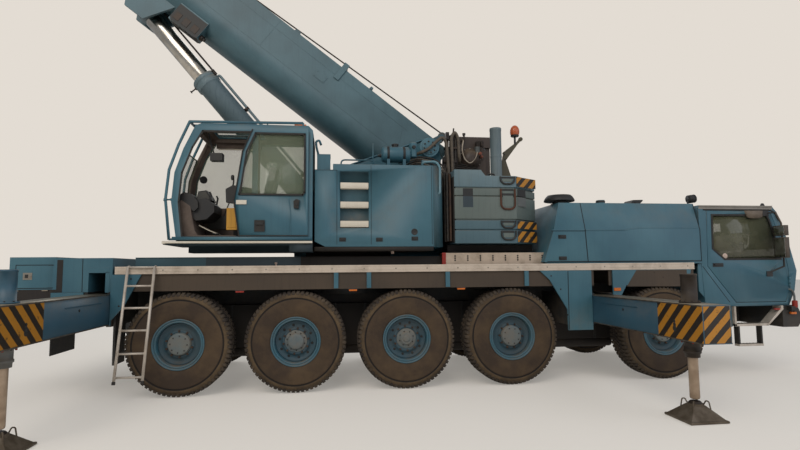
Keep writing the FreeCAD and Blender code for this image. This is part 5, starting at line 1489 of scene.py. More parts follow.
def operatorInterior():
    mesh = newMesh()
    near, far = -1.39, -0.75
    # footwell console with its dark cowl
    low = [(-3.296, 2.263), (-3.355, 2.6), (-3.372, 2.78), (-3.33, 2.83), (-3.2, 2.74), (-3.17, 2.56),
           (-3.13, 2.38), (-3.06, 2.263)]
    addPrism(mesh, sideOutline(low, near), Vector((0, far - near, 0)), 1)
    cowl = [(-3.374, 2.77), (-3.37, 2.9), (-3.3, 2.95), (-3.2, 2.93), (-3.1, 2.82), (-3.09, 2.72),
            (-3.15, 2.66), (-3.22, 2.72)]
    addPrism(mesh, sideOutline(cowl, near + 0.005), Vector((0, far - near - 0.01, 0)), 0)
    # control pod with display and grips
    pod = [(-3.25, 2.68), (-3.18, 2.84), (-2.99, 2.87), (-2.87, 2.77), (-2.87, 2.66), (-2.98, 2.55),
           (-3.14, 2.53)]
    addPrism(mesh, sideOutline(pod, -1.33), Vector((0, 0.5, 0)), 0)
    shade = [(-3.17, 2.84), (-3.14, 2.99), (-3.02, 3.01), (-2.93, 2.85)]
    addPrism(mesh, sideOutline(shade, -1.2), Vector((0, 0.28, 0)), 0)
    addPrism(mesh, sideOutline([(-3.155, 2.855), (-3.13, 2.975), (-3.03, 2.99), (-2.955, 2.86)], -1.205),
             Vector((0, -0.006, 0)), 2)
    for y in (-1.3, -0.84):
        addTube(mesh, [(-2.95, y, 2.8), (-2.93, y, 2.93), (-2.95, y, 2.97)], 0.014, 0, 10)
    # pedals on their pale arms
    for y in (-1.24, -1.0):
        addTube(mesh, [(-3.11, y, 2.47), (-2.98, y, 2.4), (-2.84, y, 2.34)], 0.009, 3, 8)
        addBlock(mesh, (-2.9, y - 0.06, 2.33), (-2.82, y + 0.06, 2.345), 0)
    # floor mat and the sill kick plate
    addBlock(mesh, (-3.1, -1.44, 2.262), (-1.5, -0.7, 2.27), 4)
    addBlock(mesh, (-3.2, -1.495, 2.276), (-2.52, -1.46, 2.3), 1)
    # seat pedestal and the boxes beside it
    addBlock(mesh, (-2.6, -1.27, 2.268), (-2.15, -0.87, 2.5), 0)
    addBlock(mesh, (-2.62, -1.3, 2.5), (-2.12, -0.84, 2.545), 0)
    for y in (-1.4, -0.81):
        addPrism(mesh, sideOutline([(-2.69, 2.8), (-2.7, 3.0), (-2.6, 3.06), (-2.22, 3.0), (-2.2, 2.86),
                                    (-2.3, 2.62), (-2.5, 2.62), (-2.55, 2.78)], y),
                 Vector((0, 0.07, 0)), 0)
        addTube(mesh, [(-2.6, y + 0.035, 3.03), (-2.59, y + 0.035, 3.14), (-2.61, y + 0.035, 3.18)], 0.012, 0, 10)
        addTurned(mesh, (-2.605, y + 0.035, 3.14), (-0.05, 0, 1),
                  [(0, 0.014), (0.01, 0.024), (0.05, 0.027), (0.075, 0.02), (0.082, 0.006)], 0, 16)
    # far window's division, gas strut, fan, sun blind roll and rear view mirror
    addTube(mesh, [(-2.44, -0.69, 3.84), (-2.6, -0.69, 3.36), (-2.64, -0.69, 2.91)], 0.02, 0, 10)
    addTube(mesh, [(-2.9, -0.7, 2.56), (-2.62, -0.7, 3.32)], 0.009, 0, 8)
    addTurned(mesh, (-3.2, -0.735, 3.24), (0.6, -0.8, 0), [(0, 0.03), (0.03, 0.055), (0.035, 0.06),
                                                         (0.06, 0.06), (0.062, 0.05)], 0, 20)
    addTube(mesh, [(-3.22, -0.7, 3.24), (-3.2, -0.74, 3.24)], 0.012, 0, 8)
    addTube(mesh, [(-3.06, -1.42, 3.8), (-3.06, -0.72, 3.8)], 0.03, 1, 14)
    addTube(mesh, [(-3.0, -1.25, 3.9), (-2.95, -1.27, 3.7), (-2.9, -1.3, 3.56)], 0.011, 0, 8)
    addBlock(mesh, (-2.94, -1.38, 3.435), (-2.76, -1.24, 3.55), 0)
    # ceiling lining: ribs that run along the cab, pale drip edge over the far window
    for y in (-1.44, -1.4, -0.75):
        addBlock(mesh, (-2.99, y, 3.86), (-2.2, y + 0.03, 3.918), 1)
    addBlock(mesh, (-3.0, -0.697, 3.77), (-2.28, -0.688, 3.85), 1)
    addBlock(mesh, (-2.97, -0.7, 3.752), (-2.3, -0.686, 3.772), 3)
    addBlock(mesh, (-2.26, -1.45, 2.3), (-2.2, -1.4, 3.9), 1)
    addBlock(mesh, (-3.26, -0.7, 2.27), (-2.3, -0.686, 2.79), 1)
    addBlock(mesh, (-3.1, -0.72, 2.45), (-2.5, -0.7, 2.66), 2)
    finishPiece(mesh, "operatorInterior", "superstructure",
                [blackPlastic, brownLining, greyPlastic, whiteEnamel, floorMat], bevel=0.006,
                segments=2, replaces=["operator_seat"])
    mesh = newMesh()
    addBlock(mesh, (-2.67, -1.44, 2.385), (-2.52, -1.405, 2.71))
    addBlock(mesh, (-2.655, -1.446, 2.42), (-2.535, -1.44, 2.56))
    finishPiece(mesh, "yellowBox", "superstructure", hookEnamel, bevel=0.006)


operatorInterior()
paddedPiece("operatorSeatPad", "superstructure", (0.52, 0.5, 0.14), (-2.37, opCab["middle"], 2.62), 3.0,
            seatCloth, "operator_seat", (-0.2, 0.12))
paddedPiece("operatorSeatBack", "superstructure", (0.72, 0.48, 0.13), (-2.07, opCab["middle"], 3.05),
            -78.0, seatCloth, "operator_seat", (-0.3, -0.1, 0.1, 0.3))
print("stage: operator's cab ready")


# boom; along counts from the pivot towards the head, height stands square to it

boomLook = {"pivot": (0.54, 3.88), "luff": math.radians(37.5), "top": 0.24, "bottom": -0.82,
            "half": 0.44, "length": 10.5, "step": 0.036, "stickOut": 0.33, "head": 12.05,
            "sheaveDrop": -1.08}
cosLuff, sinLuff = math.cos(boomLook["luff"]), math.sin(boomLook["luff"])


def onBoom(along, y, height):
    return Vector((boomLook["pivot"][0] - along * cosLuff + height * sinLuff, y,
                   boomLook["pivot"][1] + along * sinLuff + height * cosLuff))


boomTurn = Matrix.Translation((boomLook["pivot"][0], 0, boomLook["pivot"][1])) \
    @ Matrix.Rotation(boomLook["luff"], 4, "Y")


def addBoomBlock(mesh, along, y, height, slot=0):
    addBlock(mesh, (-along[1], y[0], height[0]), (-along[0], y[1], height[1]), slot, boomTurn)


def boomHalfAt(height, out=0.0):
    # half width of the base section at a height, for pieces that lie on its round belly
    spring = boomLook["bottom"] + boomLook["half"]
    if height >= spring:
        return boomLook["half"] + out
    radius = boomLook["half"] + out
    return math.sqrt(max(0.0, radius * radius - (spring - height) ** 2))


def boomBaseDetail(side):
    name = "Right" if side == right else "Left"
    mesh = newMesh()
    half = boomLook["half"]
    # weld seam between the roof shell and the bent belly, and the sheet joints along the side
    for height, start, end in ((-0.36, 0.25, 10.25), (0.06, 0.45, 10.25)):
        steps = 40
        for i in range(steps):
            first = start + (end - start) * i / steps
            after = start + (end - start) * (i + 1) / steps
            addBoomBlock(mesh, (first, after + 0.002), sorted((side * (half - 0.004), side * (half + 0.0035))),
                         (height - 0.004, height + 0.004))
    for along in (3.4, 6.9, 9.4):
        addBoomBlock(mesh, (along, along + 0.007), sorted((side * (half - 0.004), side * (half + 0.003))),
                     (-0.37, 0.238))
    finishPiece(mesh, "boomSeams" + name, "boom_base", boomEnamel)
    mesh = newMesh()
    # doubler plates at the heel, round the pivot and up the side
    heel = [(-0.27, 0.23), (0.35, 0.23), (0.55, -0.02), (0.42, -0.3), (0.1, -0.42), (-0.2, -0.34)]
    addPrism(mesh, [onBoom(a, side * (half - 0.001), h) for a, h in heel],
             Vector((0, side * 0.011, 0)))
    addTurned(mesh, onBoom(0, side * (half + 0.004), 0), (0, side, 0),
              [(0.0, 0.21), (0.012, 0.21), (0.018, 0.2), (0.022, 0.17), (0.045, 0.165)], 0, 36)
    # small inspection plates with bolts
    for along in (2.15, 5.6, 8.3):
        addBoomBlock(mesh, (along, along + 0.22), sorted((side * half, side * (half + 0.007))),
                     (-0.2, -0.07))
        for da, dh in ((0.02, -0.18), (0.2, -0.18), (0.02, -0.09), (0.2, -0.09)):
            addTurned(mesh, onBoom(along + da, side * (half + 0.006), dh), (0, side, 0),
                      [(0, 0.009), (0.005, 0.009), (0.007, 0.006)], 0, 6)
    # pipe run along the belly with its clips
    height, run = -0.5, []
    y = side * (boomHalfAt(height) + 0.02)
    run = [onBoom(0.75, y, height), onBoom(4.6, y, height)]
    if side == left:
        addTube(mesh, run, 0.011, 1, 8)
        for i in range(6):
            clip = 0.9 + 0.72 * i
            addBoomBlock(mesh, (clip, clip + 0.03), sorted((y - 0.025, y + 0.016)),
                         (height - 0.02, height + 0.02), 0)
    finishPiece(mesh, "boomSidePlates" + name, "boom_base", [boomEnamel, oilySteel], bevel=0.0025)


onBothSides(boomBaseDetail)


def ropeGuides():
    # forked guides on the boom's back that carry the hoist rope, and the eye plates between them
    mesh = newMesh()
    top = boomLook["top"]
    for along in (1.5, 5.25, 9.0):
        for y in (-0.1, 0.072):
            outline = [onBoom(along - 0.05, y, top - 0.003), onBoom(along - 0.025, y, top + 0.17),
                       onBoom(along + 0.025, y, top + 0.17), onBoom(along + 0.05, y, top - 0.003)]
            addPrism(mesh, outline, Vector((0, 0.028, 0)), 0)
        addTube(mesh, [onBoom(along, -0.1, top + 0.095), onBoom(along, 0.1, top + 0.095)], 0.035, 1, 16)
    for along in (3.1, 7.2):
        for y in (-0.3, 0.3):
            outline = [onBoom(along - 0.09, y - 0.012, top - 0.003),
                       onBoom(along - 0.04, y - 0.012, top + 0.085),
                       onBoom(along + 0.04, y - 0.012, top + 0.085),
                       onBoom(along + 0.09, y - 0.012, top - 0.003)]
            addPrism(mesh, outline, Vector((0, 0.024, 0)), 0)
    # the tall guide that stands beside the roof edge on the near side
    outline = [onBoom(1.98, -0.435, top - 0.24), onBoom(1.98, -0.435, top + 0.1),
               onBoom(2.08, -0.435, top + 0.1), onBoom(2.08, -0.435, top - 0.24)]
    addPrism(mesh, outline, Vector((0, -0.03, 0)), 0)
    addTube(mesh, [onBoom(2.03, -0.45, top + 0.075), onBoom(2.03, 0.02, top + 0.075)], 0.022, 1, 12)
    finishPiece(mesh, "ropeGuides", "boom_base", [boomEnamel, brightSteel], bevel=0.003)


ropeGuides()


def hoistRope():
    # taut rope from the head sheave along the boom's back to the guide roller at the heel
    mesh = newMesh()
    start, end = Vector((-8.68, 0.0, 11.05)), Vector((0.927, 0.0, 4.288))
    addTube(mesh, [start, end], 0.0125, 0, 10)
    roller = onBoom(-0.06, 0, 0.48)
    addTurned(mesh, roller + Vector((0, -0.14, 0)), (0, 1, 0),
              [(0, 0.03), (0.005, 0.03), (0.012, 0.075), (0.02, 0.078), (0.03, 0.058), (0.25, 0.058),
               (0.26, 0.078), (0.268, 0.075), (0.275, 0.03), (0.28, 0.03)], 1, 24)
    finishPiece(mesh, "hoistRope", "boom_base", [ropeSteel, brightSteel])


hoistRope()


def underBoomBox():
    # cable drum housing hung under the belly near the cylinder's eye
    mesh = newMesh()
    outline = [(4.3, -0.62), (4.3, -0.93), (4.34, -0.951), (4.84, -0.951), (4.882, -0.91), (4.882, -0.62)]
    addPrism(mesh, [onBoom(a, -0.401, h) for a, h in outline], Vector((0, 0.232, 0)), 0)
    for along in (4.36, 4.54, 4.72):
        addPrism(mesh, [onBoom(along, -0.407, -0.9), onBoom(along + 0.12, -0.407, -0.9),
                        onBoom(along + 0.12, -0.407, -0.76), onBoom(along, -0.407, -0.76)],
                 Vector((0, 0.01, 0)), 1)
    addTurned(mesh, onBoom(4.3, -0.3, -0.86), onBoom(4.2, -0.3, -0.86) - onBoom(4.3, -0.3, -0.86),
              [(-0.02, 0.05), (0.05, 0.05), (0.055, 0.03), (0.09, 0.03)], 1, 16)
    finishPiece(mesh, "underBoomBox", "boom_base", [machineBlack, oilySteel], bevel=0.006)


underBoomBox()


def boomCollars():
    mesh = newMesh()
    # bolted wear-pad covers round each section's mouth
    for index in range(4):
        end = boomLook["length"] + index * boomLook["stickOut"]
        body = "boom_base" if index == 0 else "boom_section_%d" % (index + 1)
        mesh = newMesh()
        shrink = boomLook["step"] * index
        half = boomLook["half"] - shrink + 0.026
        if index == 3:
            mesh.free()
            continue
        for side in (right, left):
            for height in (0.02, -0.2):
                addBoomBlock(mesh, (end - 0.15, end - 0.03),
                             sorted((side * (half - 0.004), side * (half + 0.012))),
                             (height - shrink, height - shrink + 0.13))
                for da in (0.05, 0.13):
                    addTurned(mesh, onBoom(end - da, side * (half + 0.01), height - shrink + 0.065),
                              (0, side, 0), [(0, 0.012), (0.008, 0.012), (0.01, 0.008)], 0, 6)
        for y in (-0.22, 0.22):
            addBoomBlock(mesh, (end - 0.15, end - 0.03), (y - 0.07, y + 0.07),
                         (boomLook["top"] - shrink + 0.02, boomLook["top"] - shrink + 0.038))
        finishPiece(mesh, "padCovers%d" % (index + 1), body, machineBlack, bevel=0.003)


boomCollars()


def boomHeadDetail():
    # grooved sheaves with webs, side plates' bolts, rope keepers, rope end and limit switch
    mesh = newMesh()
    head = onBoom(boomLook["head"], 0, boomLook["sheaveDrop"])
    rimShape = [(-0.0205, 0.06), (-0.0205, 0.085), (-0.012, 0.09), (-0.012, 0.165), (-0.0215, 0.17),
                (-0.0215, 0.2005), (-0.008, 0.2), (-0.006, 0.188), (0.006, 0.188), (0.008, 0.2),
                (0.0215, 0.2005), (0.0215, 0.17), (0.012, 0.165), (0.012, 0.09), (0.0205, 0.085),
                (0.0205, 0.06)]
    for y in (-0.162, -0.054, 0.054, 0.162):
        addTurned(mesh, head + Vector((0, y, 0)), (0, 1, 0), rimShape, 0, 48, True, True)
    guide = onBoom(11.71, 0, 0)
    for y in (-0.108, 0.108):
        shape = [(-0.0225, 0.05), (-0.0225, 0.085), (-0.012, 0.09), (-0.012, 0.165),
                 (-0.0225, 0.17), (-0.0225, 0.2015), (-0.008, 0.2012), (-0.005, 0.19), (0.005, 0.19),
                 (0.008, 0.2012), (0.0225, 0.2015), (0.0225, 0.17), (0.012, 0.165), (0.012, 0.09),
                 (0.0225, 0.085), (0.0225, 0.05)]
        addTurned(mesh, guide + Vector((0, y, 0)), (0, 1, 0), shape, 0, 48, True, True)
    finishPiece(mesh, "headSheaves", "boom_section_4", oilySteel)
    mesh = newMesh()
    for side in (right, left):
        for centre, out in ((head, 0.33), (guide, 0.28)):
            addTurned(mesh, centre + Vector((0, side * (out - 0.004), 0)), (0, side, 0),
                      [(0, 0.075), (0.01, 0.075), (0.014, 0.06), (0.024, 0.05), (0.026, 0.02)], 1, 20)
            for i in range(6):
                turn = i * math.pi / 3
                spot = centre + Vector((math.cos(turn) * 0.055, side * (out + 0.006),
                                        math.sin(turn) * 0.055))
                addTurned(mesh, spot, (0, side, 0), [(0, 0.009), (0.008, 0.009), (0.01, 0.006)], 1, 6)
        y = side * 0.3
        for a, h in ((11.75, -0.2), (11.9, -0.75), (11.62, -0.55)):
            addTurned(mesh, onBoom(a, y, h), (0, side, 0),
                      [(-0.002, 0.03), (0.006, 0.03), (0.008, 0.018), (0.02, 0.018)], 1, 12)
    for a, h in ((12.22, -0.98), (12.1, -1.19), (11.86, 0.1)):
        addTube(mesh, [onBoom(a, -0.275, h), onBoom(a, 0.275, h)], 0.016, 1, 12)
    addPrism(mesh, [onBoom(a, -0.33, h) for a, h in ((11.86, -1.0), (12.0, -1.0), (12.0, -0.88),
                                                     (11.86, -0.88))], Vector((0, -0.03, 0)), 0)
    finishPiece(mesh, "headFittings", "boom_section_4", [boomEnamel, oilySteel], bevel=0.002)


boomHeadDetail()
print("stage: boom ready")


# luffing cylinder, from its foot between the turntable ears up to its eye on the boom

foot, eye = Vector((-1.05, 0, 2.4)), Vector((-4.4, 0, 6.38))
cylinderWay = (eye - foot).normalized()
cylinderSide = cylinderWay.cross(Vector((0, 1, 0))).normalized()
if cylinderSide.x < 0:
    cylinderSide = -cylinderSide
cylinderLength = (eye - foot).length
barrelEnd = cylinderLength - 1.55


def onCylinder(along, y, out):
    return foot + cylinderWay * along + cylinderSide * out + Vector((0, y, 0))


def luffRodPiece():
    mesh = newMesh()
    start = 1.78
    addTurned(mesh, onCylinder(start, 0, 0), cylinderWay,
              [(0, 0.142), (0.004, 0.1495), (cylinderLength - start - 0.2, 0.1495),
               (cylinderLength - start - 0.19, 0.146), (cylinderLength - start - 0.14, 0.12)], 0, 48)
    eyeShape = [(-0.229, 0.096), (-0.229, 0.155), (-0.222, 0.166), (-0.2, 0.1705), (0.2, 0.1705),
                (0.222, 0.166), (0.229, 0.155), (0.229, 0.096)]
    addTurned(mesh, eye, (0, 1, 0), eyeShape, 1, 48, True, True)
    finishPiece(mesh, "luffRod", "luff_rod", [chromedRod, boomEnamel], replaces=["luff_rod"])


luffRodPiece()


barrelEnamel = paintedSteel("dustyBarrelPaint", variant(
    blueLook, colour="#63777c", faded="#70828a", streaks=0.3, chips=0.5, roughness=0.5))
senderPlace = (-0.12, 0.21)


def luffBarrelPiece():
    mesh = newMesh()
    top = barrelEnd
    profile = [(-0.03, 0.16), (0.0, 0.188), (0.03, 0.2), (top - 0.2, 0.2), (top - 0.19, 0.214),
               (top - 0.18, 0.2195), (top - 0.09, 0.2195), (top - 0.085, 0.214), (top - 0.08, 0.2195),
               (top - 0.012, 0.2195), (top - 0.002, 0.212), (top, 0.2), (top, 0.1515)]
    addTurned(mesh, foot, cylinderWay, [(0.12 if i == 0 else max(a, 0.12), r)
                                        for i, (a, r) in enumerate(profile[2:])], 0, 56, True, False)
    lug = [(-0.199, 0.09), (-0.199, 0.14), (-0.19, 0.15), (0.19, 0.15), (0.199, 0.14), (0.199, 0.09)]
    addTurned(mesh, foot, (0, 1, 0), lug, 0, 36, True, True)
    # parallel feed pipe with its clamps, bleed nipple and port blocks
    pipe = [onCylinder(0.45, -0.05, 0.2), onCylinder(0.45, -0.05, 0.25), onCylinder(top - 0.14, -0.05, 0.25),
            onCylinder(top - 0.14, -0.05, 0.19)]
    addTube(mesh, roundedPath(pipe, 0.05, 5), 0.024, 0, 12)
    for share in (0.25, 0.5, 0.75):
        along = 0.45 + (top - 0.6) * share
        spot = onCylinder(along, -0.05, 0.19)
        addTube(mesh, [spot, onCylinder(along, -0.05, 0.276)], 0.035, 1, 10)
    addTurned(mesh, onCylinder(top - 0.06, 0.0, -0.21), -cylinderSide,
              [(-0.02, 0.03), (0.02, 0.03), (0.022, 0.012), (0.1, 0.012), (0.102, 0.024), (0.12, 0.024)],
              1, 12)
    for i in range(12):
        turn = i * math.pi / 6
        spot = (foot + cylinderWay * (top - 0.004)
                + (cylinderSide * math.cos(turn) + Vector((0, 1, 0)) * math.sin(turn)) * 0.19)
        addTurned(mesh, spot, cylinderWay, [(0, 0.013), (0.014, 0.013), (0.016, 0.009)], 1, 6)
    # guide for the sender rod
    addTube(mesh, [onCylinder(top - 0.12, *senderPlace), onCylinder(top - 0.02, *senderPlace)],
            0.026, 1, 14, False)
    finishPiece(mesh, "luffBarrel", "luff_barrel", [barrelEnamel, oilySteel], replaces=["luff_barrel"])
    mesh = newMesh()
    # the second, thin rod beside the first: the sender rod of the length and angle measuring gear
    addTube(mesh, [onCylinder(top - 0.05, *senderPlace),
                   onCylinder(cylinderLength - 0.14, *senderPlace)], 0.016, 0, 12)
    addTube(mesh, [onCylinder(cylinderLength - 0.15, -0.06, 0.1),
                   onCylinder(cylinderLength - 0.15, -0.128, 0.224)], 0.022, 0, 12)
    finishPiece(mesh, "senderRod", "luff_rod", oilySteel)


luffBarrelPiece()
print("stage: luffing cylinder ready")


# hook block: sheaves behind guarded cheeks, forged hook with its safety latch

hookLook = {"place": onBoom(12.05, 0, -1.08), "drop": 1.15}


def hookPiece():
    x, z = hookLook["place"].x, hookLook["place"].z - hookLook["drop"]
    mesh = newMesh()
    falls = 0.215
    for y in (-0.162, -0.054, 0.054, 0.162):
        for dx in (-falls, falls):
            addTube(mesh, [(x + dx, y, z), (x + dx, y, hookLook["place"].z)], 0.011, 2, 10)
        shape = [(-0.016, 0.06), (-0.016, 0.19), (-0.0195, 0.2), (-0.0195, 0.226), (-0.008, 0.228),
                 (-0.005, 0.208), (0.005, 0.208), (0.008, 0.228), (0.0195, 0.226), (0.0195, 0.2),
                 (0.016, 0.19), (0.016, 0.06)]
        addTurned(mesh, (x, y, z), (0, 1, 0), shape, 1, 44, True, True)
    for side in (right, left):
        y = side * 0.202
        cheek = [(x - 0.25, z + 0.09), (x - 0.2, z + 0.13), (x + 0.2, z + 0.13), (x + 0.25, z + 0.09),
                 (x + 0.279, z - 0.12), (x + 0.1, z - 0.41), (x - 0.1, z - 0.41), (x - 0.279, z - 0.12)]
        addPrism(mesh, [(a, y, b) for a, b in cheek], Vector((0, side * 0.022, 0)), 0)
        addTurned(mesh, (x, side * 0.222, z), (0, side, 0), [(0, 0.07), (0.012, 0.07), (0.016, 0.05)],
                  1, 24)
        for a, b in ((-0.2, 0.07), (0.2, 0.07), (0.21, -0.13), (-0.21, -0.13)):
            addTurned(mesh, (x + a, side * 0.222, z + b), (0, side, 0),
                      [(0, 0.018), (0.012, 0.018), (0.014, 0.01)], 1, 6)
    for a, b in ((-0.2, 0.07), (0.2, 0.07), (0.21, -0.13), (-0.21, -0.13)):
        addTube(mesh, [(x + a, -0.21, z + b), (x + a, 0.21, z + b)], 0.014, 1, 10)
    addBlock(mesh, (x - 0.098, -0.215, z - 0.418), (x + 0.098, 0.215, z - 0.3), 0)
    addTurned(mesh, (x, 0, z - 0.3), (0, 0, -1), [(0.1, 0.09), (0.15, 0.09), (0.16, 0.06), (0.26, 0.055)],
              1, 28)
    # hook bowl
    path, radii = [], []
    for i in range(26):
        turn = math.radians(90 - i * 11.2)
        reach = 0.13 + 0.012 * math.sin(i / 25 * math.pi)
        path.append(Vector((x + reach * math.cos(turn), 0, z - 0.72 + reach * math.sin(turn))))
        radii.append(0.042 * (1.05 if 6 < i < 17 else 1.0) * (1 - max(0, i - 19) / 6 * 0.55))
    path.insert(0, Vector((x, 0, z - 0.53)))
    radii.insert(0, 0.05)
    rings = []
    for i, point in enumerate(path):
        ahead = path[min(i + 1, len(path) - 1)] - path[max(i - 1, 0)]
        ahead.normalize()
        across = Vector((0, 1, 0))
        rings.append(circle(point, across, ahead.cross(across).normalized(), radii[i], 18))
    addRings(mesh, rings, 1, True, True)
    addTube(mesh, [(x - 0.012, 0, z - 0.6), (x - 0.12, 0, z - 0.66)], 0.009, 1, 8)
    finishPiece(mesh, "hookBlock", "hook_block", [hookEnamel, oilySteel, ropeSteel],
                replaces=["hook_block"])
    mesh = newMesh()
    for side in (right, left):
        addFaces(mesh, [(x - 0.17, side * 0.2265, z - 0.09), (x + 0.17, side * 0.2265, z - 0.09),
                        (x + 0.1, side * 0.2265, z - 0.25), (x - 0.1, side * 0.2265, z - 0.25),
                        (x - 0.17, side * 0.222, z - 0.09), (x + 0.17, side * 0.222, z - 0.09),
                        (x + 0.1, side * 0.222, z - 0.25), (x - 0.1, side * 0.222, z - 0.25)],
                 [(0, 1, 2, 3), (4, 5, 6, 7), (0, 1, 5, 4), (1, 2, 6, 5), (2, 3, 7, 6), (3, 0, 4, 7)])
    finishPiece(mesh, "hookStripes", "hook_block", stripesForward)


hookPiece()
print("stage: hook block ready")


# engine hood with its air intake

hoodLook = {"half": 1.44, "roofHalf": 1.3, "bottom": 1.877, "shoulder": 2.4, "top": 2.85,
            "front": 4.95, "seam": 2.925}


def hoodSide(x, z, side, lift=0.0):
    # a point on the hood's side: upright below the shoulder, leaning in above it
    if z <= hoodLook["shoulder"]:
        return Vector((x, side * (hoodLook["half"] + lift), z))
    share = (z - hoodLook["shoulder"]) / (hoodLook["top"] - hoodLook["shoulder"])
    y = hoodLook["half"] + (hoodLook["roofHalf"] - hoodLook["half"]) * share
    return Vector((x, side * (y + lift * 0.95), z + lift * 0.3))


def addHoodStrip(mesh, spots, side, width, lift, slot=0):
    # a strip that follows the hood's side through the given x and z
    for (x0, z0), (x1, z1) in zip(spots, spots[1:]):
        way = Vector((x1 - x0, 0, z1 - z0)).normalized()
        across = Vector((-way.z, 0, way.x)) * width / 2
        loop = [(x0 - across.x, z0 - across.z), (x1 - across.x, z1 - across.z),
                (x1 + across.x, z1 + across.z), (x0 + across.x, z0 + across.z)]
        points = [hoodSide(x, z, side, -0.002) for x, z in loop]
        points += [hoodSide(x, z, side, lift) for x, z in loop]
        addFaces(mesh, points, [(0, 1, 2, 3), (4, 5, 6, 7), (0, 1, 5, 4), (1, 2, 6, 5),
                                (2, 3, 7, 6), (3, 0, 4, 7)], slot)


def hoodDetail(side):
    name = "Right" if side == right else "Left"
    mesh = newMesh()
    seam = hoodLook["seam"]
    addHoodStrip(mesh, [(seam + 0.03, 1.88), (seam, hoodLook["shoulder"])], side, 0.014, 0.0022)
    addHoodStrip(mesh, [(seam, hoodLook["shoulder"]), (seam, 2.848)], side, 0.012, 0.0022)
    addHoodStrip(mesh, [(2.35, 2.375), (seam, 2.375)], side, 0.012, 0.0022)
    addHoodStrip(mesh, [(2.27, 1.883), (4.945, 1.883)], side, 0.012, 0.0022)
    addHoodStrip(mesh, [(4.94, 1.88), (4.94, 2.4)], side, 0.012, 0.0022)
    addHoodStrip(mesh, [(4.94, 2.4), (4.94, 2.848)], side, 0.012, 0.0022)
    finishPiece(mesh, "hoodSeams" + name, "carrier", seamShadow)
    # folded crease that steps up towards the cab
    mesh = newMesh()
    spots = [(2.36, 2.388), (seam - 0.01, 2.388), (3.6, 2.39), (3.87, 2.43), (4.93, 2.434)]
    for spot in (0, 2, 3):
        pair = spots[spot:spot + 2] if spot else spots[0:2]
        addHoodStrip(mesh, pair, side, 0.02, 0.007)
    addHoodStrip(mesh, [(seam + 0.012, 2.388), (3.6, 2.39)], side, 0.02, 0.007)
    finishPiece(mesh, "hoodCrease" + name, "carrier", blueEnamel, bevel=0.004)
    mesh = newMesh()
    for z in (2.28, 1.936):
        addPullHandle(mesh, (2.53, side * 1.44, z), side, 0.13)
    finishPiece(mesh, "hoodHandles" + name, "carrier", machineBlack, bevel=0.002)


softenedNode("engine_hood", "engineHood", blueEnamel, 0.018, segments=3)
onBothSides(hoodDetail)


def hoodRoof():
    mesh = newMesh()
    top = hoodLook["top"]
    # mushroom cap of the air intake over its neck
    x, y = 2.68, -1.05
    addTurned(mesh, (x, y, top), (0, 0, 1),
              [(0.0, 0.14), (0.008, 0.14), (0.012, 0.108), (0.03, 0.106), (0.055, 0.106), (0.052, 0.22),
               (0.046, 0.24), (0.05, 0.2515), (0.066, 0.2515), (0.098, 0.236), (0.13, 0.215),
               (0.148, 0.19), (0.1515, 0.12), (0.1515, 0.001)], 0, 56)
    # filler cap, exhaust flap and its tail pipe
    addTurned(mesh, (3.42, y, top), (0, 0, 1),
              [(0, 0.05), (0.03, 0.05), (0.032, 0.07), (0.06, 0.074), (0.075, 0.068), (0.078, 0.001)],
              0, 28)
    for i in range(12):
        turn = i * math.pi / 6
        addTurned(mesh, (3.42 + 0.069 * math.cos(turn), y + 0.069 * math.sin(turn), top + 0.034),
                  (0, 0, 1), [(0, 0.008), (0.03, 0.008)], 0, 8)
    flap = [(4.05, -0.95, top), (4.17, -0.95, top), (4.27, -0.95, top + 0.095),
            (4.26, -0.95, top + 0.11), (4.08, -0.95, top + 0.104), (4.03, -0.95, top + 0.02)]
    addPrism(mesh, flap, Vector((0, 0.26, 0)), 0)
    addTurned(mesh, (4.12, -0.96, top + 0.06), (0, 1, 0), [(0, 0.012), (0.28, 0.012)], 1, 12)
    finishPiece(mesh, "hoodRoofFittings", "carrier", [blackPlastic, oilySteel], bevel=0.003)
    mesh = newMesh()
    for line in (3.3, 3.95, 4.55):
        addBlock(mesh, (line, -1.29, top - 0.001), (line + 0.006, 1.29, top + 0.0018))
    addBlock(mesh, (2.7, -0.004, top - 0.001), (4.93, 0.004, top + 0.0018))
    finishPiece(mesh, "hoodRoofSeams", "carrier", seamShadow)
    # rear grille of slats below the roof edge, and a hinged cover on the roof
    mesh = newMesh()
    addBlock(mesh, (3.42, -0.55, top), (4.5, 0.55, top + 0.02), 0)
    finishPiece(mesh, "hoodCover", "carrier", blueEnamel, bevel=0.008)
    slat = newMesh()
    addBlock(slat, (-0.5, -0.009, -0.002), (0.5, 0.009, 0.009))
    row = repeated(alongLine, slat, {"Count": 15, "Step": (0.0, 0.055, 0.0), "Finish": machineBlack})
    place = Matrix.Translation(at(3.96, -0.385, top + 0.02))
    placedPiece(gathered("hoodGrille", [(row, place)]), "hoodGrille", "carrier")


hoodRoof()
print("stage: engine hood ready")


# carrier cab

cabinLook = {"half": 1.4, "roof": 2.811, "window": [(5.203, 2.651), (5.186, 2.083), (5.394, 1.905),
                                                    (6.44, 1.905), (6.4, 2.13), (6.27, 2.56),
                                                    (6.23, 2.651)]}


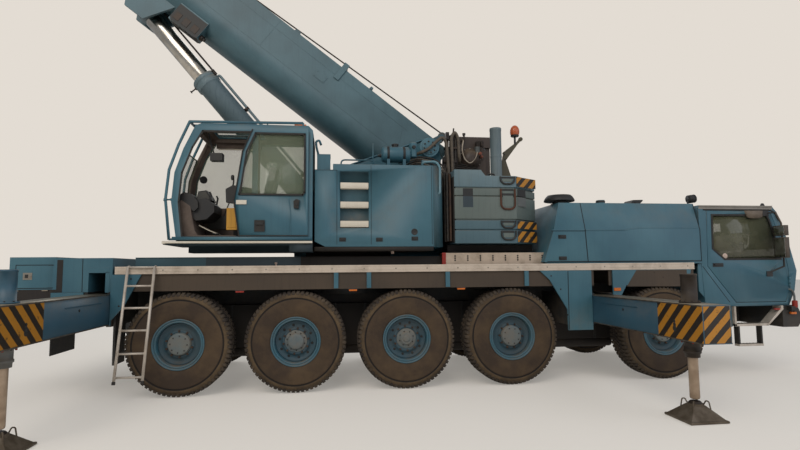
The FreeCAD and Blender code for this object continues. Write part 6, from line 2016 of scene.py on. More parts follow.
def addFrameStrip(mesh, loop, y, side, width, depth, slot=0):
    # a moulding round a window: the loop is widened by width on both sides, depth proud
    centre = Vector((sum(x for x, z in loop) / len(loop), 0, sum(z for x, z in loop) / len(loop)))

    def moved(distance):
        count, made = len(loop), []
        for i in range(count):
            before, here, after = (Vector((loop[j % count][0], 0, loop[j % count][1]))
                                   for j in (i - 1, i, i + 1))
            first, second = (here - before).normalized(), (after - here).normalized()
            normal = Vector((-(first.z + second.z), 0, first.x + second.x)).normalized()
            if normal.dot(here - centre) < 0:
                normal = -normal
            stretch = 1 / max(0.4, abs(normal.dot(Vector((-first.z, 0, first.x)))))
            made.append(here + normal * distance * stretch)
        return made
    inner, outer = moved(-width / 2), moved(width / 2)
    rings = [[Vector((p.x, y - side * 0.004, p.z)) for p in outer],
             [Vector((p.x, y + side * depth, p.z)) for p in outer],
             [Vector((p.x, y + side * depth, p.z)) for p in inner],
             [Vector((p.x, y - side * 0.012, p.z)) for p in inner]]
    rings.append(rings[0])
    addRings(mesh, rings, slot, False, False)


visorPlastic = rubber("dustyVisorPlastic", {"colour": "#6b5f52", "dustColour": "#7d7163", "dust": 0.6,
                                            "grain": 0.003, "patch": 0.12, "roughness": 0.6,
                                            "bump": 0.15})
chalkyRoofPaint = paintedSteel("chalkyRoofPaint", variant(
    blueLook, colour="#847f76", faded="#98928a", streaks=0.3, streakColour="#5a5952", chips=0.3, roughness=0.6))
greyGreenShell = rubber("greyGreenMirrorShell", {"colour": "#4d443c", "dustColour": "#6a6054", "dust": 0.5,
                                                 "grain": 0.003, "patch": 0.12, "roughness": 0.55,
                                                 "bump": 0.15})


def cabinLiningFaces(mesh):
    # faces of the shell that look into the cab get the lining, the work lamp goes black
    for face in mesh.faces:
        middle = face.calc_center_median()
        x = middle.x - shiftX
        if abs(middle.y) < 1.365 and 4.99 < x < 6.6 and 1.15 < middle.z < 2.78:
            face.material_index = 1
        if middle.z > 2.815:
            face.material_index = 2
        if x > 6.64 and abs(middle.y) < 0.63 and 1.4 < middle.z < 1.66:
            face.material_index = 2


softenedNode("carrier_cab", "carrierCab", [blueEnamel, greyPlastic, blackPlastic], 0.016, segments=3,
             keep=cabinLiningFaces, shortest=0.06)


def cabinDoorFaces(mesh):
    # pane, visor, mirror arms and mirror heads each get their own material
    for face in mesh.faces:
        middle = face.calc_center_median()
        x, out = middle.x - shiftX, abs(middle.y)
        if all(1.371 < abs(vertex.co.y) < 1.3785 for vertex in face.verts):
            face.material_index = 1
        elif out > 1.4015 and x < 6.15 and middle.z > 2.58:
            face.material_index = 2
        elif out > 1.43 and 6.298 < x < 6.372 and (1.915 < middle.z < 2.265 or middle.z > 2.285) \
                and abs(out - 1.545) < 0.12 and min(v.co.z for v in face.verts) > 1.915:
            face.material_index = 4
        elif out > 1.402 and x > 6.15 and middle.z > 1.62:
            face.material_index = 3


for doorNode, doorPiece in (("carrier_door_right", "cabinDoorRight"),
                            ("carrier_door_left", "cabinDoorLeft")):
    softenedNode(doorNode, doorPiece, [blueEnamel, darkGlass, visorPlastic, blackPlastic, greyGreenShell],
                 0.006, keep=cabinDoorFaces, shortest=0.06)


def cabinSide(side):
    name = "Right" if side == right else "Left"
    y = side * cabinLook["half"]
    body = "carrier_door_right" if side == right else "carrier_door_left"
    mesh = newMesh()
    addFrameStrip(mesh, cabinLook["window"], y, side, 0.03, 0.006, 0)
    finishPiece(mesh, "cabinWindowSeal" + name, body, blackRubber, bevel=0.003)
    mesh = newMesh()
    addPullHandle(mesh, (5.265, y, 1.81), side, 0.19)
    # round vent in the window's lower corner
    addTurned(mesh, (5.422, side * 1.372, 1.959), (0, side, 0),
              [(-0.002, 0.046), (0.008, 0.046), (0.012, 0.036), (0.012, 0.02)], 1, 24)
    addTurned(mesh, (5.422, side * 1.372, 1.959), (0, side, 0), [(-0.002, 0.021), (0.01, 0.02), (0.0105, 0.001)],
              0, 18)
    finishPiece(mesh, "cabinDoorHandle" + name, body, [machineBlack, palePlastic], bevel=0.002)
    mesh = newMesh()
    # rain gutter along the roof edge
    gutter = [(5.05, y, 2.738), (6.3, y, 2.738), (6.38, y, 2.7), (6.45, y, 2.56)]
    addTube(mesh, roundedPath(gutter, 0.06, 4), 0.013, 0, 10)
    addPrism(mesh, [(4.97, y - side * 0.02, 2.79), (6.32, y - side * 0.02, 2.79),
                    (6.34, y - side * 0.02, 2.8105), (4.97, y - side * 0.02, 2.8105)],
             Vector((0, side * 0.038, 0)), 3)
    addPrism(mesh, [(4.97, y - side * 0.02, 2.748), (6.33, y - side * 0.02, 2.748),
                    (6.345, y - side * 0.02, 2.79), (4.97, y - side * 0.02, 2.79)],
             Vector((0, side * 0.0235, 0)), 3)
    finishPiece(mesh, "cabinTrim" + name, "carrier", [blackRubber, boomEnamel, greyPlastic, chalkyRoofPaint],
                bevel=0.002)
    mesh = newMesh()
    addPanelLine(mesh, [(4.985, y - side * 0.0005, 1.79), (5.44, y - side * 0.0005, 1.19)], 0.01)
    finishPiece(mesh, "cabinSkirtLine" + name, "carrier", seamShadow)
    # silvered glass in the rear face of each mirror head, clamps and feet of the arm
    mesh = newMesh()
    for low, high in ((1.92, 2.26), (2.29, 2.46)):
        addBlock(mesh, *sortedCorners((6.2975, side * 1.445, low + 0.014), (6.301, side * 1.645, high - 0.014)), 1)
        addBlock(mesh, *sortedCorners((6.37, side * 1.46, low + 0.03), (6.392, side * 1.63, high - 0.03)), 2)
        addTurned(mesh, (6.375, side * 1.525, (low + high) / 2 - 0.03), (0, 0, 1),
                  [(0, 0.02), (0.004, 0.024), (0.056, 0.024), (0.06, 0.02)], 0, 16)
    for z in (2.688, 1.66):
        addBlock(mesh, *sortedCorners((6.15, side * 1.3985, z - 0.05), (6.26, side * 1.412, z + 0.04)), 0)
    finishPiece(mesh, "mirrorFittings" + name, body, [blackPlastic, mirrorGlass, greyGreenShell],
                bevel=0.004)


def mirrorMaterial():
    material, tree, shader = newMaterial("silveredMirrorGlass")
    place = objectPlace(tree)
    haze = addNode(tree, "ShaderNodeTexNoise", {"Scale": 1 / 0.08, "Detail": 3.0}, {"Vector": place})
    colour = mixColours(tree, shareBetween(tree, haze.outputs["Fac"], 0.4, 0.7),
                        hexToLinear("#c8ccce"), hexToLinear("#a9a59b"))
    tree.links.new(colour, shader.inputs["Base Color"])
    shader.inputs["Metallic"].default_value = 1.0
    rough = addNode(tree, "ShaderNodeMapRange", {"To Min": 0.03, "To Max": 0.16},
                    {"Value": haze.outputs["Fac"]})
    tree.links.new(rough.outputs["Result"], shader.inputs["Roughness"])
    return material


mirrorGlass = mirrorMaterial()
onBothSides(cabinSide)


def cabinFront():
    mesh = newMesh()
    half = 1.29
    # windscreen seal, follows the slanted screen
    low, high = Vector((6.612, 0, 2.1)), Vector((6.448, 0, 2.635))
    rubber = [(low + Vector((0.012, y, 0))) for y in (-half, half)]
    rubber += [(high + Vector((0.012, y, 0))) for y in (half, -half)]
    addTube(mesh, rubber + [rubber[0]], 0.013, 0, 8, False)
    # wipers parked along the lower edge
    for y in (-0.95, -0.15, 0.65):
        base = Vector((6.628, y, 2.07))
        tip = Vector((6.606, y + 0.52, 2.19))
        addTube(mesh, [base, base + Vector((0.012, 0.06, 0.03)), tip], 0.007, 0, 8)
        addTube(mesh, [tip + Vector((0.0, -0.3, -0.04)), tip + Vector((-0.002, 0.24, 0.035))], 0.006, 0, 8)
        addTurned(mesh, base - Vector((0.02, 0, 0)), (1, 0, 0), [(0, 0.02), (0.03, 0.02), (0.034, 0.01)],
                  0, 14)
    # roof marker lamps
    for y in (-1.1, -0.35, 0.35, 1.1):
        addBlock(mesh, (6.2, y - 0.05, 2.81), (6.27, y + 0.05, 2.835), 1)
    finishPiece(mesh, "cabinFrontTrim", "carrier", [blackRubber, amberLens], bevel=0.003)
    mesh = newMesh()
    # work lamp on the roof's rear edge
    addTurned(mesh, (5.205, -1.0, 2.982), (1, 0, 0.148), [(-0.012, 0.0735), (0.001, 0.0735), (0.001, 0.066)],
              0, 28)
    addTurned(mesh, (5.205, -1.0, 2.982), (1, 0, 0.148), [(-0.001, 0.066), (0.004, 0.05), (0.006, 0.001)],
              1, 28)
    # aerial foot and horn
    addTurned(mesh, (6.3, -1.25, 2.811), (0, 0, 1), [(0, 0.035), (0.03, 0.033), (0.06, 0.02),
                                                     (0.065, 0.001)], 0, 18)
    addTurned(mesh, (5.6, 0.4, 2.87), (1, 0, 0), [(0, 0.02), (0.3, 0.025), (0.38, 0.06), (0.385, 0.065),
                                                  (0.38, 0.055)], 2, 20)
    addBlock(mesh, (5.66, 0.385, 2.81), (5.72, 0.415, 2.86), 0)
    finishPiece(mesh, "cabinRoofLamps", "carrier", [blackPlastic, clearLens, brightSteel], bevel=0.002)


cabinFront()


def bumperDetail():
    mesh = newMesh()
    for side in (right, left):
        # twin headlamps, indicator and fog lamp let into the bumper
        for y, radius in ((1.14, 0.085), (0.92, 0.085)):
            centre = (6.75, side * y, 0.93)
            addTurned(mesh, centre, (1, 0, 0), [(-0.04, radius + 0.012), (0.012, radius + 0.012),
                                                (0.016, radius), (0.012, radius - 0.008)], 0, 28)
            addTurned(mesh, centre, (1, 0, 0), [(0.0, radius - 0.006), (0.012, radius - 0.02),
                                                (0.0155, 0.03), (0.016, 0.001)], 1, 28)
        addBlock(mesh, *sortedCorners((6.738, side * 1.36, 0.86), (6.757, side * 1.26, 0.99)), 2)
    # blank number plate on its carrier
    addBlock(mesh, (6.755, -0.27, 0.87), (6.7595, 0.27, 0.98), 3)
    for y in (-0.62, 0.62):
        eye = [(6.74, y - 0.06, 0.8), (6.76, y - 0.06, 0.8)]
        addTurned(mesh, (6.7, y, 0.82), (1, 0, 0), [(0, 0.05), (0.055, 0.05), (0.0595, 0.04),
                                                    (0.0595, 0.02)], 0, 18)
    finishPiece(mesh, "bumperLamps", "carrier", [blackPlastic, clearLens, amberLens, greyPlastic],
                bevel=0.002)
    mesh = newMesh()
    # corner marker lamps that show past the cab on the near side
    for side in (right, left):
        addTurned(mesh, (6.62, side * 1.425, 1.145), (0, 0, 1), [(-0.06, 0.03), (-0.055, 0.042), (0.05, 0.042),
                                                                  (0.06, 0.03)], 0, 16)
        addBlock(mesh, *sortedCorners((6.54, side * 1.39, 0.975), (6.64, side * 1.43, 1.012)), 1)
        addBlock(mesh, *sortedCorners((6.24, side * 1.395, 1.05), (6.34, side * 1.43, 1.08)), 0)
        stalk = [(6.52, side * 1.37, 1.4), (6.6, side * 1.415, 1.38), (6.62, side * 1.425, 1.3),
                 (6.62, side * 1.425, 1.2)]
        addTube(mesh, roundedPath(stalk, 0.05, 4), 0.017, 3, 12)
        addTube(mesh, [(6.62, side * 1.425, 1.09), (6.6, side * 1.41, 1.0)], 0.014, 2, 8)
    finishPiece(mesh, "cornerMarkers", "carrier", [redLens, amberLens, blackRubber, greyEnamel], bevel=0.003)


bumperDetail()
print("stage: carrier cab ready")


# side rails, ladders, cab steps

def railsPiece():
    mesh = newMesh()
    for side in (right, left):
        # hollow plank section with two shallow grooves along it
        y0, y1 = 1.468, 1.5
        profile = [(y0, 1.745), (y1 - 0.002, 1.745), (y1, 1.748), (y1, 1.772), (y1 - 0.003, 1.775),
                   (y1 - 0.003, 1.779), (y1, 1.782), (y1, 1.818), (y1 - 0.003, 1.821),
                   (y1 - 0.003, 1.825), (y1, 1.828), (y1, 1.851), (y1 - 0.002, 1.854), (y0, 1.854)]
        addPrism(mesh, [(-4.17, side * y, z) for y, z in profile], Vector((8.93, 0, 0)), 0)
        # slotted head screws
        for i in range(19):
            x = -4.0 + i * 0.48
            addTurned(mesh, (x, side * 1.499, 1.8), (0, side, 0), [(0, 0.011), (0.002, 0.011),
                                                                   (0.0035, 0.007)], 1, 12)
        for i in range(2):
            addBlock(mesh, *sortedCorners((-4.171 + i * 8.931, side * 1.47, 1.75),
                                          (-4.165 + i * 8.921, side * 1.498, 1.85)), 2)
    finishPiece(mesh, "sideRails", "carrier", [railAluminium, brightSteel, blackPlastic],
                replaces=["rails_and_ladders"])


railsPiece()


def hungLadder(side):
    mesh = newMesh()
    topPlace, footPlace = Vector((0, side * 1.532, 1.844)), Vector((0, side * 1.872, 0.3))
    drop = footPlace - topPlace
    rails = (-3.985, -3.625)
    for x in rails:
        start, end = topPlace + Vector((x, 0, 0)), footPlace + Vector((x, 0, 0))
        addTube(mesh, [start, end], 0.019, 0, 14)
        hook = [start, start + Vector((0, -side * 0.005, 0.012)), Vector((x, side * 1.49, 1.862)),
                Vector((x, side * 1.462, 1.862)), Vector((x, side * 1.455, 1.81))]
        addTube(mesh, roundedPath(hook, 0.02, 4), 0.0085, 0, 10)
        addTurned(mesh, end, drop.normalized(), [(-0.03, 0.019), (-0.025, 0.0235), (0.008, 0.0235),
                                                 (0.012, 0.018)], 1, 14)
    addTube(mesh, [topPlace + Vector((rails[0], 0, 0)), topPlace + Vector((rails[1], 0, 0))], 0.013, 0, 12)
    finishPiece(mesh, "ladderRails" + ("Right" if side == right else "Left"), "carrier",
                [ladderAluminium, blackRubber])
    rung = newMesh()
    addTube(rung, [(-0.18, 0, 0), (0.18, 0, 0)], 0.0145, 0, 12)
    for x in (-0.168, 0.158):
        addTurned(rung, (x, 0, 0), (1, 0, 0), [(0, 0.0145), (0.001, 0.0185), (0.009, 0.0185),
                                               (0.01, 0.0145)], 0, 12)
    row = repeated(alongLine, rung, {"Count": 5, "Step": tuple(drop * 0.195), "Finish": ladderAluminium})
    first = topPlace + drop * 0.17
    place = Matrix.Translation(at(-3.805, first.y, first.z))
    name = "ladderRungs" + ("Right" if side == right else "Left")
    placedPiece(gathered(name, [(row, place)]), name, "carrier")


onBothSides(hungLadder)


def cabinStep(side):
    mesh = newMesh()
    y0, y1 = sorted((side * 1.26, side * 1.43))
    addBlock(mesh, (5.486, y0, 0.797), (6.09, y1, 0.835), 0)
    addBlock(mesh, (5.486, y0, 0.8), (5.52, y1, 1.1228), 0)
    addPrism(mesh, [(6.06, y0, 0.797), (6.1, y0, 0.797), (6.395, y0, 1.06), (6.395, y0, 1.1228),
                    (6.35, y0, 1.1228), (6.35, y0, 1.08)], Vector((0, y1 - y0, 0)), 0)
    low, high = sorted((side * 1.32, side * 1.43))
    for x in (5.546, 5.957):
        addBlock(mesh, (x, low + 0.01, 0.47), (x + 0.03, high, 0.797), 1)
    addBlock(mesh, (5.546, low, 0.47), (5.987, high, 0.505), 0)
    for i in range(9):
        addBlock(mesh, (5.56 + i * 0.055, y0 + 0.01, 0.835), (5.575 + i * 0.055, y1 - 0.01, 0.839), 2)
    for i in range(7):
        addBlock(mesh, (5.57 + i * 0.06, low + 0.008, 0.505), (5.584 + i * 0.06, high - 0.008, 0.509), 2)
    finishPiece(mesh, "cabSteps" + ("Right" if side == right else "Left"), "carrier",
                [ladderAluminium, blackRubber, brightSteel], bevel=0.004)


onBothSides(cabinStep)


# deck, skirts, side panels and what stands on the deck

def perforatedPlank():
    # aluminium walkway plank that lies on the deck behind the cab house, with its rows of holes
    mesh = newMesh()
    x0, x1, y, z0, z1 = 0.6, 2.315, -1.3, 1.842, 2.035
    addPrism(mesh, [(x0, y, z0), (x0, y - 0.003, z0), (x0, y - 0.003, z1), (x0, y + 0.25, z1),
                    (x0, y + 0.25, z0), (x0, y + 0.247, z0), (x0, y + 0.247, z1 - 0.003),
                    (x0, y, z1 - 0.003)], Vector((x1 - x0, 0, 0)), 0)
    data = [(plainMesh(shiftedMesh(mesh), plankAluminium), Matrix())]
    # each hole is a shallow dark disc of painted shade
    hole = newMesh()
    addTurned(hole, (0, 0, 0), (0, -1, 0), [(-0.001, 0.014), (0.0016, 0.014), (0.0012, 0.011),
                                           (0.0006, 0.001)], 0, 12)
    row = repeated(alongLine, hole, {"Count": 8, "Step": (0.2055, 0.0, 0.0), "Finish": paintedHoleShade})
    for z in (1.985, 1.952, 1.919):
        data.append((row, Matrix.Translation(at(x0 + 0.205, y - 0.003, z))))
    top = newMesh()
    addTurned(top, (0, 0, 0), (0, 0, 1), [(-0.001, 0.014), (0.0016, 0.014), (0.0012, 0.011),
                                         (0.0006, 0.001)], 0, 12)
    row = repeated(alongLine, top, {"Count": 14, "Step": (0.123, 0.0, 0.0), "Finish": paintedHoleShade})
    for dy in (0.06, 0.125, 0.19):
        data.append((row, Matrix.Translation(at(x0 + 0.06, y + dy, z1))))
    placedPiece(gathered("walkwayPlank", data), "walkwayPlank", "carrier")
    mesh = newMesh()
    # plastic cap on its rear end
    addBlock(mesh, (x0 - 0.004, y - 0.006, z0 - 0.002), (x0 + 0.058, y + 0.02, z1 + 0.004), 0)
    finishPiece(mesh, "plankCap", "carrier", redLens, bevel=0.004)


def shiftedMesh(mesh):
    bmesh.ops.translate(mesh, verts=mesh.verts, vec=(shiftX, 0, 0))
    return mesh


perforatedPlank()


def sidePanelDetail(side):
    name = "Right" if side == right else "Left"
    mesh = newMesh()
    y = side * 1.496
    # on the left it runs behind the beam's opening, which sits further back there
    x = 2.58 if side == right else 2.53
    addPanelLine(mesh, [(x, y, 1.735), (x - 0.01, y, 0.82)], 0.012)
    finishPiece(mesh, "panelLines" + name, "carrier", seamShadow)
    mesh = newMesh()
    for x, z in ((2.3, 1.66), (2.45, 1.45), (2.55, 1.05), (4.05, 1.7), (4.2, 1.62), (-3.95, 1.68),
                 (-4.1, 1.3)):
        addTurned(mesh, (x, side * 1.495, z), (0, side, 0), [(0, 0.012), (0.004, 0.012), (0.006, 0.007)],
                  0, 8)
    finishPiece(mesh, "panelScrews" + name, "carrier", oilySteel)
    # side marker lamps below the rail
    mesh = newMesh()
    for x, slot in ((-2.455, 1), (-0.808, 0), (0.854, 0)):
        addBlock(mesh, *sortedCorners((x - 0.06, side * 1.44, 1.465), (x + 0.06, side * 1.472, 1.49)), slot)
        addBlock(mesh, *sortedCorners((x - 0.075, side * 1.44, 1.49), (x + 0.075, side * 1.468, 1.503)), 2)
    if side == right:
        addBlock(mesh, (3.342, -1.51, 1.412), (3.455, -1.49, 1.46), 0)
    finishPiece(mesh, "sideMarkers" + name, "carrier", [amberLens, redLens, blackPlastic], bevel=0.003)


onBothSides(sidePanelDetail)


def deckDetail():
    # anti-slip strips, hatches and hose ends on the open deck
    mesh = newMesh()
    for side in (right, left):
        for x0, x1 in ((-4.0, -2.2), (0.7, 2.15)):
            for i in range(3):
                y = side * (1.0 + i * 0.13)
                addBlock(mesh, *sortedCorners((x0, y - 0.045, 1.84), (x1, y + 0.045, 1.8425)), 0)
    finishPiece(mesh, "deckStrips", "carrier", machineBlack)
    mesh = newMesh()
    for x0, x1 in ((-4.05, -3.1), (-3.02, -2.1), (0.75, 1.9)):
        addBlock(mesh, (x0, -0.62, 1.84), (x1, 0.62, 1.846), 0)
        for y in (-0.56, 0.56):
            for x in (x0 + 0.06, x1 - 0.06):
                addTurned(mesh, (x, y, 1.846), (0, 0, 1), [(0, 0.014), (0.006, 0.014), (0.008, 0.008)],
                          1, 6)
    finishPiece(mesh, "deckHatches", "carrier", [deckEnamel, oilySteel], bevel=0.003)


deckDetail()


def rearBoxDetail():
    for side in (right, left):
        name = "Right" if side == right else "Left"
        y = side * 1.4
        mesh = newMesh()
        frame = [(-5.0, y, 1.562), (-5.516, y, 1.562), (-5.516, y, 1.887), (-5.0, y, 1.887)]
        addPanelLine(mesh, frame, 0.01)
        y = side * 1.468
        addPanelLine(mesh, [(-4.612, y, 1.975), (-4.606, y, 1.45)], 0.009)
        for z in (1.566, 1.883):
            addPanelLine(mesh, [(-5.06, y, z), (-4.99, y, z)], 0.01)
        finishPiece(mesh, "lockerLines" + name, "carrier", seamShadow)
        mesh = newMesh()
        y = side * 1.4
        # stainless latch plate with its dished finger pull
        addBlock(mesh, *sortedCorners((-5.42, y, 1.68), (-5.3, y + side * 0.004, 1.78)), 0)
        addBlock(mesh, *sortedCorners((-5.395, y, 1.705), (-5.35, y + side * 0.0055, 1.755)), 1)
        addTurned(mesh, (-5.322, y + side * 0.002, 1.73), (0, side, 0), [(0, 0.011), (0.01, 0.011),
                                                                         (0.012, 0.006)], 0, 14)
        for x in (-5.5, -5.12):
            addTurned(mesh, (x - 0.04, y + side * 0.009, 1.528), (1, 0, 0), [(0, 0.009), (0.08, 0.009)],
                      0, 12)
        finishPiece(mesh, "lockerLatch" + name, "carrier", [brightSteel, machineBlack], bevel=0.0012)
    mesh = newMesh()
    # tail: lamp clusters, blank plate, coupling jaw
    x = -5.72
    for side in (right, left):
        for i, slot in enumerate((1, 2, 1, 3)):
            y = side * (1.3 - i * 0.11)
            addTurned(mesh, (x + 0.001, y, 1.3), (-1, 0, 0), [(-0.02, 0.052), (-0.004, 0.052),
                                                             (-0.001, 0.046)], 0, 20)
            addTurned(mesh, (x + 0.001, y, 1.3), (-1, 0, 0), [(-0.01, 0.044), (0.0, 0.04), (0.001, 0.001)],
                      slot, 20)
    finishPiece(mesh, "tailLamps", "carrier", [blackPlastic, redLens, amberLens, clearLens])
    mesh = newMesh()
    addBlock(mesh, (x - 0.0005, -0.27, 1.34), (x + 0.004, 0.27, 1.45), 0)
    for y0, y1 in ((-0.09, -0.05), (0.05, 0.09)):
        addBlock(mesh, (x - 0.001, y0, 1.12), (x + 0.05, y1, 1.27), 1)
    addTurned(mesh, (x + 0.01, 0, 1.29), (0, 0, -1), [(0, 0.022), (0.01, 0.018), (0.17, 0.018)], 1, 16)
    finishPiece(mesh, "tailPlate", "carrier", [greyPlastic, oilySteel], bevel=0.002)


rearBoxDetail()


underBox = {"inner": 0.36, "outer": 0.66, "bottom": 0.56, "top": 1.24, "underBeam": 0.86, "clear": 0.42}


def underframeDetail():
    # tanks and boxes hung between the axles, inboard of the steered wheels; their near-black paint is partly painted
    # shade under the frame
    hubs = sorted((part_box("wheel_%d_right" % axle)[0].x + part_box("wheel_%d_right" % axle)[1].x) / 2 - shiftX
                  for axle in range(1, 6))
    for side in (right, left):
        mesh = newMesh()
        for number, (rear, ahead) in enumerate(zip(hubs, hubs[1:])):
            x0, x1 = rear + underBox["clear"], ahead - underBox["clear"]
            # the front outrigger beams slide in over the foremost tank
            top = underBox["underBeam"] if rear < 2.95 < ahead else underBox["top"]
            inner, outer = side * underBox["inner"], side * underBox["outer"]
            addBlock(mesh, *sortedCorners((x0, inner, underBox["bottom"]), (x1, outer, top)), 0)
            for share in (0.2, 0.8):
                x = x0 + (x1 - x0) * share
                addBlock(mesh, *sortedCorners((x - 0.025, inner, underBox["bottom"] - 0.004),
                                              (x + 0.025, outer + side * 0.004, top)), 1)
            addTurned(mesh, (x0 - 0.0, side * 0.56, 0.5), (1, 0, 0),
                      [(0.0, 0.02), (0.01, 0.075), (0.03, 0.09), (x1 - x0 - 0.03, 0.09),
                       (x1 - x0 - 0.01, 0.075), (x1 - x0, 0.02)], 0, 24)
        finishPiece(mesh, "underframeTanks" + ("Right" if side == right else "Left"), "carrier",
                    [sootAndShadePaint, machineBlack], bevel=0.012)
        mesh = newMesh()
        # mud flap hung under the rear overhang
        addBlock(mesh, *sortedCorners((-5.02, side * 1.42, 0.62), (-5.006, side * 0.74, 1.2)), 0)
        addBlock(mesh, *sortedCorners((-5.026, side * 1.42, 1.12), (-5.0, side * 0.74, 1.2)), 1)
        finishPiece(mesh, "rearFlap" + ("Right" if side == right else "Left"), "carrier",
                    [blackRubber, machineBlack], bevel=0.003)


underframeDetail()


def brownPanels():
    # panels in the grey-brown paint of the skirts, on the blue side, and near-black plates of painted shade below and
    # beside the locker
    for side in (right, left):
        name = "Right" if side == right else "Left"
        mesh = newMesh()
        guard = [(3.742, 1.738), (3.565, 1.479), (4.62, 1.467), (4.62, 1.738)]
        addPrism(mesh, [(x, side * 1.493, z) for x, z in guard], Vector((0, side * 0.0062, 0)), 0)
        # painted shade: a dark band below the locker door
        addBlock(mesh, *sortedCorners((-5.512, side * 1.399, 1.4), (-5.03, side * 1.4022, 1.542)), 1)
        # painted shade: dark strips in the recess at the locker's rear edge
        low = 1.4 if side == right else 1.5
        addBlock(mesh, *sortedCorners((-5.03, side * 1.467, low), (-4.946, side * 1.4702, 1.542)), 1)
        addBlock(mesh, *sortedCorners((-4.946, side * 1.467, low + 0.02), (-4.868, side * 1.4702, 1.957)), 1)
        finishPiece(mesh, "brownPanels" + name, "carrier", [skirtPaint, sootAndShadePaint], bevel=0.0015)
        mesh = newMesh()
        # folded frame that narrows the opening beside the locker
        addBlock(mesh, *sortedCorners((-4.54, side * 1.465, 1.769), (-4.25, side * 1.4705, 1.848)), 0)
        addBlock(mesh, *sortedCorners((-4.303, side * 1.465, 1.49), (-4.25, side * 1.4705, 1.78)), 0)
        finishPiece(mesh, "openingFrame" + name, "carrier", blueEnamel, bevel=0.0015)
        mesh = newMesh()
        # low coaming along the deck's edge
        for x0, x1, slot in ((-4.0, -3.0, 2), (-3.0, -1.6, 0), (-1.6, 0.597, 1)):
            addBlock(mesh, *sortedCorners((x0, side * 1.215, 1.838), (x1, side * 1.2, 1.985)), slot)
            addBlock(mesh, *sortedCorners((x0, side * 1.225, 1.978), (x1, side * 1.2, 1.99)), slot)
        # knob of the ladder catch
        addTurned(mesh, (-1.97, side * 1.22, 1.85), (0, 0, 1), [(0, 0.012), (0.03, 0.012), (0.034, 0.022),
                                                               (0.05, 0.022), (0.056, 0.012)], 3, 14)
        finishPiece(mesh, "deckCoaming" + name, "carrier",
                    [deckEnamel, sootAndShadePaint, houseCornerShade, palePlastic], bevel=0.003)


brownPanels()
print("stage: carrier body ready")


def cabinInterior():
    # driver's cab: dashboard, steering wheel, engine cover between the seats
    mesh = newMesh()
    dash = [(6.15, 1.17), (6.15, 1.82), (6.2, 1.88), (6.29, 1.96), (6.54, 1.905), (6.6, 1.72),
            (6.55, 1.4), (6.48, 1.17)]
    addPrism(mesh, sideOutline(dash, -1.245), Vector((0, 2.49, 0)), 0)
    addPrism(mesh, sideOutline([(6.148, 1.66), (6.12, 1.7), (6.14, 1.84), (6.2, 1.885)], 0.42),
             Vector((0, 0.72, 0)), 1)
    addPrism(mesh, sideOutline([(6.2, 1.885), (6.17, 1.97), (6.31, 2.02), (6.36, 1.95)], 0.5),
             Vector((0, 0.56, 0)), 1)
    centre = Vector((6.02, 0.78, 1.96))
    tilt = Vector((-0.5, 0, 1)).normalized()
    addTube(mesh, [centre - tilt * 0.012, centre - tilt * 0.32], 0.032, 1, 16)
    addTurned(mesh, centre, tilt, [(-0.03, 0.03), (-0.028, 0.075), (0.0, 0.08), (0.012, 0.06),
                                   (0.014, 0.001)], 1, 28)
    across, upward = frameAlong(tilt)
    rim = []
    for i in range(12):
        turn = i * math.pi / 6
        rim.append((0.015 * math.sin(turn), 0.226 + 0.015 * math.cos(turn)))
    addTurned(mesh, centre, tilt, rim, 1, 48, True, True)
    for turn in (0.0, 2.2, 4.1):
        way = across * math.cos(turn) + upward * math.sin(turn)
        addTube(mesh, [centre + way * 0.06, centre + way * 0.225], 0.012, 1, 10)
    addBlock(mesh, (5.1, -0.42, 1.17), (6.0, 0.42, 1.72), 0)
    addBlock(mesh, (5.2, -0.38, 1.72), (5.9, 0.38, 1.76), 2)
    addTube(mesh, [(5.75, 0.3, 1.74), (5.78, 0.32, 1.98)], 0.012, 1, 10)
    addTurned(mesh, (5.78, 0.32, 1.96), (0.1, 0.08, 1), [(0, 0.02), (0.02, 0.03), (0.06, 0.026),
                                                       (0.07, 0.008)], 1, 16)
    addBlock(mesh, (5.005, -1.355, 1.166), (6.48, 1.355, 1.174), 2)
    for y in (-0.78, 0.78):
        addBlock(mesh, (5.3, y - 0.2, 1.174), (5.72, y + 0.2, 1.36), 1)
        addBlock(mesh, (5.24, y - 0.24, 1.36), (5.78, y + 0.24, 1.41), 1)
    # bunk shelf and curtain rail along the back wall
    addBlock(mesh, (5.005, -1.34, 1.9), (5.12, 1.34, 1.96), 0)
    addTube(mesh, [(5.04, -1.3, 2.68), (5.04, 1.3, 2.68)], 0.012, 1, 8)
    finishPiece(mesh, "cabinInterior", "carrier", [greyPlastic, blackPlastic, floorMat], bevel=0.008,
                replaces=["carrier_cab_fittings"])
    for y, name in ((-0.78, "cabinSeatRight"), (0.78, "cabinSeatLeft")):
        paddedPiece(name + "Pad", "carrier", (0.52, 0.5, 0.15), (5.52, y, 1.48), 2.0, seatCloth,
                    "carrier_cab_fittings", (-0.2, 0.12))
        paddedPiece(name + "Back", "carrier", (0.76, 0.48, 0.13), (5.24, y, 1.93), -81.0, seatCloth,
                    "carrier_cab_fittings", (-0.3, -0.1, 0.1, 0.3))


cabinInterior()
print("stage: carrier cab interior ready")


# outrigger beams with their striped ends, jack casings and feet

outriggers = {"front_right": (3.15, right, 0.92), "front_left": (2.75, left, 0.92),
              "rear_right": (-4.4, right, 1.036), "rear_left": (-4.81, left, 1.036)}
beamLook = {"half": 0.172, "height": 0.434, "outer": 3.94, "jackY": 3.51, "casing": 0.088,
            "above": 0.345, "below": 0.155, "striped": 3.14}


